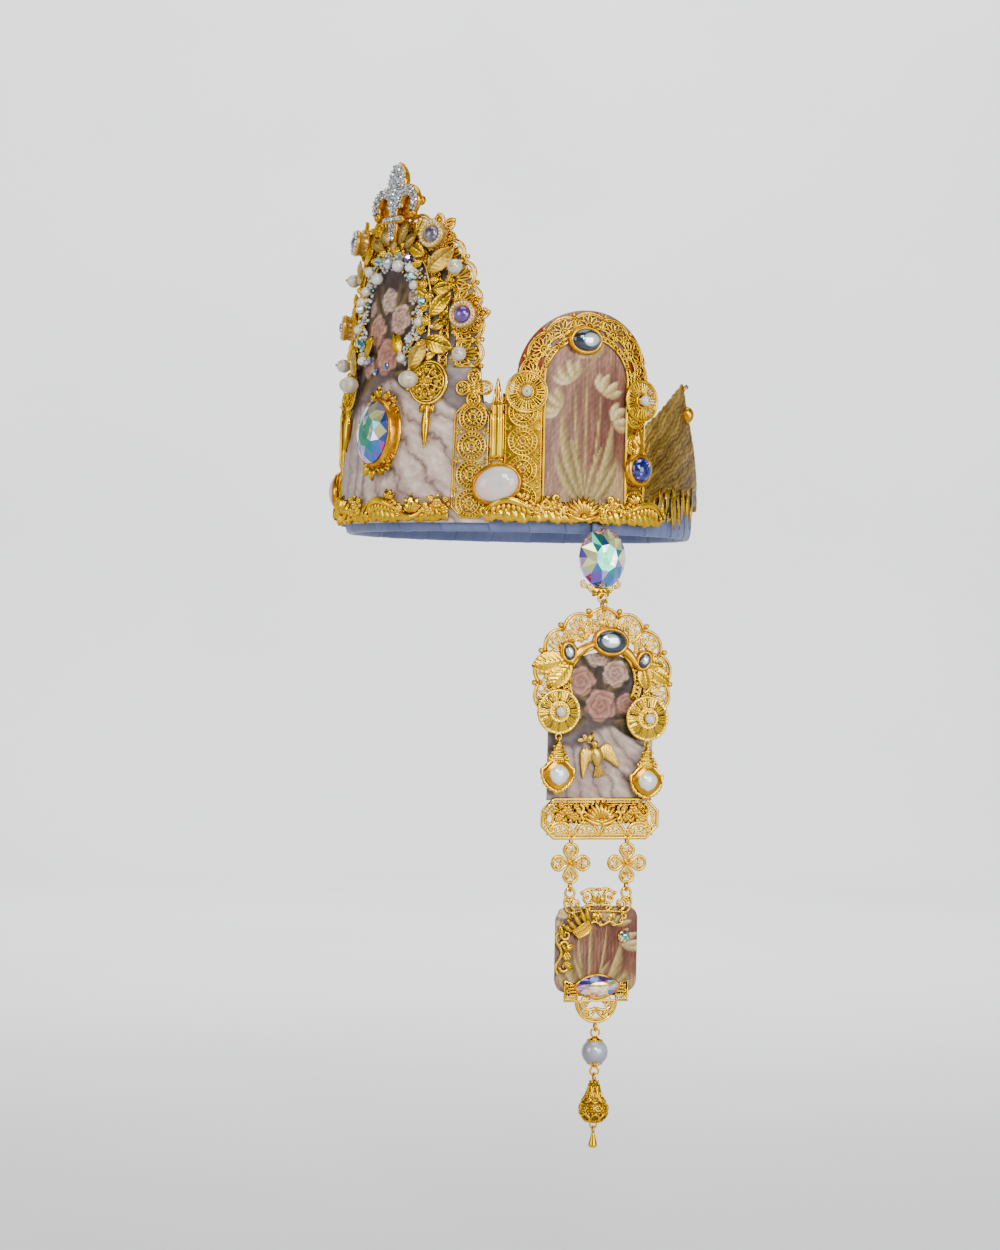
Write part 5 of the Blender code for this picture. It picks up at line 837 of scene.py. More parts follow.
def ribbon_band():
    """Padded ring: a squared oval carried round; each winding of ribbon overlaps the last."""
    rows, cols, wraps = 972, 22, bpy.context.scene.crown_sizes.ribbon_turns
    turn = circle(rows)[:, None]
    a = circle(cols)[None]
    half = BAND_WALL / 2
    across = half * np.sign(cos(a)) * np.abs(cos(a)) ** .6
    up = BAND_HEIGHT / 2 * (1 + np.sign(sin(a)) * np.abs(sin(a)) ** .7)
    rng = np.random.default_rng(4)
    lie = turn * wraps / (2 * pi) + (up - 11) * .016 + .16 * sin(3 * turn) + .22 * sin(5 * turn + 1)
    share = lie % 1
    which = np.floor(lie).astype(int) % wraps
    lift = .42 * exp(-share * 3.0) * step(0, .05, share) + .10 * sin(pi * share) ** .5
    for _ in range(6):
        limits = (.14, .92), (-.03, .03), (.04, .17)
        middle, tilt, depth = (rng.uniform(*pair, wraps)[which] for pair in limits)
        fade = step(0, .12, share) * step(1, .88, share)
        lift = lift - depth * fade * exp(-((share - middle - tilt * (up - 11)) / .03) ** 2)
    outward = np.sign(cos(a)) * np.abs(cos(a)) ** .5
    radius = WALL - half - .65 + across + lift * outward
    level = up * (BAND_HEIGHT - .8) / BAND_HEIGHT + .4 + lift * sin(a) * .5
    pile = Pile(plain, "ribbon")
    # Painted shade: a thin dark line where each winding's edge lies on the last; painted light where the
    # ribbon is raised
    pile.add(vec(radius * sin(turn), -radius * cos(turn), level), shut=(True, True),
        deep=clip(.55 + .5 * lift - .5 * exp(-(share / .035) ** 2), 0, 1))
    band = pile.build("ribbon_band", "crown", ("head_band",))


def crown_pictures():
    """Backing sheets of the wall: front sheet with a squared arch, side sheets with a round one."""
    neck = radians(ARCH_TURN - 2.5) * WALL
    a = radians(span(180, 0, 161))
    x = neck * np.sign(cos(a)) * np.abs(cos(a)) ** .8
    arch = ARCH_SPRING + (FRONT_HEIGHT - 4 - ARCH_SPRING) * sin(a) ** ARCH_POWER
    wing = span(neck + .01, radians(FRONT_TURN) * WALL, 9)
    x = concatenate((-wing[::-1], x, wing))
    high = concatenate((0 * wing + FRONT_SHOULDER, arch, 0 * wing + FRONT_SHOULDER))
    pile = Pile(wrap(0, PANEL, LEAN))
    painted_sheet(pile, x, FRONT_BOTTOM, high, 1.2, garden_painting, 198)
    pile.build("front_picture", "crown", ("front_panel",))
    start, end = ((turn - SIDE_TURN) * WALL * pi / 180 for turn in (SIDE_START, SIDE_END))
    outer = SIDE_OUTER + 1.0
    bend = outer * sin(radians(span(-78, 78, 104)))
    x = np.unique(concatenate((span(start + 1, -outer * .98, 12)[:-1], bend[bend <= end - .3], [end - .2])))
    high = np.where(np.abs(x) < outer * .979, SIDE_SPRING + sqrt(np.maximum(outer ** 2 - x ** 2, 0)),
        SIDE_TOP)
    for side, tag in SIDES:
        pile = Pile(wrap(SIDE_TURN, PANEL, 0.0, side))
        painted_sheet(pile, x, SIDE_BOTTOM, high, 1.2, lambda u, v: lily_painting(u, v - 20.0), 140)
        pile.build("side_picture_" + tag, "crown", ("side_panel_" + tag,))


def front_lace():
    """Pierced arch over the front picture, of scallops filled with fans of petals."""
    edges = squared_arch(FRONT_HEIGHT, ARCH_TURN), squared_arch(FRONT_HEIGHT - ARCH_BAND,
        ARCH_TURN - ARCH_BAND_TURN)
    pile = Pile(wrap(0, FILIGREE, LEAN))
    lace(pile, edges, 16, .58, .5)
    pile.build("front_lace", "crown", ("front_arch",))


def strips():
    """Octagonal strips of four rosettes beside the front picture, each under a wire flower."""
    left, right = (radians(turn) * WALL for turn in (STRIP_TURN, FRONT_TURN))
    middle, cut = (left + right) / 2, (right - left) * .26
    pitch = (FRONT_SHOULDER - STRIP_BOTTOM) / 4
    y = STRIP_BOTTOM + pitch * (arange(4) + .5)
    for side, tag in SIDES:
        pile = Pile(wrap(0, FILIGREE, LEAN, side))
        for inset, wire in ((.35, .5), (1.5, .28)):
            pile.wire(octagon(left + inset, right - inset, STRIP_BOTTOM + inset, FRONT_SHOULDER - inset,
                cut, .45), wire, "polished_gilt", shut=True, flat=.9)
        rosettes(pile, middle + 0 * y, y, 6.3, .45)
        for across in (-1, 1):
            for inset, wire in ((1.5, .3), (.8, .25)):
                pile.wire(oval(middle + across * 6.0, y[:-1] + pitch / 2, inset, count=4, z=.45), wire,
                    shut=True)
        flower(pile, middle, FRONT_SHOULDER + FLOWER * .80, FLOWER, .9, 0, .54)
        pile.build("strip_" + tag, "crown", ("front_strip_" + tag,))


def side_lace():
    """Horseshoe of pierced work: scalloped arch, rosette strips and the arrow-headed post."""
    start, end = ((turn - SIDE_TURN) * WALL * pi / 180 for turn in (SIDE_START, SIDE_END))
    front, rear = (start - SIDE_INNER) / 2, (end + SIDE_INNER) / 2
    pitch = (SIDE_TOP - SIDE_BOTTOM) / 4
    y = SIDE_BOTTOM + pitch * (arange(4) + .5)
    for side, tag in SIDES:
        pile = Pile(wrap(SIDE_TURN, FILIGREE, 0.0, side))
        lace(pile, round_band(SIDE_SPRING, SIDE_INNER, SIDE_OUTER, -8, 188), 7, .40, .5)
        for x, low, high, wire in ((-SIDE_INNER, SIDE_BOTTOM, SIDE_SPRING, .55), (SIDE_INNER, SIDE_BOTTOM,
                SIDE_SPRING, .55), (start + .4, SIDE_BOTTOM, SIDE_TOP, .45), (end - .4, SIDE_BOTTOM,
                SIDE_TOP, .4)):
            pile.wire(bow(x, low, x, high, 0, 12, .45), wire, "polished_gilt")
        for low, high in ((start, -SIDE_INNER), (SIDE_INNER, end)):
            pile.wire(bow(low, SIDE_BOTTOM + .4, high, SIDE_BOTTOM + .4, 0, 5, .45), .4)
            grid = span(low + .3, high - .3, 12)[None], span(SIDE_BOTTOM + .5, SIDE_SPRING - 6, 24)[:, None]
            pile.add(shell(vec(grid[0] + 0 * grid[1], grid[1] + 0 * grid[0], .2), .12, 4), deep=.3)
        slot = lathe(((0, .3), (.8, .26), (1, 0), (0, 0)), 12) * (1.7, 2.6, 1)
        for x, share in ((front, 1.0), (rear, .7)):
            pile.add(copies(slot * (share, share, 1), x, y, 0, .2), "russet")
            pile.add(copies(slot * (.62 * share, .3 * share, 1), x, y[:-1] + pitch / 2, 0, .2), "russet")
        rosettes(pile, front + 0 * y, y, 6.2, .5)
        rosettes(pile, rear + 0 * y, y, 5.0, .5)
        for x in (start + 1.7, -SIDE_INNER - 1.3):
            pile.wire(bow(x, SIDE_BOTTOM + 1, x, SIDE_SPRING - 8, 0, 12, .45), .3)
        for x in (front - 6.4, front + 6.4, rear + 4.2):
            pile.wire(oval(x, y[:-1] + pitch / 2, 1.5, count=4, z=.45), .3, shut=True)
        post(pile, side)
        pile.build("side_lace_" + tag, "crown", ("side_filigree_" + tag,))


def post(pile, side):
    """Arrow-headed post: a pronged spear over a polished, grooved bar."""
    place = spot(45.8, 0, 2.8, 0, 0, side)

    def stand(p):
        """Place with the shape's Z turned upright."""
        return place(vec(p[..., 0], p[..., 2], p[..., 1]))
    pile.add(lathe(((0, 67), (.6, 65.6), (1.25, 62.6), (1.3, 60.8), (1.0, 58.6), (1.3, 57), (1.7, 54.8),
        (0, 54.4)), 14), "polished_gilt", stand)
    x, y = span(-2.3, 2.3, 25)[None], span(31.6, 55.6, 30)[:, None]
    groove = .5 * exp(-((np.abs(x) - 1.25) / .28) ** 2) + .3 * exp(-((y - 49.5) / .5) ** 2)
    round_end = clip(np.minimum(y - 31.4, 55.8 - y) / .8, 0, 1) ** .5
    pile.add(shell(vec(x + 0 * y, y + 0 * x, 1.5 * sqrt(1 - (x / 2.6) ** 2) * round_end - groove + .3),
        1.2), "polished_gilt", place)
    for way in (-1, 1):
        pile.wire(bow(way * 2.2, 55.5, way * 1.5, 61.6, way * .5, 9, .3), span(.75, .3, 9), "polished_gilt",
            place)
        pile.wire(bow(way * 2.6, 31, way * 2.6, 54.4, 0, 5, .2), .55, "polished_gilt", place)
    for y, wide in ((54.6, 2.8), (55.9, 2.1), (31, 2.9)):
        pile.wire(bow(-wide, y, wide, y, .5, 7, .3), .62, "polished_gilt", place)


def discs():
    """Flat spoked discs: rim, hub ring, spokes in threes with scrolls between, and a pearl."""
    lies = arange(9) * 40.0
    a = radians(lies)
    c, s = cos(a), sin(a)
    for name, turn, height in (("front_disc_", 54.4, 60.6), ("rear_disc_", 92.0, 59.2)):
        for side, tag in SIDES:
            pile = Pile(spot(turn, height, STONE, 0, 0, side))
            pile.wire(oval(0, 0, 8.75, count=44, z=.5), .62, shut=True)
            pile.wire(oval(0, 0, 7.9, count=40, z=.4), .40, shut=True)
            pile.wire(oval(0, 0, 2.8, count=24, z=.5), .6, shut=True)
            for aside in (-.95, 0, .95):
                pile.wire(bow(2.8 * c - aside * .7 * s, 2.8 * s + aside * .7 * c, 8.6 * c - aside * 1.6 * s,
                    8.6 * s + aside * 1.6 * c, 0, 5, .45), .44, flat=1.2)
            b = radians(lies + 20)
            for way in (-1, 1):
                e = b + radians(way * 6.0)
                pile.wire(curl(*around(7.0, e), .72, degrees(e) + 90 * way, 320 * way, .4, 10, .45), .36)
            pile.add(balls(*around(5.7, b), .5, .5, 5, 8))
            pile.add(balls(*around(4.5, b), .5, .42, 5, 8))
            pile.add(balls(0, 0, 2.9, 2.35, 13, 20), "pearl", tone=.8)
            pile.add(lathe(((0, 1.2), (1.6, 1.0), (1.9, .5), (1.9, 0), (0, 0)), 16))
            pile.add(lathe(((0, 6.0), (.45, 5.8), (.6, 5.4), (.4, 5.1), (0, 5.0)), 8), "polished_gilt")
            pile.build(name + "wheel_" + tag, "crown", (name + tag,))


def back_leaves():
    """Rough leaf behind each side: crinkled ribs fan from its foot; foil slivers hang below."""
    edge = array(((0.00, 0.62), (0.15, 0.74), (0.30, 0.87), (0.40, 0.95), (0.47, 1.00), (0.50, 0.93),
        (0.56, 0.80), (0.68, 0.60), (0.84, 0.38), (1.00, 0.16)))
    width, low, rise = radians(43.2) * WALL, 14.0, 55.0
    share, up = span(0, 1, 164), span(0, 1, 104)[:, None]
    high = low + rise * interp(share, edge[:, 0], edge[:, 1]) + .5 * sin(share * 150)
    foot = low + .8 + 1.3 * sin(share * 57) + .5 * sin(share * 131)
    x = width * share[None] + 0 * up
    y = foot + (high - foot) * up
    spread = arctan2(y - 4, x + 26) + .04 * (mottle(x, y, 14, 2) - .5)
    rib = .13 * sin(spread * 150 + 2 * mottle(x, y, 9, 4)) + .10 * sin(spread * 52)
    rib = rib + .26 * (mottle(x, y, 1.8, 5) - .5) + .30 * (mottle(x, y, .9, 9, 3) - .5)
    # Painted sheen: lighter higher up and toward the start of the leaf, in soft patches; painted light on
    # the raised ribs and painted shade in the furrows
    sheen = .25 * step(24, 50, y - .5 * x) + .35 * (mottle(x, y, 26, 6) - .5)
    crest = .9 * exp(-((x - width * .47) ** 2 + (y - low - rise) ** 2) / 22)
    top = vec(x, y, 1.25 + (rib + crest) * step(0, .06, up) * step(1, .94, up))
    deep = clip(.42 + 1.3 * rib + sheen, 0, 1)[..., None] + np.zeros(3)
    rng = np.random.default_rng(8)
    for side, tag in SIDES:
        pile = Pile(wrap(94.8, PANEL, 0.0, side), "rough_bronze")
        pile.add(shell(top, 1.2, 4), deep=shell(deep, 0, 4)[..., 0])
        where = np.sort(rng.uniform(.10, .70, 30))
        foot_at = interp(where, share, foot)
        for index in range(30):
            sliver = leaf(rng.uniform(8, 16), rng.uniform(1.2, 3.0), .2, 1, 8, 5, .25, .1)
            pile.add(copies(sliver, where[index] * width, foot_at[index] + rng.uniform(2, 8),
                -90 + rng.uniform(-14, 14), rng.uniform(1.3, 2.4)), ("gilt", "polished_gilt",
                "rough_bronze", "cast_gilt", "black_foil")[index % 5])
        tip = width * .47
        pile.wire(vec(tip + array((-.3, .2, .9, 1.4, 1.2)), 66.0 + array((0, 1.6, 2.6, 2.0, .9)),
            array((1.2, 1.9, 2.6, 3.0, 2.8))), span(1.0, .35, 5), sides=7)
        drop = spot(118.6, low + rise * .76, PANEL + .9, 0, 0, side)
        pile.add(turned((2.7, 3.9), [(cos(t), 0, 3.6 * sin(t)) for t in radians(span(0, 90, 8))]
            + [(0, 0, 0)], 24), "amber", drop)
        pile.build("rear_leaf_" + tag, "crown", ("back_leaf_" + tag,))


# Cast trims and set stones
FRONT_ORNAMENTS = ((0.07, "posy", -1), (0.215, "palmette", 1), (0.36, "posy", 1), (0.60, "horn", 1),
    (0.80, "palmette", 1), (0.94, "posy", 1))
SIDE_ORNAMENTS = ((0.13, "horn", 1), (0.335, "scrolls", -1), (0.50, "shell", 1), (0.67, "scrolls", 1),
    (0.86, "horn", -1))
TRIM_MIDDLE = 11.5


def ornament(pile, kind, cx, way):
    """One cast motif on the strip, centred at a place along it and facing one way."""
    base = TRIM_MIDDLE - 4.6
    if kind == "horn":
        t = span(0, 1, 34)
        x = cx + way * (-11 + 22 * t)
        y = base + .6 + 5.6 * sin(pi * t ** .8) ** 1.2 + 1.6 * t
        pile.wire(vec(x, y, 2.0 + .8 * sin(pi * t)), .55 + 1.15 * sin(pi * t) ** 1.3)
        pile.wire(vec(x, y + 1.0, 3.0 + .8 * sin(pi * t)), .42)
        ribs = span(.22, .78, 8)
        rx = cx + way * (-11 + 22 * ribs)
        ry = base + .6 + 5.6 * sin(pi * ribs ** .8) ** 1.2 + 1.6 * ribs
        pile.add(copies(leaf(5.2, 2.5, 1.1, 1, 11, 7, .5, .04, .3), rx, ry, -90 + way * span(-22, 30, 8),
            .9))
        pile.wire(curl(cx - way * 10.6, base + 1.6, 1.9, 90, 420 * way, .15, 24, 2.2), span(.9, .5, 24))
        pile.add(copies(leaf(5.6, 3.0, 1.0, 4, 13, 9, .5, .2, .4), cx + way * 4, base + 6.4,
            90 - way * array((-8, 22, 52)), 1.2))
        pile.wire(curl(cx + way * 10.4, base + 3.0, 2.2, 90, -400 * way, .15, 24, 2.2), span(.95, .5, 24))
        pile.add(balls(cx + way * array((7.6, 9.2, 8.2, 10.6, 6.4)),
            base + array((4.4, 5.4, 6.6, 3.2, 5.9)), 2.6, array((1.2, 1.1, 1.0, 1.2, .9)), 7, 11))
    elif kind == "posy":
        spots = array(((-3.6, 2.2, 2.3), (0.4, 5.4, 2.6), (3.8, 2.6, 2.3), (-2.6, 7.4, 1.7),
            (4.4, 7.0, 1.6)))
        for x, y, r in spots:
            turns = arange(6) * 60 + x * 20
            pile.add(copies(leaf(r, r * .95, .7, 1, 9, 9, .5, .05, .35), cx + way * x, base + y, turns,
                1.2))
            pile.add(balls(cx + way * x, base + y, 2.5, r * .34, 7, 11))
        pile.add(balls(cx + way * array((-5.4, -1.4, 1.8, 5.8, .8, -4.9)),
            base + array((5.2, 1.0, .9, 4.9, 8.8, 7.9)), 1.9, array((1.0, .95, .9, 1.0, .9, .7)), 7, 10))
        pile.add(copies(leaf(4.4, 2.4, .9, 3, 11, 9, .5, .2, .3), cx, base + 3.6, (20, 160, 75, 105, -30,
            210), .7))
    elif kind == "palmette":
        pile.add(copies(leaf(9.2, 3.1, 1.5, 5, 17, 9, .6, .2, .7), cx, base + .8, 90, 1.1))
        pile.add(copies(leaf(8.0, 2.9, 1.3, 4, 15, 9, .6, .2, .6), cx, base + .8, (64, 116), .9))
        pile.add(copies(leaf(6.2, 2.5, 1.0, 4, 13, 9, .6, .2, .5), cx, base + .8, (40, 140), .8))
        t = span(-1, 1, 22)
        pile.wire(vec(cx + 5.6 * t, base + 2.6 * t ** 2 - .4, 2.3), 1.25 - .75 * np.abs(t) ** 2)
        pile.add(balls(cx + array((-5.8, 5.8)), base + 2.6, 2.2, .95, 7, 10))
    elif kind == "shell":
        fan = span(28, 152, 9)
        pile.add(copies(leaf(9.6, 2.6, 1.5, 1, 15, 9, .6, .03, .8), cx, base + .2, fan, 1.2))
        t = span(-1, 1, 26)
        pile.wire(vec(cx + 7.2 * t, base + 2.6 * t ** 2 - .6, 2.4), 1.3 - .7 * np.abs(t) ** 2)
        for side in (-1, 1):
            pile.wire(curl(cx + side * 7.4, base + 3.4, 1.9, -90, side * 420, .15, 24, 2.2),
                span(.9, .45, 24))
            pile.wire(curl(cx + side * 8.6, base + .9, 1.4, 90, side * -400, .15, 20, 2.0),
                span(.75, .4, 20))
        pile.add(balls(cx, base + .5, 3.6, 1.25, 8, 12))
    else:
        for x, y, r, start, sweep in ((-2.4, 2.4, 2.4, 0, 450), (2.6, 5.6, 2.2, 180, 430),
                (-2.0, 8.4, 1.5, -60, 400), (4.6, 1.6, 1.5, 200, -400)):
            pile.wire(curl(cx + way * x, base + y, r, 90 - way * (90 - start), way * sweep, .12, 26, 2.0),
                span(1.0, .45, 26))
        pile.add(copies(leaf(6.4, 3.0, 1.1, 4, 15, 9, .5, .25, .5), cx, base + 3.4,
            90 - way * array((-62, -22, 24, 76)), 1.0))
        pile.add(balls(cx + way * array((0, 1.6, -3.6)), base + array((3.6, 8.6, 5.8)), 2.4,
            array((1.15, .9, .8)), 7, 11))


def trim(pile, start, end, ornaments):
    """Cast strip: a low smooth ground with wavy edges that carries a row of motifs."""
    x = span(start, end, 200)
    middle = TRIM_MIDDLE - 3.5 + .3 * sin(x * .33)
    half = 3.3 + .45 * sin(x * .9) + .3 * sin(x * 2.3 + 1)
    up = span(-1, 1, 9)[:, None]
    z = .9 + .75 * (1 - up ** 2) + .22 * cos(x * 2.1 + up * 3) * (1 - up ** 2)
    pile.add(shell(vec(x[None] + 0 * up, middle + up * half, z), .85, 4))
    for along, kind, way in ornaments:
        ornament(pile, kind, start + along * (end - start), way)
    inner = [start + .5 * (a[0] + b[0]) * (end - start) for a, b in zip(ornaments, ornaments[1:])]
    way = np.where(arange(len(inner)) % 2, 1, -1)
    inner = array(inner)
    pile.wire(curl(inner, TRIM_MIDDLE - 1.6, 2.0, 90, 400 * way, .15, 22, 1.9), span(.8, .4, 22)[None])
    pile.add(copies(leaf(4.2, 2.2, .9, 3, 11, 9, .5, .2, .3), inner, TRIM_MIDDLE - 2.4, 90 + 24 * way, 1.2))
    pile.add(balls(inner + 1.4, TRIM_MIDDLE - 4.6, 1.8, .8, 6, 10))


def trims():
    """Cast strips along the band: one in front, one on each side."""
    pile = Pile(wrap(0, FILIGREE), "cast_gilt")
    trim(pile, radians(-31) * WALL, radians(31) * WALL, FRONT_ORNAMENTS)
    pile.build("front_cast_trim", "crown", ("front_trim",))
    for side, tag in SIDES:
        pile = Pile(wrap(42.8, STONE, 0.0, side), "cast_gilt")
        trim(pile, 0.0, radians(58.2) * WALL, SIDE_ORNAMENTS)
        pile.build("side_cast_trim_" + tag, "crown", ("side_trim_" + tag,))


def wall_stones():
    """Opal, mirror and cobalt stones of each side in rounded amber bezels."""
    for side, tag in SIDES:
        pile = Pile(spot(46.2, 20.6, STONE, 0, 20, side))
        stone(pile, (9.8, 7.6), 6.0, "opal", 1.6)
        pile.build("opal_stone_" + tag, "crown", ("opal_" + tag,))
        pile = Pile(spot(72.0, 83.8, STONE, 0, 0, side))
        stone(pile, (6.6, 5.0), 4.8, "mirror_stone", 1.4)
        pile.build("grey_stone_" + tag, "crown", ("mirror_stone_" + tag,))
        pile = Pile(spot(91.2, 28.9, STONE, 0, 0, side))
        stone(pile, (5.5, 5.5), 6.0, "cobalt", 1.92)
        edge = oval(0, 10.0, 3.0, 8.2, count=40)
        edge[:, 0] += .5 * sin(edge[:, 1] * .9)
        pile.add(pad(edge, 1.7, 7, 0, .5, lambda share, lie: .18 * sin(5 * lie) * share), "amber")
        pile.build("blue_stone_" + tag, "crown", ("cobalt_stone_" + tag,))


def main_stone():
    """Large brilliant in a high-walled resin collar, held above and below by open leaf scrolls."""
    pile = Pile(spot(4, 43, FILIGREE, LEAN), "cast_gilt")
    half = (10.4, 14.0)
    pile.add(turned(half, ((0, 0, 0), (1, 1.4, 0), (1, 1.5, 2.4), (1, 1.2, 4.8), (1, .6, 6.2),
        (1, -.15, 6.4), (.9, 0, 5.0), (0, 0, 5.0)), 56), "amber")
    gem(pile, half, 5.4, 10.5, "aurora_and_painted_light", .50, 9)
    pile.wire(oval(0, 0, half[0] + 1.6, half[1] + 1.6, count=72, z=.9), .6, shut=True)
    for way in (-1, 1):
        foot = way * (half[1] - .6)
        pile.add(copies(leaf(6.6, 4.0, 1.4, 4, 15, 9, .6, .35, .8), 0, foot + way * 1.2, 90 * way, 3.6))
        pile.add(copies(leaf(6.0, 3.4, 1.2, 4, 15, 9, .6, .3, .7), (-2.6, 2.6), foot + way * .6,
            90 * way + way * array((38, -38)), 3.0))
        for aside in (-1, 1):
            for x, y, r, sweep, z in ((3.4, 2.6, 2.4, 430, 3.4), (7.0, -.4, 2.0, -400, 2.8),
                    (9.4, -3.6, 1.5, 380, 2.2), (5.2, -1.6, 1.2, 380, 4.4)):
                pile.wire(curl(aside * x, foot + way * y, r, 90 - 90 * aside, sweep * aside * way, .15, 24,
                    z), span(.85, .42, 24))
            pile.add(copies(leaf(4.8, 2.5, .9, 3, 13, 9, .5, .25, .4), aside * 5.0, foot + way * .2,
                90 * way - aside * way * array((52, 84, 116)), 1.6))
        pile.add(balls(array((-3.4, 0, 3.4, -7.2, 7.2)), foot + way * array((2.6, .6, 2.6, -.4, -.4)), 4.4,
            array((.9, 1.1, .9, .75, .75)), 7, 10))
    pile.build("main_stone", "crown", ("main_crystal",))


PETAL_SHIFT = 2.23


def ring_stones():
    """Dark cabochons in pierced resin rings set with seed pearls, over beaded gold petals."""
    rows = (("upper_l", 21.5, 129.6, 38, "lilac_stone"), ("upper_r", -24.0, 131.4, 142, "lilac_stone"),
        ("lower_l", 34.0, 93.7, 8, "amethyst"), ("lower_r", -35.0, 94.4, 172, "lilac_stone"))
    for tag, turn, height, lie, finish in rows:
        pile = Pile(spot(turn, height, STONE, LEAN), "peach_resin")
        pile.add(lathe(((0, 0), (5.6, 0), (5.9, .6), (5.5, 1.5), (5.6, 3.8), (6.1, 4.9), (6.15, 5.6),
            (5.7, 6.3), (5.1, 6.2), (4.5, 5.7), (4.1, 6.1), (3.9, 5.2), (0, 4.8)), 40), deep=.5)
        a = radians(span(0, 360, 15)[:-1])
        # Dark caps in the lining colour stand for the shade inside the collar's piercings
        shaded_hole = balls(0, 0, 0, 1, 5, 8) * array((.35, .62, .95))
        shaded_hole = vec(5.42 + shaded_hole[..., 0], shaded_hole[..., 1], 2.6 + shaded_hole[..., 2])
        pile.add(copies(shaded_hole[0], 0, 0, degrees(a)), "lining_and_hole_shade")
        pile.add(lathe(((0, 8.0), (1.3, 7.85), (2.5, 7.3), (3.4, 6.5), (4.0, 5.4), (4.0, 5.0), (0, 5.0)),
            32), finish, deep=.5)
        a = radians(span(0, 360, 21)[:-1])
        pile.add(balls(*around(5.05, a), 6.45, .62, 6, 9), "pearl", tone=1.0)
        c, s = cos(radians(lie)), sin(radians(lie))
        lies = lie + arange(6) * 60.0
        b = radians(lies)
        x, y = around(5.6, b, PETAL_SHIFT * c, PETAL_SHIFT * s)
        for size, z in ((1.0, .7), (.62, 1.2)):
            petal = oval(x, y, 3.0 * size, 2.5 * size, lies, int(17 * size + 3), z)
            pile.wire(petal, .34, "polished_gilt", shut=True)
            petal = petal.reshape(-1, 3)
            pile.add(balls(petal[:, 0], petal[:, 1], z + .25, .48, 5, 7), "polished_gilt")
        pile.add(copies(leaf(3.2, 2.6, .7, 3, 9, 9, .5, .15, .3), *around(4.2, b, PETAL_SHIFT * c,
            PETAL_SHIFT * s), lies, .3), "cast_gilt")
        out = b[[0, 1, 5]]
        pile.add(balls(*around(8.4, out, PETAL_SHIFT * c, PETAL_SHIFT * s), 1.3, array((1.25, .8, .8)), 8,
            12), "polished_gilt")
        pile.build("ringed_stone_" + tag, "crown", ("ring_stone_" + tag,))


def medallions():
    """Domed filigree rounds, each with a ribbed pearl at its edge and a long leaf drop below."""
    def dome(x, y):
        """Height of the dome: a flattened half ball."""
        return 3.2 * np.maximum(1 - (x ** 2 + y ** 2) / 9.8 ** 2, 0) ** .45 + .3

    def lift(path, z=0.0):
        """Path laid on the dome."""
        path = array(path)
        path[..., 2] = dome(path[..., 0], path[..., 1]) + z
        return path
    for side, tag in SIDES:
        pile = Pile(spot(22, 65, FILIGREE, LEAN, 0, side), "cast_gilt")
        for r, wire in ((9.3, .75), (8.2, .4), (2.4, .55)):
            pile.wire(lift(oval(0, 0, r, count=48)), wire, shut=True)
        lies = arange(8) * 45.0
        for way in (-1, 1):
            a = radians(lies + way * 11)
            pile.wire(lift(curl(*around(6.6, a), 1.5, lies + 90 * way, way * 380, .2, 16), .1),
                span(.62, .4, 16)[None])
            pile.wire(lift(bow(*around(2.4, a), *around(6.0, a), way * .9, 8), .3), .5)
        a = radians(lies + 22.5)
        pile.add(balls(*around(7.4, a), dome(7.4, 0) + .3, .8, 6, 9))
        pile.add(balls(*around(4.9, a), dome(4.9, 0) + .4, .7, 6, 9))
        b = radians(lies)
        pile.add(copies(leaf(4.0, 2.7, .5, 2, 11, 9, .5, .2, .5), *around(3.4, b), lies, 3.0))
        pile.add(copies(leaf(3.0, 2.4, .5, 2, 11, 9, .5, .2, .4), *around(5.6, b + .39), lies + 22.5, 2.2))
        pile.add(copies(leaf(3.6, 2.4, .6, 2, 11, 9, .4, .2, .5), 0, 0, arange(6) * 60, 3.4))
        rim = circle(26)
        pile.add(balls(*around(9.3, rim), 1.0, .55, 5, 7))
        pile.add(balls(0, 0, 4.4, 1.1, 8, 12), "polished_gilt")
        rows = radians(span(-90, 90, 21))
        turn = circle(48)
        swell = 1 + .085 * np.abs(sin(3.5 * turn))[None] * cos(rows)[:, None]
        pearl = vec(4.2 * swell * cos(rows)[:, None] * cos(turn), 3.9 * sin(rows)[:, None] + 0 * swell,
            4.2 * swell * cos(rows)[:, None] * sin(turn))
        # Painted light on the fluted pearl: lighter where its ribs swell out
        pile.add(pearl + array((-8.43, 1.0, 4.8)), "cream_pearl", deep=clip(9 * (swell - 1) + .1, 0, 1))
        pile.add(balls(-8.43, array((-3.4, 5.4)), 4.8, .75, 6, 9), "polished_gilt")
        pile.wire(bow(-8.43, -3.8, -8.43, 6.4, 0, 4, 4.8), .35, "polished_gilt")
        pile.add(copies(leaf(5.6, 3.6, .7, 4, 13, 9, .5, .3, .3), 0, -8.8, (-90, -48, -132), .6))
        pile.wire(bow(0, -9, 0, -27.6, 0, 12, 1.3), .7 + 1.2 * sin(pi * span(.1, .96, 12)) ** 1.4,
            "polished_gilt")
        pile.add(balls(0, array((-12.4, -27.9)), 1.3, array((1.2, .85)), 7, 10), "polished_gilt")
        pile.build("domed_medallion_" + tag, "crown", ("medallion_" + tag,))


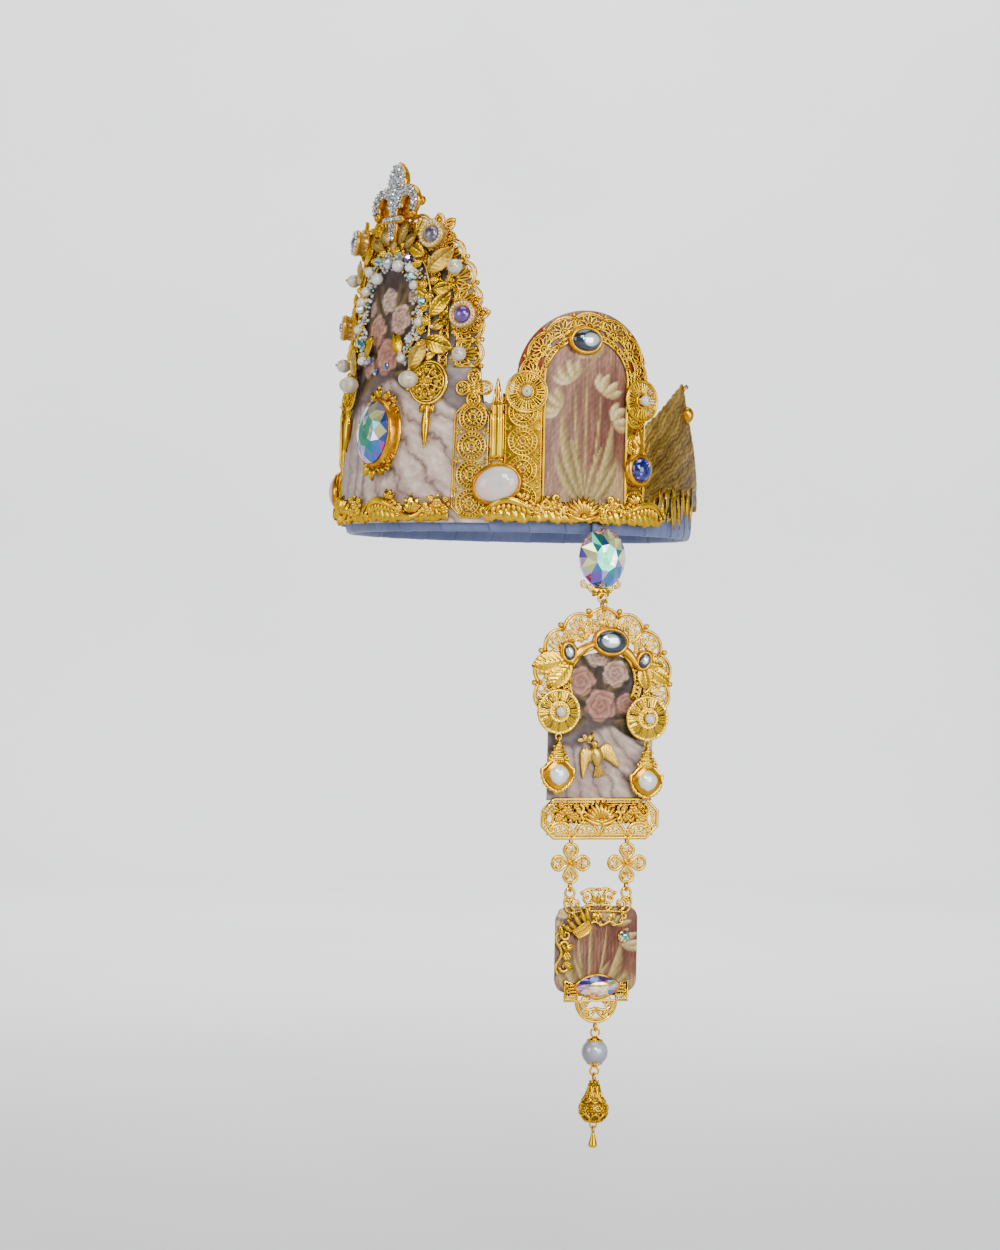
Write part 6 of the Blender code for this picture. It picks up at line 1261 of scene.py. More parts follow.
def wall_pearls():
    """Slightly uneven round pearls on gold pins."""
    rows = (("upper_l", 30.2, 115.0, 1.0), ("upper_r", -30.5, 115.3, .92), ("lower_l", 33.2, 76.8, .95),
        ("lower_r", -33.2, 76.8, .95))
    for tag, turn, height, size in rows:
        pile = Pile(spot(turn, height, STONE, LEAN), "pearl")
        r = 3.4 * size
        t = radians(span(-90, 90, 15))
        pile.add(lathe(stack((r * cos(t), r * (1.02 * sin(t) + 1) + .5), 1), 24))
        pile.add(lathe(((0, 2 * r + 1.3), (.5, 2 * r + 1.2), (.75, 2 * r + .75), (.4, 2 * r + .45),
            (0, 2 * r + .3)), 10), "polished_gilt")
        pile.add(lathe(((0, 1.2), (1.7, 1.1), (2.0, .5), (2.0, 0), (0, 0)), 16), "gilt")
        pile.build("wall_pearl_" + tag, "crown", ("pearl_" + tag,))


def bead_cluster():
    """Wreath of beads: larger pearls and cut beads in a thick drift of seed pearls."""
    pile = Pile(wrap(0, FILIGREE, LEAN), "pearl")
    a = radians(span(-52, 232, 120))
    pile.wire(vec(HALO_WIDTH * cos(a), HALO_HEIGHT + HALO_RISE * sin(a), 1.0), .9, "polished_gilt")
    lies = span(-52, 232, 15)
    b = radians(lies)
    aside = np.tile((1.4, -1.6, .6), 5)
    x, y = (HALO_WIDTH + aside) * cos(b), HALO_HEIGHT + (HALO_RISE + aside) * sin(b)
    kinds = array(("pearl", "clear_crystal", "pearl", "aqua_crystal", "pearl", "pearl", "clear_crystal",
        "clear_crystal", "aqua_crystal", "pearl", "pearl", "clear_crystal", "pearl", "aqua_crystal",
        "pearl"))
    cut = lathe(((0, 2.35), (.9, 2.1), (2.0, .8), (2.2, 0), (2.0, -.8), (.9, -2.1), (0, -2.35)), 8)
    for kind in ("pearl", "clear_crystal", "aqua_crystal"):
        which = kinds == kind
        if kind == "pearl":
            pile.add(balls(x[which], y[which], 3.0, 2.15, 11, 16), kind, tone=.9)
        else:
            pile.add(copies(cut, x[which], y[which], lies[which] * 2, 2.8), kind, tone="facet",
                smooth=False)
    rng = np.random.default_rng(5)
    count = bpy.context.scene.crown_sizes.seed_beads
    lie = radians(rng.uniform(-56, 236, count))
    aside = rng.normal(0, 2.5, count).clip(-5.2, 5.2)
    sx, sy = (HALO_WIDTH + aside) * cos(lie), HALO_HEIGHT + (HALO_RISE + aside) * sin(lie)
    size = rng.uniform(.50, 1.0, count)
    sz = .8 + rng.uniform(0, 2.6, count) * exp(-(aside / 3) ** 2)
    kind = rng.choice(5, count, p=(.40, .24, .20, .08, .08))
    for number, finish in enumerate(("pearl", "cream_pearl", "clear_crystal", "aqua_crystal",
            "polished_gilt")):
        which = kind == number
        facet = "facet" if "crystal" in finish else .8
        pile.add(balls(sx[which], sy[which], sz[which], size[which], 5, 6), finish, tone=facet)
    c = radians(span(-40, 220, 13))
    fx, fy = (HALO_WIDTH + 3.0) * cos(c), HALO_HEIGHT + (HALO_RISE + 3.0) * sin(c)
    for petal in range(5):
        pile.add(copies(leaf(2.3, 1.8, .4, 2, 7, 7, .3, .1), fx, fy, petal * 72 + degrees(c), 2.4),
            "cast_gilt")
    extra = ((-7.8, 113.0, 2.7, "pearl"), (8.6, 117.6, 2.9, "pearl"), (14.4, 121.0, 2.1, "amethyst"),
        (0.6, 119.0, 2.6, "clear_crystal"), (-16.5, 117.0, 2.4, "pearl"), (-23.5, 104.0, 2.3, "pearl"),
        (17.2, 112.4, 1.9, "aqua_crystal"))
    for ex, ey, r, finish in extra:
        if finish == "pearl":
            pile.add(balls(ex, ey, 3.2, r, 11, 16), finish, tone=.9)
        else:
            pile.add(copies(cut, ex, ey, 20, 3.0, r / 2.2), finish, tone="facet", smooth=False)
    pile.add(balls(array((-7.8, 8.6, -16.5, -23.5)) - 2.2, array((113.0, 117.6, 117.0, 104.0)), 4.2, .6, 6,
        8), "polished_gilt")
    for gx, gy in ((-6.0, 71.5), (2.5, 73.5), (-12.5, 77.0)):
        gem(pile, (1.6, 1.6), .1, 1.3, "aurora_and_painted_light", .5, 6, lambda p: pile.place(p + array((gx, gy, 0))))
    pile.build("bead_cluster", "crown", ("bead_halo",))


def rose(pile, x, y, r, z, finish=None):
    """Small gold rose: rings of cupped petals, smaller and higher toward the middle."""
    for share, count, up in ((1.0, 6, 0), (.74, 5, .6), (.48, 4, 1.2)):
        pile.add(copies(leaf(r * share, r * share * 1.05, .5, 1, 7, 7, .4, .05, .45), x, y,
            arange(count) * 360 / count + 70 * share, z + up), finish)
    pile.add(balls(x, y, z + 1.9, r * .22, 7, 10), finish)


def leaf_sprays():
    """Gilt leaves beside the front picture, with small roses where the stalks meet."""
    rows = array(((27.0, 114.0, 36, 16.5, 9.4), (24.5, 121.5, 150, 11.0, 6.6), (30.0, 94.5, 44, 14.0, 7.4),
        (28.5, 84.0, -18, 14.5, 8.2), (21.5, 70.5, 62, 15.0, 8.0), (30.5, 105.5, 8, 10.5, 5.6)))
    more = array(((14.0, 78.0, 118, 11.0), (26.0, 76.0, 20, 9.0), (31.5, 99.5, -30, 8.5),
        (27.5, 103.0, 150, 9.0), (15.5, 124.5, 62, 10.5), (31.0, 88.5, 30, 8.0), (9.0, 125.0, 100, 9.5),
        (25.0, 88.5, 120, 8.0)))
    for side, tag in SIDES:
        pile = Pile(wrap(0, STONE, LEAN, side), "cast_gilt")
        stem = array(((28.0, 76), (29.4, 86), (29.4, 97), (28.4, 107), (25.4, 116), (19.5, 124)))
        share, grid = span(0, 5, 40), arange(6)
        pile.wire(vec(interp(share, grid, stem[:, 0]), interp(share, grid, stem[:, 1]), .7), .6)
        for index, (x, y, lie, length, width) in enumerate(rows):
            pile.add(copies(leaf(length, width, .5, 7, 29, 15, .5, .30, .7), x, y, lie, 1.5),
                "dull_gilt" if index in (0, 4) else "cast_gilt")
        for x, y, lie, length in more:
            pile.add(copies(leaf(length, length * .60, .5, 6, 21, 11, .5, .3, .6), x, y, lie, .3))
        for x, y, r in ((27.4, 92.5, 2.9), (28.2, 103.0, 2.9), (20.6, 118.6, 2.6), (25.6, 82.0, 2.6),
                (13.2, 121.6, 2.4), (5.6, 124.4, 2.3), (30.6, 110.2, 2.5), (24.8, 108.6, 2.6)):
            rose(pile, x, y, r, .8)
        pile.add(balls(stem[:-1, 0] + 1.9, stem[:-1, 1] + 3.5, 1.6, .85, 7, 10), "pearl", tone=.8)
        pile.build("gilt_leaves_" + tag, "crown", ("leaf_spray_" + tag,))


def fleur():
    """Fleur-de-lis of small brilliants on a thick amber body, with leaves at its foot."""
    pile = Pile(spot(2, FLEUR_FOOT, STONE, LEAN), "gilt")

    def half_width(t):
        """Half of the petal's width at a share of its height."""
        return interp(t, (0, .22, .40, .55, .68, .80, .92, 1), (1.9, 2.0, 3.6, 5.4, 6.0, 5.0, 2.5, .3))
    t = span(0, 1, 25)
    right = stack((half_width(t), 10.1 + 25.9 * t), 1)
    petal = concatenate((right, right[::-1][1:-1] * (-1, 1)))
    for edge, high in ((petal, 3.4), (octagon(-6.9, 6.9, 8.1, 11.3, .9), 3.7),
            (octagon(-2.5, 2.5, .1, 11.5, .7), 3.2)):
        flat = edge[:, :2]
        inner = flat.mean(0) + (flat - flat.mean(0)) * .86
        rows = [vec(flat[:, 0], flat[:, 1], z) for z in (0, high * .75)]
        rows += [vec(inner[:, 0] * .985, inner[:, 1], high), vec(*flat.mean(0)[:, None] + 0 * flat.T, high)]
        pile.add(concatenate((vec(*flat.mean(0)[:, None] + 0 * flat.T, 0)[None], stack(rows))), "amber")
    index = span(0, 1, 44)
    taper = interp(index, (0, .25, .8, 1), (1.7, 2.3, 2.1, 1.0))
    points, sizes = [], []
    for way in (-1, 1):
        a = radians(200 - 241 * index)
        arm = vec(way * (8.3 + 6.0 * cos(a)), 16.6 + 6.0 * sin(a), 1.6)
        pile.wire(arm, taper + .75, "amber", sides=10, flat=.66)
        pile.add(lathe(((0, 1.4), (5.4, 1.4), (5.6, 0), (0, 0)), 28) + array((way * 7.8, 15.6, 0)), "amber")
        for radius, count in ((7.2, 15), (5.7, 12), (4.3, 8)):
            b = radians(200 - 241 * span(.02, .94, count))
            high = 3.7 - .25 * (radius - 5.8) ** 2 + 0 * b
            points += list(zip(way * (8.3 + radius * cos(b)), 16.6 + radius * sin(b), high))
            sizes += [.88] * count
        pile.add(balls(way * 12.6, 11.9, 1.9, 2.2, 9, 14), "amber")
        pile.add(lathe(((0, 6.6), (1.3, 6.2), (2.0, 4.6), (1.5, 2.6), (1.8, 0), (0, 0)), 14), "amber",
            lambda p: pile.place(vec(way * (13.6 + p[..., 2] * .75), 17.4 + p[..., 0] * 1.15,
            .6 + p[..., 1] * .8)))
    for column in range(13):
        y = 11.9 + column * 1.82
        wide = half_width(array((y - 10.1) / 25.9)) - .75
        count = max(1, int(round(2 * wide / 1.8)) + 1)
        row = span(-wide, wide, count) if count > 1 else np.zeros(1)
        points += [(x, y, 3.75 - .02 * x * x) for x in row]
        sizes += [.95] * count
    points += [(x, 9.7, 4.1) for x in span(-5.6, 5.6, 7)] + [(x, y, 3.5) for x in (-1.2, 1.2) for y in (1.2,
        3.2, 5.2, 7.2)]
    sizes += [.95] * 7 + [.95] * 8
    points, sizes = array(points, float), array(sizes)
    cut = lathe(((0, .85), (.50, .80), (.96, .25), (1.0, 0), (.7, -.5), (0, -.5)), 8)
    pile.add(copies(cut, points[:, 0], points[:, 1], arange(len(points)) * 17.0, points[:, 2], sizes),
        "clear_crystal", tone="facet", smooth=False)
    pile.add(balls(points[:, 0] + .9, points[:, 1] + .9, points[:, 2] + .05, .30, 5, 6), "mirror_stone")
    for x, y, lie, length in ((-3.6, -1.5, 118, 10.0), (3.8, -1.5, 60, 11.5), (-7.4, -3.0, 146, 9.0),
            (8.2, -3.2, 34, 9.5), (0.4, -6.0, 84, 8.0)):
        pile.add(copies(leaf(length, length * .58, .6, 7, 29, 13, .5, .34, .8), x, y, lie, .8),
            "rough_bronze")
    pile.build("fleur_de_lis", "crown", ("fleur_finial",))


# The hung pieces
def at(x, y, z=0.0, roll=0.0, place=hang):
    """Place of a piece shifted and turned within the hung frame."""
    c, s = cos(radians(roll)), sin(radians(roll))

    def laid(p):
        across, up = x + p[..., 0] * c - p[..., 1] * s, y + p[..., 0] * s + p[..., 1] * c
        return place(vec(across, up, z + p[..., 2]))
    return laid


def ring_edge(pile, x, y, r, wire, z=0.0, finish="polished_gilt"):
    """Jump ring seen on its edge, its opening facing sideways."""
    a = circle(20)
    x, y = np.broadcast_arrays(np.asarray(x, float)[..., None], np.asarray(y, float)[..., None])
    path = vec(x + 0 * a, *around(r, a, y, z))
    pile.wire(path, wire, finish, shut=True, sides=8, up=(1, 0, 0))


def stud():
    """Oval brilliant that carries the pendant, on a beaded scroll fan and a ribbon tab."""
    pile = Pile(at(-.8, 19.1, -4.3), "cast_gilt")
    half = (10.5, 13.0)
    gem(pile, half, 1.4, 9.5, "aurora_and_painted_light", .46, 9)
    pile.add(turned(half, ((0, 0, 0), (1, -2.2, 0), (1, -.5, 1.5), (.9, 0, 1.6), (0, 0, 1.6)), 40),
        "clear_crystal")
    pile.add(copies(leaf(6.0, 3.6, .6, 4, 15, 9, .5, .3, .4), 0, -11.8, (-90, -52, -128), 1.2))
    for way in (-1, 1):
        pile.wire(curl(way * 4.8, -12.4, 2.1, 90, 430 * way, .15, 24, 1.9), span(.75, .4, 24))
        pile.wire(curl(way * 7.6, -11.6, 1.6, 90, -400 * way, .15, 22, 1.8), span(.65, .4, 22))
    pile.add(balls(array((-6.6, -4.5, -2.2, 0, 2.2, 4.5, 6.6)),
        array((-12.6, -14.4, -15.6, -16, -15.6, -14.4, -12.6)), 2.0, .75, 6, 9))
    pile.wire(oval(0, 1.95 - 19.1, 1.95, count=22, z=4.3), .5, "polished_gilt", shut=True, sides=8)
    tab = wrap(78.0, PANEL, 0.0)
    pile.add(shell(vec(span(-2.6, 2.6, 6)[None] + 0 * span(0, 1, 9)[:, None], span(-11, 6.5, 9)[:, None],
        1.2), 1.0), "ribbon", tab)
    pile.build("stud_stone", "crown", ("stud_crystal",))


def pendant_rings():
    """Two thin jump rings side by side, between the stud and the pendant."""
    pile = Pile(hang, "polished_gilt")
    for x in (-.31 * 1.6, .31 * 1.6):
        ring_edge(pile, x, -1.4, 2.6, .4)
    pile.build("pendant_jump_rings", "pendant", ("pendant_ring",))


def pendant_picture():
    """Long hung sheet with a round head, painted with roses over satin."""
    pile = Pile(at(0, 0, -1.65))
    a = radians(span(180, 0, 101))
    x = PICTURE_HALF * cos(a)
    high = (PICTURE_TOP - PICTURE_HALF) + PICTURE_HALF * sin(a) + 0 * x
    x[0], x[-1] = -PICTURE_HALF, PICTURE_HALF
    painted_sheet(pile, x, PICTURE_BOTTOM, high, .9, lambda u, v: .82 * garden_painting(u + 1.5,
        v - PICTURE_BOTTOM + 26, .86), 156)
    pile.build("pendant_picture", "pendant", ("pendant_panel",))


def pendant_lace():
    """Crescent of pierced work on the pendant's head, with an eyelet and five leaves."""
    pile = Pile(hang)
    lace(pile, round_band(ARCH_Y, CRESCENT_INNER, CRESCENT_OUTER, -28, 208), 9, .60, 0)
    pile.wire(oval(0, -4.9, 2.2, 1.7, count=20), .5, "polished_gilt", shut=True, sides=8)
    pile.add(copies(leaf(4.4, 2.6, .6, 3, 11, 7), 0, -7.2, (-60, -120, -90), -.2))
    rows = array(((-16.4, 9.6, 192, 16.6), (-14.8, 8.4, 229, 15.8), (16.0, 9.0, -10, 12.0),
        (18.0, 7.6, -78, 11.5), (20.5, 6.2, -34, 12.5)))
    for x, y, lie, length in rows:
        pile.add(copies(leaf(length, length * .58, .5, 8, 33, 15, .5, .34, .5), x, ARCH_Y + y, lie, .3),
            "cast_gilt")
    pile.build("pendant_lace", "pendant", ("pendant_arch",))


def pendant_set_stones():
    """Three grey cabochons on the crescent, and the resin collar that runs under them."""
    pile = Pile(hang, "amber")
    rows = ((3.0, -17.0, 7.1, 5.1, -4, 4.5), (-16.0, -21.8, 2.6, 3.6, 10, 3.4), (18.6, -25.0, 2.6, 3.6, -28,
        3.4))
    whole = pile.place
    for x, y, rx, ry, roll, depth in rows:
        pile.place = at(x, y, .75, roll)
        # The painted highlight on each of these stones sits left of its middle
        stone(pile, (rx, ry), depth, "mirror_stone", 1.44, glow=-.14)
    pile.place = whole
    a = radians(span(26, 152, 60))
    swell = 1.7 + .35 * sin(a * 9)
    up = span(0, 1, 11)[:, None] * pi
    arc = cos(up) * swell[None]
    top = vec(*around(17.1 + arc, a, 0, -34.7), .8 + 1.5 * sin(up) ** .7 + 0 * arc)
    pile.add(shell(top, .5))
    pile.build("pendant_stones_set", "pendant", ("pendant_stones",))


def ray_discs():
    """Ridged discs on the pendant's flanks, and the pearl drops that hang from them."""
    for name, x, y in (("front", -20.5, -47.4), ("back", 20.2, -50.0)):
        pile = Pile(at(x, y, 2.15), "cast_gilt")
        r, turn = span(0, 1, 22)[:, None], circle(180)[None]
        between = step(.80, .97, -cos(10 * turn)) * step(.44, .5, r) * step(.93, .86, r)
        ridge = .20 * cos(40 * turn) * step(.42, .50, r) * step(.95, .88, r) * (1 - between)
        rim = .45 * exp(-((r - .96) / .03) ** 2) + .45 * exp(-((r - .43) / .035) ** 2)
        rim = rim + .35 * exp(-((r - .30) / .03) ** 2) + .12 * cos(20 * turn) * step(.31, .35,
            r) * step(.42, .38, r)
        z = .5 + 1.4 * (1 - r ** 2) + ridge + rim - .35 * between
        top = vec(*around(9.8 * r, turn), z)
        under = vec(*around(9.8 * r, turn), 0 * z)[[0, -1]]
        # Painted light and shade: the ridges and rims lighter, the sunken slots between the spoke groups
        # darker
        deep = clip(.80 + .9 * ridge + .6 * rim - .30 * between, 0, 1)
        pile.add(concatenate((under, top[::-1])), deep=concatenate((0 * z[:2], deep[::-1])))
        a = (arange(10) + .5) * 2 * pi / 10
        # Dark caps in the lining colour stand for the shade inside the pierced holes
        shaded_hole = lathe(((0, .25), (.7, .2), (1, 0), (.6, -.4), (0, -.4)), 8)
        for reach, size, high in ((8.0, .52, .75), (5.3, .36, 1.4)):
            pile.add(copies(shaded_hole * (size, size, 1), *around(reach, a), 0, high), "lining_and_hole_shade", deep=.1)
        b = circle(8)
        pile.add(copies(leaf(1.7, 1.3, .3, 1, 7, 7, .4, .1), *around(1.6, b), degrees(b), 1.9))
        pile.add(balls(0, 0, 3.5, 2.2, 12, 18), "pearl", tone=.9)
        b = circle(18)
        pile.add(balls(*around(2.6, b), 2.5, .40, 5, 8))
        pile.wire(oval(0, -10.7, 1.3, count=16, z=.6), .4, "polished_gilt", shut=True, sides=7)
        pile.add(lathe(((0, 0), (2.6, 0), (2.6, -2.6), (0, -2.6)), 14))
        pile.build("rayed_disc_" + name, "pendant", ("ray_disc_" + name,))
        side_drop(name, x, y)


def side_drop(name, x, y):
    """Drop under a rayed disc: stepped palmette head, beaded resin cup and a white cabochon."""
    pile = Pile(at(x, y, 2.15), "cast_gilt")
    ring_edge(pile, 0, -12.3, 1.3, .38, .6)
    up = span(0, 1, 26)
    wide = interp(up, (0, .18, .24, .45, .52, .80, .90, 1), (4.6, 4.2, 3.0, 3.2, 2.3, 2.0, 1.1, .5))
    v = span(-1, 1, 19)[None]
    groove = .30 * cos(9 * v * pi * (1 - .3 * up[:, None])) * (1 - v ** 2) + .35 * cos(up[:, None] * 30)
    pile.add(shell(vec(wide[:, None] * v, (-21.4 + 8.4 * up)[:, None], 1.3 + .9 * (1 - v ** 2)
        + .6 * groove), 1.0))
    for way in (-1, 1):
        pile.wire(curl(way * 3.9, -19.8, 1.2, 90, 400 * way, .15, 18, 1.6), span(.6, .4, 18))
        pile.add(balls(way * array((2.9, 2.2)), array((-17.4, -14.8)), 1.5, .6, 6, 9))
    pile.add(balls(0, array((-13.4, -16.0)), 2.0, .85, 6, 9))
    a = radians(span(0, 360, 121)[:-1])
    low = step(.25, -.1, sin(a))
    edge = 7.1 + .55 * np.abs(sin(9 * a)) * low + 1.2 * exp(-((np.abs(cos(a)) - .96) / .05) ** 2) * (sin(a)
        > 0)
    rows = [(0, 0), (1, 0), (1.0, .9), (.93, 1.4), (.84, 1.0), (0, 1.0)]
    plate = stack([vec(*around(edge * s, a, 0, -27.0), z) for s, z in rows])
    pile.add(plate)
    b = radians(span(188, 352, 13))
    pile.add(balls(*around(7.2, b, 0, -27.0), 1.1, .62, 6, 9))
    pile.add(copies(leaf(2.6, 2.0, .4, 2, 9, 7, .5, .15), 0, -33.3, (-90, -50, -130), .4))
    square = oval(0, -27.0, 1, count=48)
    lie = arctan2(square[:, 1] + 27.0, square[:, 0])
    reach = 6.2 / (np.abs(cos(lie)) ** 1.5 + np.abs(sin(lie)) ** 1.5) ** (1 / 1.5) * 1.06
    cup = [(1, .9), (1.04, 1.6), (.95, 2.3), (.80, 2.2), (.72, 2.9), (.64, 2.8), (0, 2.4)]
    pile.add(stack([vec(0 * reach, -27.0 + 0 * reach, .9)] + [vec(*around(reach * s, lie, 0, -27.0), z)
        for s, z in cup]), "amber")
    pile.place = at(x, y - 27.0, 2.15)
    t = radians(span(0, 90, 10))
    pile.add(lathe(concatenate((stack((4.2 * cos(t), 2.6 + 2.0 * sin(t)), 1)[::-1], ((0, 2.5),))), 28),
        "white_cabochon")
    pile.build("side_drop_jewel_" + name, "pendant", ("side_drop_" + name,))


def dove():
    """Small cast dove: raised wings with hanging tips, a fanned tail and a sprig in its beak."""
    pile = Pile(at(-2.4, -66.7, -.45, 11), "dull_gilt")
    u = span(0, 1, 25)
    half = 3.0 * sin(pi * clip(u, .02, 1) ** .78) ** .8
    turn = circle(18)
    scales = 1 + .035 * cos(u[:, None] * 50) * cos(6 * turn + 3 * cos(u[:, None] * 50))
    pile.add(vec(half[:, None] * cos(turn) * scales, (5.0 - 10.2 * u)[:, None],
        1.5 + .72 * half[:, None] * sin(turn) * scales))
    pile.add(balls(-.1, 5.6, 2.0, 1.75, 9, 14))
    pile.add(copies(leaf(2.4, 1.0, .4, 1, 7, 7, .5, 0), -1.0, 6.2, 160, 1.7))
    share, across = span(0, 1, 31)[:, None], span(0, 1, 13)[None]
    grid = span(0, 1, 6)
    lead = (array((1.4, 3.6, 6.0, 7.9, 8.9, 9.5)), array((2.6, 4.6, 4.9, 3.0, -1.2, -6.2)))
    trail = (array((1.6, 2.8, 4.0, 5.4, 7.0, 9.2)), array((-1.8, -1.6, -1.8, -3.4, -5.2, -7.0)))
    for way, drop in ((-1, -1.6), (1, .4)):
        spots = [interp(share, grid, side) for side in (*lead, *trail)]
        x = spots[0] + (spots[2] - spots[0]) * across
        y = spots[1] + (spots[3] - spots[1]) * across + drop * share ** 2
        x = x * (1 - .16 * share * (way < 0))
        feather = .16 * cos(2 * pi * 7 * across + 3 * share) * step(.35, .6, share + .3 * across)
        feather = feather + .10 * cos(2 * pi * 9 * share) * step(.55, .3, share)
        z = 1.5 + .9 * sin(pi * clip(.12 + .8 * across, 0, 1)) * (1 - .5 * share) + feather
        sheet = shell(vec(way * x, y, z), .9)
        pile.add(sheet if way > 0 else sheet[:, ::-1])
    down, aside = span(0, 1, 17)[:, None], span(-1, 1, 25)[None]
    fan = (.9 + 1.9 * down) * aside
    low = -3.9 - 5.0 * down - .35 * cos(aside * 4.5 * pi) * step(.8, 1, down) + .5 * aside ** 2 * down
    pile.add(shell(vec(fan, low, 1.2 + .22 * cos(aside * 5 * pi) * step(.1, .4, down) + .5 * (1 - down)),
        .8))
    pile.wire(bow(-2.2, 6.6, -5.0, 8.2, -.5, 9, 1.8), .38)
    pile.add(copies(leaf(3.0, 1.7, .35, 3, 9, 7), (-2.4, -3.4, -4.6, -3.0), (7.0, 7.8, 8.2, 7.6),
        (70, 110, 172, 30), 1.6), "cast_gilt")
    ring_edge(pile, 0, 9.2, 1.3, .35, 1.0)
    pile.wire(bow(0, 6.8, 0, 8.2, 0, 3, 1.2), .5)
    pile.build("cast_dove", "pendant", ("dove",))


def bar():
    """Cross bar: framed row of half rosettes, with a cast strip of shell and posies over it."""
    pile = Pile(at(0, BAR_Y, 0), "cast_gilt")
    cut, half, tall = 5.2, BAR_HALF, BAR_TALL
    for inset, wire, z in ((.4, .8, .45), (1.7, .5, .5), (2.7, .4, .3)):
        pile.wire(octagon(-half + inset, half - inset, -tall + inset, tall - inset, cut, z), wire,
            "polished_gilt", shut=True)
    line = octagon(-half + 1.1, half - 1.1, -tall + 1.1, tall - 1.1, cut, .7)
    corners = concatenate((line, line[:1]))
    run = concatenate(((0,), np.cumsum(np.linalg.norm(np.diff(corners, axis=0), axis=1))))
    beads = [interp(span(0, run[-1], 96)[:-1], run, corners[:, i]) for i in (0, 1)]
    pile.add(balls(beads[0], beads[1], .8, .46, 5, 6))
    x = span(-18.0, 18.0, 4)
    a = radians(span(0, 180, 19))
    for r, wire in ((5.7, .74), (4.3, .6), (2.2, .55)):
        pile.wire(vec(x[:, None] + r * cos(a), -tall + 1.6 + r * sin(a), .4), wire)
    b = radians(span(8, 172, 13))
    pile.wire(bow(x[:, None] + 4.2 * cos(b), -tall + 1.6 + 4.2 * sin(b), x[:, None] + 5.7 * cos(b),
        -tall + 1.6 + 5.7 * sin(b), 0, 3, .4), .4, sides=4)
    b = radians((50, 90, 130))
    pile.add(copies(leaf(2.0, 1.2, .3, 1, 7, 7, .4, .1), (x[:, None] + 2.2 * cos(b)).ravel(),
        (-tall + 1.6 + 2.2 * sin(b) + 0 * x[:, None]).ravel(), np.tile(degrees(b), 4), .1))
    for way in (-1, 1):
        pile.wire(oval(way * 23.0, 0, 1.5, 2.6, count=20, z=.4), .6, "polished_gilt", shut=True)
        pile.wire(curl(way * 22.2, array((4.6, -4.6)), 1.8, 180, array((1, -1)) * 420 * way, .15, 24, .6),
            span(.75, .45, 24)[None])
        pile.wire(oval(way * 20.4, array((2.4, -2.4)), 1.3, count=12, z=.5), .45, shut=True)
    middle = array((-12.0, 0, 12.0))
    pile.wire(oval(middle, -tall + 7.4, 1.5, count=4, z=.45), .45, shut=True)
    pile.wire(oval(array((-1, 1)) * LINK_X, -6.45, 2.0, 1.8, count=18, z=.7), .55, "polished_gilt",
        shut=True)
    sheet = shell(vec(span(-21.5, 21.5, 60)[None] + 0 * span(0, 1, 9)[:, None], span(-2.2, 6.8, 9)[:, None],
        .1), .55)
    pile.add(sheet, deep=.25)
    pile.place = at(0, BAR_Y - 8.6, -.7)
    for kind, px, way in (("shell", 0, 1), ("posy", -15.6, 1), ("posy", 15.6, -1)):
        ornament(pile, kind, px, way)
    cup = bow(-6.4, TRIM_MIDDLE - .4, 6.4, TRIM_MIDDLE - .4, -3.6, 21, 2.4)
    pile.wire(cup, .5 + .8 * sin(pi * span(0, 1, 21)), "polished_gilt")
    pile.wire(curl(array((-9.8, 9.8)), TRIM_MIDDLE + 1.0, 2.2, 90, array((-430, 430)), .15, 24, 2.2),
        span(.9, .45, 24)[None])
    pile.build("cast_bar", "pendant", ("pendant_bar",))


def links():
    """Two four-lobed links that join the bar to the connector, each on two jump rings."""
    t = radians(span(0, 360, 25)[:-1])
    reach = 4.9 + 3.5 * cos(t)
    lobe = vec(reach, 3.15 * sin(t) * clip((reach - .4) / 5.0, .2, 1) ** .7, .15)
    for name, way in (("front", -1), ("back", 1)):
        pile = Pile(at(way * LINK_X, LINK_Y, 0), "gilt")
        lies = arange(4) * 90.0
        pile.wire(copies(lobe[None], 0, 0, lies).reshape(-1, 24, 3), .74, shut=True, sides=7)
        a = radians(lies)
        for side in (-1, 1):
            x, y = 6.0 * cos(a) - side * 1.35 * sin(a), 6.0 * sin(a) + side * 1.35 * cos(a)
            pile.wire(curl(x, y, 1.15, lies + 90 * side, side * 380, .3, 14, .15), .48)
            x, y = 3.6 * cos(a) - side * .8 * sin(a), 3.6 * sin(a) + side * .8 * cos(a)
            pile.wire(oval(x, y, .95, .55, lies + 12 * side, 9, .2), .42, shut=True)
        pile.add(balls(*around(4.7, a), .3, .62, 6, 9))
        pile.wire(oval(0, 0, 1.9, count=24, z=.5), .5, shut=True)
        b = arange(8) * pi / 4
        pile.add(balls(*around(1.9, b), .9, .55, 6, 9))
        pile.add(balls(0, 0, .9, .95, 7, 10))
        pile.add(balls(*around(8.1, a), .3, .8, 6, 9))
        pile.add(lathe(((0, .9), (1.8, .6), (2.2, 0), (1.8, -.5), (0, -.5)), 16))
        ring_edge(pile, 0, array((10.3, -10.3)), 1.9, .45)
        pile.build("flower_link_" + name, "plaque_group", ("link_" + name,))


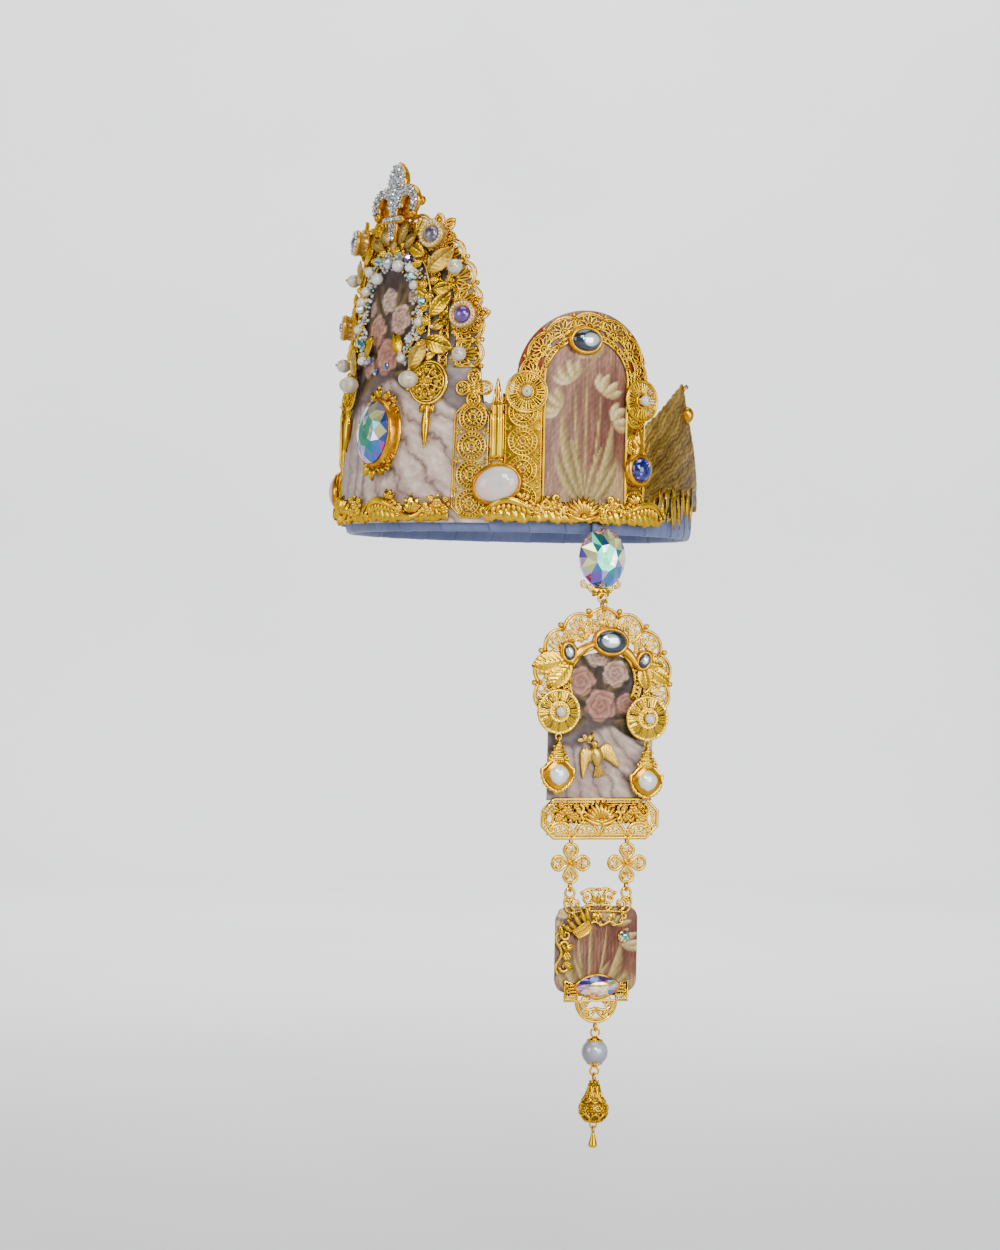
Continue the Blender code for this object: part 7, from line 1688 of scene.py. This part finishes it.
def connector():
    """Pierced cross piece: a low arch over scrolls, with a palmette and a vine below it."""
    pile = Pile(at(0, CONNECTOR_Y, 0), "cast_gilt")
    sides = array((-1, 1))
    pile.wire(oval(sides * LINK_X, -2.5, 2.1, count=20, z=.1), .62, "polished_gilt", shut=True, sides=7)
    pile.wire(bow(-13.5, -11.0, 13.5, -11.0, .7, 21), .6)
    pile.add(balls(span(-12.5, 12.5, 15), -11.0 + .7 * cos(span(-1.4, 1.4, 15)), .3, .62, 6, 8))
    for way in (-1, 1):
        pile.wire(bow(way * .8, -1.2, way * 7.6, -3.4, way * 1.3, 13), .75)
        pile.wire(curl(way * 5.0, -4.6, 3.2, 90, way * 460, .12, 30, .2), span(.8, .45, 30))
        pile.wire(curl(way * 10.0, -7.4, 2.7, -90, way * 440, .12, 26, .2), span(.75, .45, 26))
        pile.wire(bow(way * 14.6, -3.6, way * 13.4, -11.0, way * 1.2, 11), .62)
        pile.wire(bow(way * 10.8, -4.9, way * 13.6, -7.8, way * .8, 9, .1), .55)
        pile.wire(bow(way * 1.2, -8.2, way * 6.8, -9.6, way * 1.2, 9, .1), .6)
        pile.wire(curl(way * 4.4, -8.9, 1.5, 90, way * -400, .15, 20, .2), span(.62, .4, 20))
        pile.wire(curl(way * 12.4, -12.6, 1.6, 90, way * 400, .15, 20, .2), span(.62, .4, 20))
        pile.add(balls(way * array((5.0, 10.0, 7.6, 3.2)), array((-4.6, -7.4, -2.4, -6.6)), .5, .85, 6, 9))
        pile.add(copies(leaf(3.4, 2.0, .4, 3, 11, 7, .4, .2, .2), way * 6.6, -11.2,
            -90 + way * array((30, -24)), 0))
        pile.add(copies(leaf(2.8, 1.6, .4, 2, 9, 7, .4, .15, .2), way * 12.8, -4.6, -90 + way * 50, .1))
    pile.add(copies(leaf(5.2, 2.4, .5, 4, 13, 9, .4, .25, .3), 0, -7.4, (90, 50, 130), .2))
    pile.add(copies(leaf(3.8, 2.1, .4, 3, 11, 7, .4, .2, .2), 0, -11.0, (-90, -40, -140), 0))
    pile.add(balls(0, array((-7.6, -1.0)), .8, .95, 7, 10))
    vine = vec(span(-3.5, 12.5, 40), -15.6 + .7 * sin(span(0, 14, 40)), .9)
    pile.wire(vine, span(.6, .4, 40))
    stalk = arange(5)
    pile.wire(curl(-1.6 + stalk * 3.0, -14.4 - 1.6 * (stalk % 2), 1.1, 90, np.where(stalk % 2, 380, -380),
        .15, 16, .9), span(.5, .35, 16)[None])
    pile.build("scroll_connector", "plaque_group", ("connector",))


def plaque_pieces():
    """Lower plaque with its picture, the small crown, the edge scroll and a round stone."""
    middle = (PLAQUE_TOP + PLAQUE_BOTTOM) / 2
    tall, half, cut = (PLAQUE_TOP - PLAQUE_BOTTOM) / 2, PLAQUE_HALF, 5.4
    pile = Pile(at(0, middle, -1.7), "picture")
    a = radians(span(180, 90, 12))
    x = concatenate((-half + cut + cut * cos(a), span(-half + cut, half - cut, 80)[1:-1],
        (half - cut - cut * cos(a))[::-1]))
    high = tall - cut + sqrt(np.maximum(cut ** 2 - np.maximum(np.abs(x) - half + cut, 0) ** 2, 0))
    painted_sheet(pile, x, -high, high, .9, lambda u, v: lily_painting(u * .9 + 2, v * 1.35 + 26), 84)
    gem_place = at(12.4, -144.8, -.75)
    pile.add(lathe(((0, 0), (2.9, 0), (2.9, .5), (2.5, 1.0), (0, 1.0)), 20), "polished_gilt", gem_place)
    gem(pile, (2.4, 2.4), .9, 2.3, "aurora_and_painted_light", .5, 8, gem_place)
    pile.build("plaque_picture", "plaque_group", ("plaque",))
    small_crown()
    pile = Pile(hang, "cast_gilt")
    y = span(-160.7, -142.7, 40)
    pile.wire(vec(-17.6 + 1.3 * sin((y + 142) * .5), y, .5), .7)
    pile.wire(curl(array((-15.0, -15.0, -14.6)), array((-157.4, -148.4, -143.6)), 2.3, 180,
        array((1, -1, 1)) * 420., .15, 24, .7), span(.8, .42, 24)[None])
    pile.add(copies(leaf(5.4, 2.8, .6, 4, 13, 9, .5, .3, .3), (-15.4, -15.6, -16.4),
        (-150.5, -155.5, -144.6), (30, -30, 96), .3))
    pile.add(copies(leaf(2.2, 1.9, .4, 2, 9, 7, .4, .1, .3), -14.0, -152.7, arange(6) * 60, .8))
    pile.add(balls(-14.0, -152.7, 1.9, .85, 7, 10))
    pile.build("edge_scroll", "plaque_group", ("plaque_scroll",))


def small_crown():
    """Cast crown on the plaque's corner: a ribbed band, five tall points and pearls on them."""
    pile = Pile(at(-8.5, -139.5, .8, 34), "cast_gilt")
    across, up = span(-1, 1, 61)[None], span(0, 1, 17)[:, None]
    wide = 3.7 + 1.1 * up
    bulge = 2.2 * sqrt(np.maximum(1 - .85 * across ** 2, 0))
    ribs = .22 * cos(across * 40) * step(.12, .2, up) * step(.92, .8, up) + .3 * exp(-((up - .06) / .05) **
        2)
    pile.add(shell(vec(across * wide, -4.8 + 5.2 * up, bulge + ribs + .3 * exp(-((up - .95) / .05) ** 2)),
        1.6))
    for x, length in ((-4.3, 5.4), (-2.4, 5.8), (0, 6.2), (2.4, 5.8), (4.3, 5.4)):
        z = 1.9 * sqrt(max(1 - .85 * (x / 4.8) ** 2, 0))
        pile.add(copies(leaf(length, 2.1, .5, 2, 13, 9, .6, .15, .2), x, -.2, 90 - x * 5, z - .2))
        tip = radians(90 - x * 5)
        pile.add(balls(*around(length * .96, tip, x, -.2), z + .4, .62, 6, 9))
    pile.add(balls(span(-3.2, 3.2, 6), -2.2, 1.9 + .5 * cos(span(-1, 1, 6)), .42, 5, 8))
    pile.build("small_crown", "plaque_group", ("crown_charm",))


def half_round():
    """Navette brilliant on a framed bar, over a pierced half round of two scrolls."""
    pile = Pile(at(0, HALF_ROUND_Y, -.5), "cast_gilt")
    top, foot = 1.7, -HALF_DROP
    a = radians(span(180, 360, 61))
    for r, wire, z in ((9.2, .7, .9), (7.7, .4, .8)):
        pile.wire(vec(*around(r, a, 0, foot), z), wire, "polished_gilt")
    b = radians(span(184, 356, 40))
    pile.wire(bow(*around(7.9, b, 0, foot), *around(9.2, b, 0, foot), 0, 3, .9), .3, sides=4)
    for way in (-1, 1):
        pile.wire(bow(way * 7.5, foot - .1, way * .3, foot - 3.2, way * 2.3, 19, .8), .78)
        pile.wire(curl(way * 4.0, foot - .6, 1.7, -90, way * 420, .15, 22, .8), span(.62, .4, 22))
        pile.wire(bow(way * .3, foot - 2.8, way * 4.4, foot - 7.3, -way * 1.1, 17, .8), .72)
        pile.wire(curl(way * 4.1, foot - 5.7, 1.55, -80, way * 420, .15, 22, .8), span(.66, .42, 22))
        pile.add(balls(way * array((4.0, 7.0, 3.8)), foot + array((-.6, -.9, -5.6)), 1.0, .75, 6, 9))
        pile.wire(vec(way * array((9.0, 14.5, 14.5, 9.0)), array((-.4, top, foot, foot + .2)), .9), .55,
            "polished_gilt", shut=True)
        gx, gy = np.meshgrid(span(8.9, 11.9, 4), span(-4.9, .6, 5))
        pile.add(balls(way * gx.ravel(), gy.ravel() - .9, 1.3, .68, 6, 9))
        pile.wire(curl(way * 13.0, -2.8, 1.2, 90, way * 400, .2, 18, .9), span(.5, .35, 18))
        pile.wire(curl(way * 13.0, -5.4, 1.0, 90, way * -400, .2, 18, .9), span(.5, .35, 18))
    pile.wire(oval(span(-5.4, 5.4, 4), foot + .9, 1.15, .95, count=12, z=.9), .42, shut=True)
    pile.wire(bow(-14.4, foot, 14.4, foot, 0, 5, .9), .5)
    x = span(-14.2, 14.2, 40)
    pile.add(shell(vec(x[None] + 0 * span(0, 1, 5)[:, None], span(-5.0, .6, 5)[:, None], .6), .7), deep=.25)
    t = radians(span(0, 360, 61)[:-1])
    shape = vec(9.9 * cos(t), 5.0 * sin(t) * (1 - .42 * np.abs(cos(t)) ** 1.5) - .8, 1.7)
    pile.wire(shape, .8, "amber", shut=True, sides=8)
    gem(pile, (9.4, 4.6), 1.4, 4.9, "aurora_and_painted_light", .5, 10, at(0, HALF_ROUND_Y - .8, -.5), True)
    ring_edge(pile, 0, EYE_Y - HALF_ROUND_Y, 1.7, .45, .45)
    pile.build("navette_half_round", "plaque_group", ("marquise_crescent",))


def drops():
    """Blue-white pearl between caps, gilt pear bead and a small tear, hung by rings."""
    pile = Pile(at(0, DROP_Y, -.05), "polished_gilt")
    pile.wire(oval(0, array((0, -16.7)), 1.9, count=20), .45, shut=True, sides=8)

    def stand(rows, sides, finish, y, **how):
        """Add a turned profile that stands upright at a height."""
        shape = lathe(rows, sides)
        pile.add(shape[..., [0, 2, 1]] + array((0, y, 0)), finish, **how)
    t = radians(span(-90, 90, 21))
    lie = circle(32)
    # Painted highlight: the pearl is lighter where it faces out and up, toward its ramp's pale aqua top
    facing = cos(t)[:, None] * sin(lie)[None] * .8 + .35 * sin(t)[:, None]
    stand(stack(around(5.85, t), 1), 32, "blue_pearl", -8.35, deep=clip(facing, 0, 1) ** 2.5)
    a = circle(10)
    for way in (-1, 1):
        stand(((0, way * 6.9), (.8, way * 6.8), (1.4, way * 6.2), (3.2, way * 5.3), (3.3, way * 4.9),
            (0, way * 5.5)), 20, "polished_gilt", -8.35)
        seeds = balls(3.2 * cos(a), 0 * a, 3.2 * sin(a), .55, 5, 7)
        pile.add(seeds + array((0, -8.35 + way * 4.9, 0)))
    ring_edge(pile, 0, -19.1, 1.7, .42)
    pear_bead(pile, -20.7)
    pile.wire(oval(0, -39.9, 1.5, count=18), .4, shut=True, sides=8)
    ring_edge(pile, 0, -41.8, 1.4, .36)
    u = span(0, 1, 20)
    swell = (.30 + .70 * clip(u / .80, 0, 1)) * sqrt(clip(1 - clip((u - .80) / .20, 0, 1) ** 2, 0, 1))
    swell[0] = 0
    stand(stack((2.0 * swell, -7.0 * u), 1), 18, "polished_gilt", -43.0)
    pile.build("pearl_and_pear_drop", "end_drop", ("pearl_drop", "pear_bead", "tear_drop"))


def pear_bead(pile, head):
    """Hollow-looking pear: tall loops round its neck, belts of granules and a scrolled foot."""
    rows = array(((.26, .02), (.32, .18), (.54, .38), (.92, .58), (1.0, .72), (.74, .93), (.34, 1.0)))
    u = span(.02, 1, 40)
    profile = interp(u, rows[:, 1], rows[:, 0])
    profile = np.convolve(np.pad(profile, 3, "edge"), np.ones(7) / 7, "valid")
    turn = circle(48)[None]
    body = 6.2 * profile[:, None] + 0 * turn
    grid = vec(body * cos(turn), head - 18 * u[:, None], body * sin(turn))
    tips = vec(0 * turn, grid[[0, -1], :, 1], 0 * turn)
    pile.add(concatenate((tips[:1], grid, tips[1:])), "rough_bronze", deep=.26)

    def on_pear(share, lie, extra=.35):
        """Point on the pear at a share of its height and an angle."""
        r = 6.2 * interp(share, u, profile) + extra
        return vec(r * cos(lie), head - 18 * share, r * sin(lie))
    loops = circle(8)[:, None] + .2
    b = circle(18)[None]
    for centre, tall, wide, wire in ((.30, .20, .33, .56), (.35, .10, .15, .42), (.86, .09, .30, .50)):
        path = on_pear(centre - tall * cos(b) + 0 * loops, loops + wide * sin(b) * (1.15 - .35 * cos(b)))
        pile.wire(path, wire, "gilt", shut=True, up=(0, 1, .001))
    belt = circle(12)[:, None]
    pile.wire(on_pear(.625 - .055 * cos(b) + 0 * belt, belt + .22 * sin(b)), .40, "gilt", shut=True,
        up=(0, 1, .001))
    for share, count, size in ((.03, 8, .6), (.09, 10, .42), (.555, 26, .45), (.625, 12, .62),
            (.695, 28, .48), (.745, 26, .5), (.97, 10, .6)):
        lie = circle(count) + (0 if count == 12 else share * 3)
        spots = on_pear(share, lie, .15)
        pile.add(balls(spots[:, 0], spots[:, 1], spots[:, 2], size, 6, 8), "gilt")


# Stage: the camera's direction and the floor's height in metres
VIEW_ALONG, FLOOR = (-0.79864, 0.60182, 0.0), -0.335
# Each lamp's name, place, size in metres, power in watts, colour and aim
LAMPS = (("key_lamp", (1.35, -.75, .85), .5, 23.0, (1.0, .98, .95), (0, 0, -.02)),
    ("glint_lamp", (1.5, -.55, .40), .12, 10.0, (1.0, .99, .97), (0, 0, -.02)),
    ("window_lamp", (1.45, .04, .12), .72, 19.0, (.95, .98, 1.0), (0, 0, -.02)),
    ("front_lamp", (.0, -1.7, .35), .9, 18.0, (1.0, .98, .95), (0, 0, -.02)), ("top_lamp", (.1, -.1, 1.8),
    1.4, 30.0, (1.0, 1.0, 1.0), (0, 0, -.02)), ("back_lamp", (-1.3, .9, 1.1), 1.3, 24.0, (1.0, .99, .98),
    (0, 0, -.02)), ("sweep_lamp", (-.9, .68, 1.5), 1.6, 150.0, (1.0, 1.0, 1.0), (-2.3, 1.74, .1)),)


def stage(settings):
    """Pale round floor that rises all round, soft lamps, and the photograph's camera."""
    scene = bpy.context.scene
    rise = radians(span(0, 90, 25))
    inner = stack((1.9 + .9 * sin(rise), 2.6 * (1 - cos(rise))), 1)
    rows = [(0, 0), (.6, 0), (1.2, 0), (1.7, 0), *inner, *(inner[::-1] + (.06, -.06)), (0, -.06)]
    pile = Pile(lambda p: p + array((0, 0, FLOOR)), "backdrop")
    pile.add(lathe(rows, 96), deep=.5)
    floor = pile.build_loose("studio_sweep")
    camera_data = bpy.data.cameras.new("photo_camera")
    camera_data.lens, camera_data.sensor_width, camera_data.clip_start = settings.lens, 36.0, 0.05
    camera = bpy.data.objects.new("photo_camera", camera_data)
    scene.collection.objects.link(camera)
    camera.location = settings.camera_place
    look = Vector(VIEW_ALONG).to_track_quat("-Z", "Y")
    camera.rotation_mode = "QUATERNION"
    camera.rotation_quaternion = look @ Quaternion((0, 0, 1), settings.camera_roll)
    scene.camera = camera
    for title, place, size, power, colour, target in LAMPS:
        lamp = bpy.data.lights.new(title, "AREA")
        lamp.shape, lamp.size, lamp.energy, lamp.color = "SQUARE", size, power * settings.light, colour
        made = bpy.data.objects.new(title, lamp)
        made.location = place
        made.rotation_euler = (Vector(target) - Vector(place)).to_track_quat("-Z", "Y").to_euler()
        scene.collection.objects.link(made)
    world = bpy.data.worlds.new("soft_room")
    world.use_nodes = True
    world.node_tree.nodes["Background"].inputs["Color"].default_value = (.86, .88, .92, 1)
    world.node_tree.nodes["Background"].inputs["Strength"].default_value = settings.room_light
    scene.world = world


# Add-on
class CrownSizes(bpy.types.PropertyGroup):
    """Sizes and counts of the crown's fine work."""
    ribbon_turns: IntProperty(name="Ribbon turns", description="Windings of ribbon round the band",
        default=27, min=8)
    seed_beads: IntProperty(name="Seed beads", description="Seed beads in the front wreath", default=620,
        min=50)
    wire_share: FloatProperty(name="Wire thickness", description="Share of every wire's thickness",
        default=1.0, min=0.3, max=2.0, subtype="FACTOR")


def colour_setting(title, finish):
    """Colour of a finish's brightest stop, which its whole ramp follows."""
    return FloatVectorProperty(name=title, description="Brightest colour of the " + title.lower(), size=3,
        min=0.0, max=1.0, default=FINISHES[finish]["ramp"][-1][1], subtype="COLOR")


class CrownColours(bpy.types.PropertyGroup):
    """Colours of the crown's finishes."""
    gilt: colour_setting("Filigree gilt", "gilt")
    cast_gilt: colour_setting("Cast gilt", "cast_gilt")
    polished_gilt: colour_setting("Polished gilt", "polished_gilt")
    rough_bronze: colour_setting("Rough bronze", "rough_bronze")
    ribbon: colour_setting("Ribbon", "ribbon")
    amber: colour_setting("Amber resin", "amber")
    white_cabochon: colour_setting("White cabochons", "white_cabochon")
    pearl: colour_setting("Pearls", "pearl")
    opal: colour_setting("Opal", "opal")
    amethyst: colour_setting("Amethyst", "amethyst")


class CrownStageSettings(bpy.types.PropertyGroup):
    """Camera and light of the stage."""
    lens: FloatProperty(name="Lens", description="Focal length of the camera", default=81.39, unit="CAMERA")
    camera_place: FloatVectorProperty(name="Camera place", description="Where the camera stands",
        default=(1.03377, -0.78827, -0.03997), subtype="TRANSLATION")
    camera_roll: FloatProperty(name="Camera roll", description="Tilt of the camera about its own axis",
        default=float(radians(1.2)), unit="ROTATION")
    light: FloatProperty(name="Lamp share", description="Share of every lamp's power", default=0.59,
        subtype="FACTOR")
    room_light: FloatProperty(name="Room light", description="Strength of the even light", default=0.10,
        subtype="FACTOR")


class CROWN_OT_band(bpy.types.Operator):
    """Wind the padded band with ribbon"""
    bl_idname = "crown.band"
    bl_label = "Ribbon band"

    def execute(self, context):
        ribbon_band()
        return {"FINISHED"}


class CROWN_OT_pictures(bpy.types.Operator):
    """Paint the backing sheets of the wall"""
    bl_idname = "crown.pictures"
    bl_label = "Pictures"

    def execute(self, context):
        crown_pictures()
        return {"FINISHED"}


class CROWN_OT_lace(bpy.types.Operator):
    """Build the pierced arches and strips"""
    bl_idname = "crown.lace"
    bl_label = "Lace"

    def execute(self, context):
        front_lace()
        strips()
        side_lace()
        return {"FINISHED"}


class CROWN_OT_discs(bpy.types.Operator):
    """Build the spoked discs"""
    bl_idname = "crown.discs"
    bl_label = "Spoked discs"

    def execute(self, context):
        discs()
        return {"FINISHED"}


class CROWN_OT_back_leaves(bpy.types.Operator):
    """Build the rough leaf behind each side"""
    bl_idname = "crown.back_leaves"
    bl_label = "Back leaves"

    def execute(self, context):
        back_leaves()
        return {"FINISHED"}


class CROWN_OT_trims(bpy.types.Operator):
    """Build the cast strips along the band"""
    bl_idname = "crown.trims"
    bl_label = "Cast trims"

    def execute(self, context):
        trims()
        return {"FINISHED"}


class CROWN_OT_stones(bpy.types.Operator):
    """Set the wall's stones"""
    bl_idname = "crown.stones"
    bl_label = "Stones"

    def execute(self, context):
        wall_stones()
        main_stone()
        ring_stones()
        return {"FINISHED"}


class CROWN_OT_medallions(bpy.types.Operator):
    """Build the domed rounds and the wall's pearls"""
    bl_idname = "crown.medallions"
    bl_label = "Medallions"

    def execute(self, context):
        medallions()
        wall_pearls()
        return {"FINISHED"}


class CROWN_OT_cluster(bpy.types.Operator):
    """String the beads and lay the leaves"""
    bl_idname = "crown.cluster"
    bl_label = "Beads and leaves"

    def execute(self, context):
        bead_cluster()
        leaf_sprays()
        return {"FINISHED"}


class CROWN_OT_fleur(bpy.types.Operator):
    """Set the flower on the crown's top"""
    bl_idname = "crown.fleur"
    bl_label = "Fleur-de-lis"

    def execute(self, context):
        fleur()
        return {"FINISHED"}


class CROWN_OT_stud(bpy.types.Operator):
    """Set the stone that carries the pendant"""
    bl_idname = "crown.stud"
    bl_label = "Stud"

    def execute(self, context):
        stud()
        pendant_rings()
        return {"FINISHED"}


class CROWN_OT_pendant(bpy.types.Operator):
    """Build the pendant's picture, lace, stones, discs, dove and bar"""
    bl_idname = "crown.pendant"
    bl_label = "Pendant"

    def execute(self, context):
        pendant_picture()
        pendant_lace()
        pendant_set_stones()
        ray_discs()
        dove()
        bar()
        return {"FINISHED"}


class CROWN_OT_plaque(bpy.types.Operator):
    """Build the links and the lower plaque"""
    bl_idname = "crown.plaque"
    bl_label = "Plaque"

    def execute(self, context):
        links()
        connector()
        plaque_pieces()
        half_round()
        return {"FINISHED"}


class CROWN_OT_drops(bpy.types.Operator):
    """Hang the pearl and the pear drop"""
    bl_idname = "crown.drops"
    bl_label = "Drops"

    def execute(self, context):
        drops()
        return {"FINISHED"}


class CROWN_OT_stage(bpy.types.Operator):
    """Lay the floor, the lamps and the camera"""
    bl_idname = "crown.stage"
    bl_label = "Stage"

    def execute(self, context):
        stage(context.scene.crown_stage)
        return {"FINISHED"}


OPERATORS = (CROWN_OT_band, CROWN_OT_pictures, CROWN_OT_lace, CROWN_OT_discs, CROWN_OT_back_leaves,
    CROWN_OT_trims, CROWN_OT_stones, CROWN_OT_medallions, CROWN_OT_cluster, CROWN_OT_fleur, CROWN_OT_stud,
    CROWN_OT_pendant, CROWN_OT_plaque, CROWN_OT_drops, CROWN_OT_stage)
SETTINGS = (("crown_sizes", CrownSizes), ("crown_colours", CrownColours),
    ("crown_stage", CrownStageSettings))


class CROWN_PT_panel(bpy.types.Panel):
    """Lists the crown's settings and operators"""
    bl_idname = "CROWN_PT_panel"
    bl_label = "Jeweled crown"
    bl_space_type = "VIEW_3D"
    bl_region_type = "UI"
    bl_category = "Crown"

    def draw(self, context):
        for name, group in SETTINGS:
            for title in group.__annotations__:
                self.layout.prop(getattr(context.scene, name), title)
        for made in OPERATORS:
            self.layout.operator(made.bl_idname)


def register():
    """Register the classes and hang the settings on the scene."""
    for name, group in SETTINGS:
        bpy.utils.register_class(group)
        setattr(bpy.types.Scene, name, PointerProperty(type=group))
    for made in OPERATORS + (CROWN_PT_panel,):
        bpy.utils.register_class(made)


def unregister():
    """Undo register."""
    for made in OPERATORS + (CROWN_PT_panel,):
        bpy.utils.unregister_class(made)
    for name, group in SETTINGS:
        delattr(bpy.types.Scene, name)
        bpy.utils.unregister_class(group)


def main():
    """Build every piece in order, then the stage."""
    register()
    for made in OPERATORS:
        getattr(bpy.ops.crown, made.bl_idname.split(".")[1])()


if __name__ == "__main__":
    main()
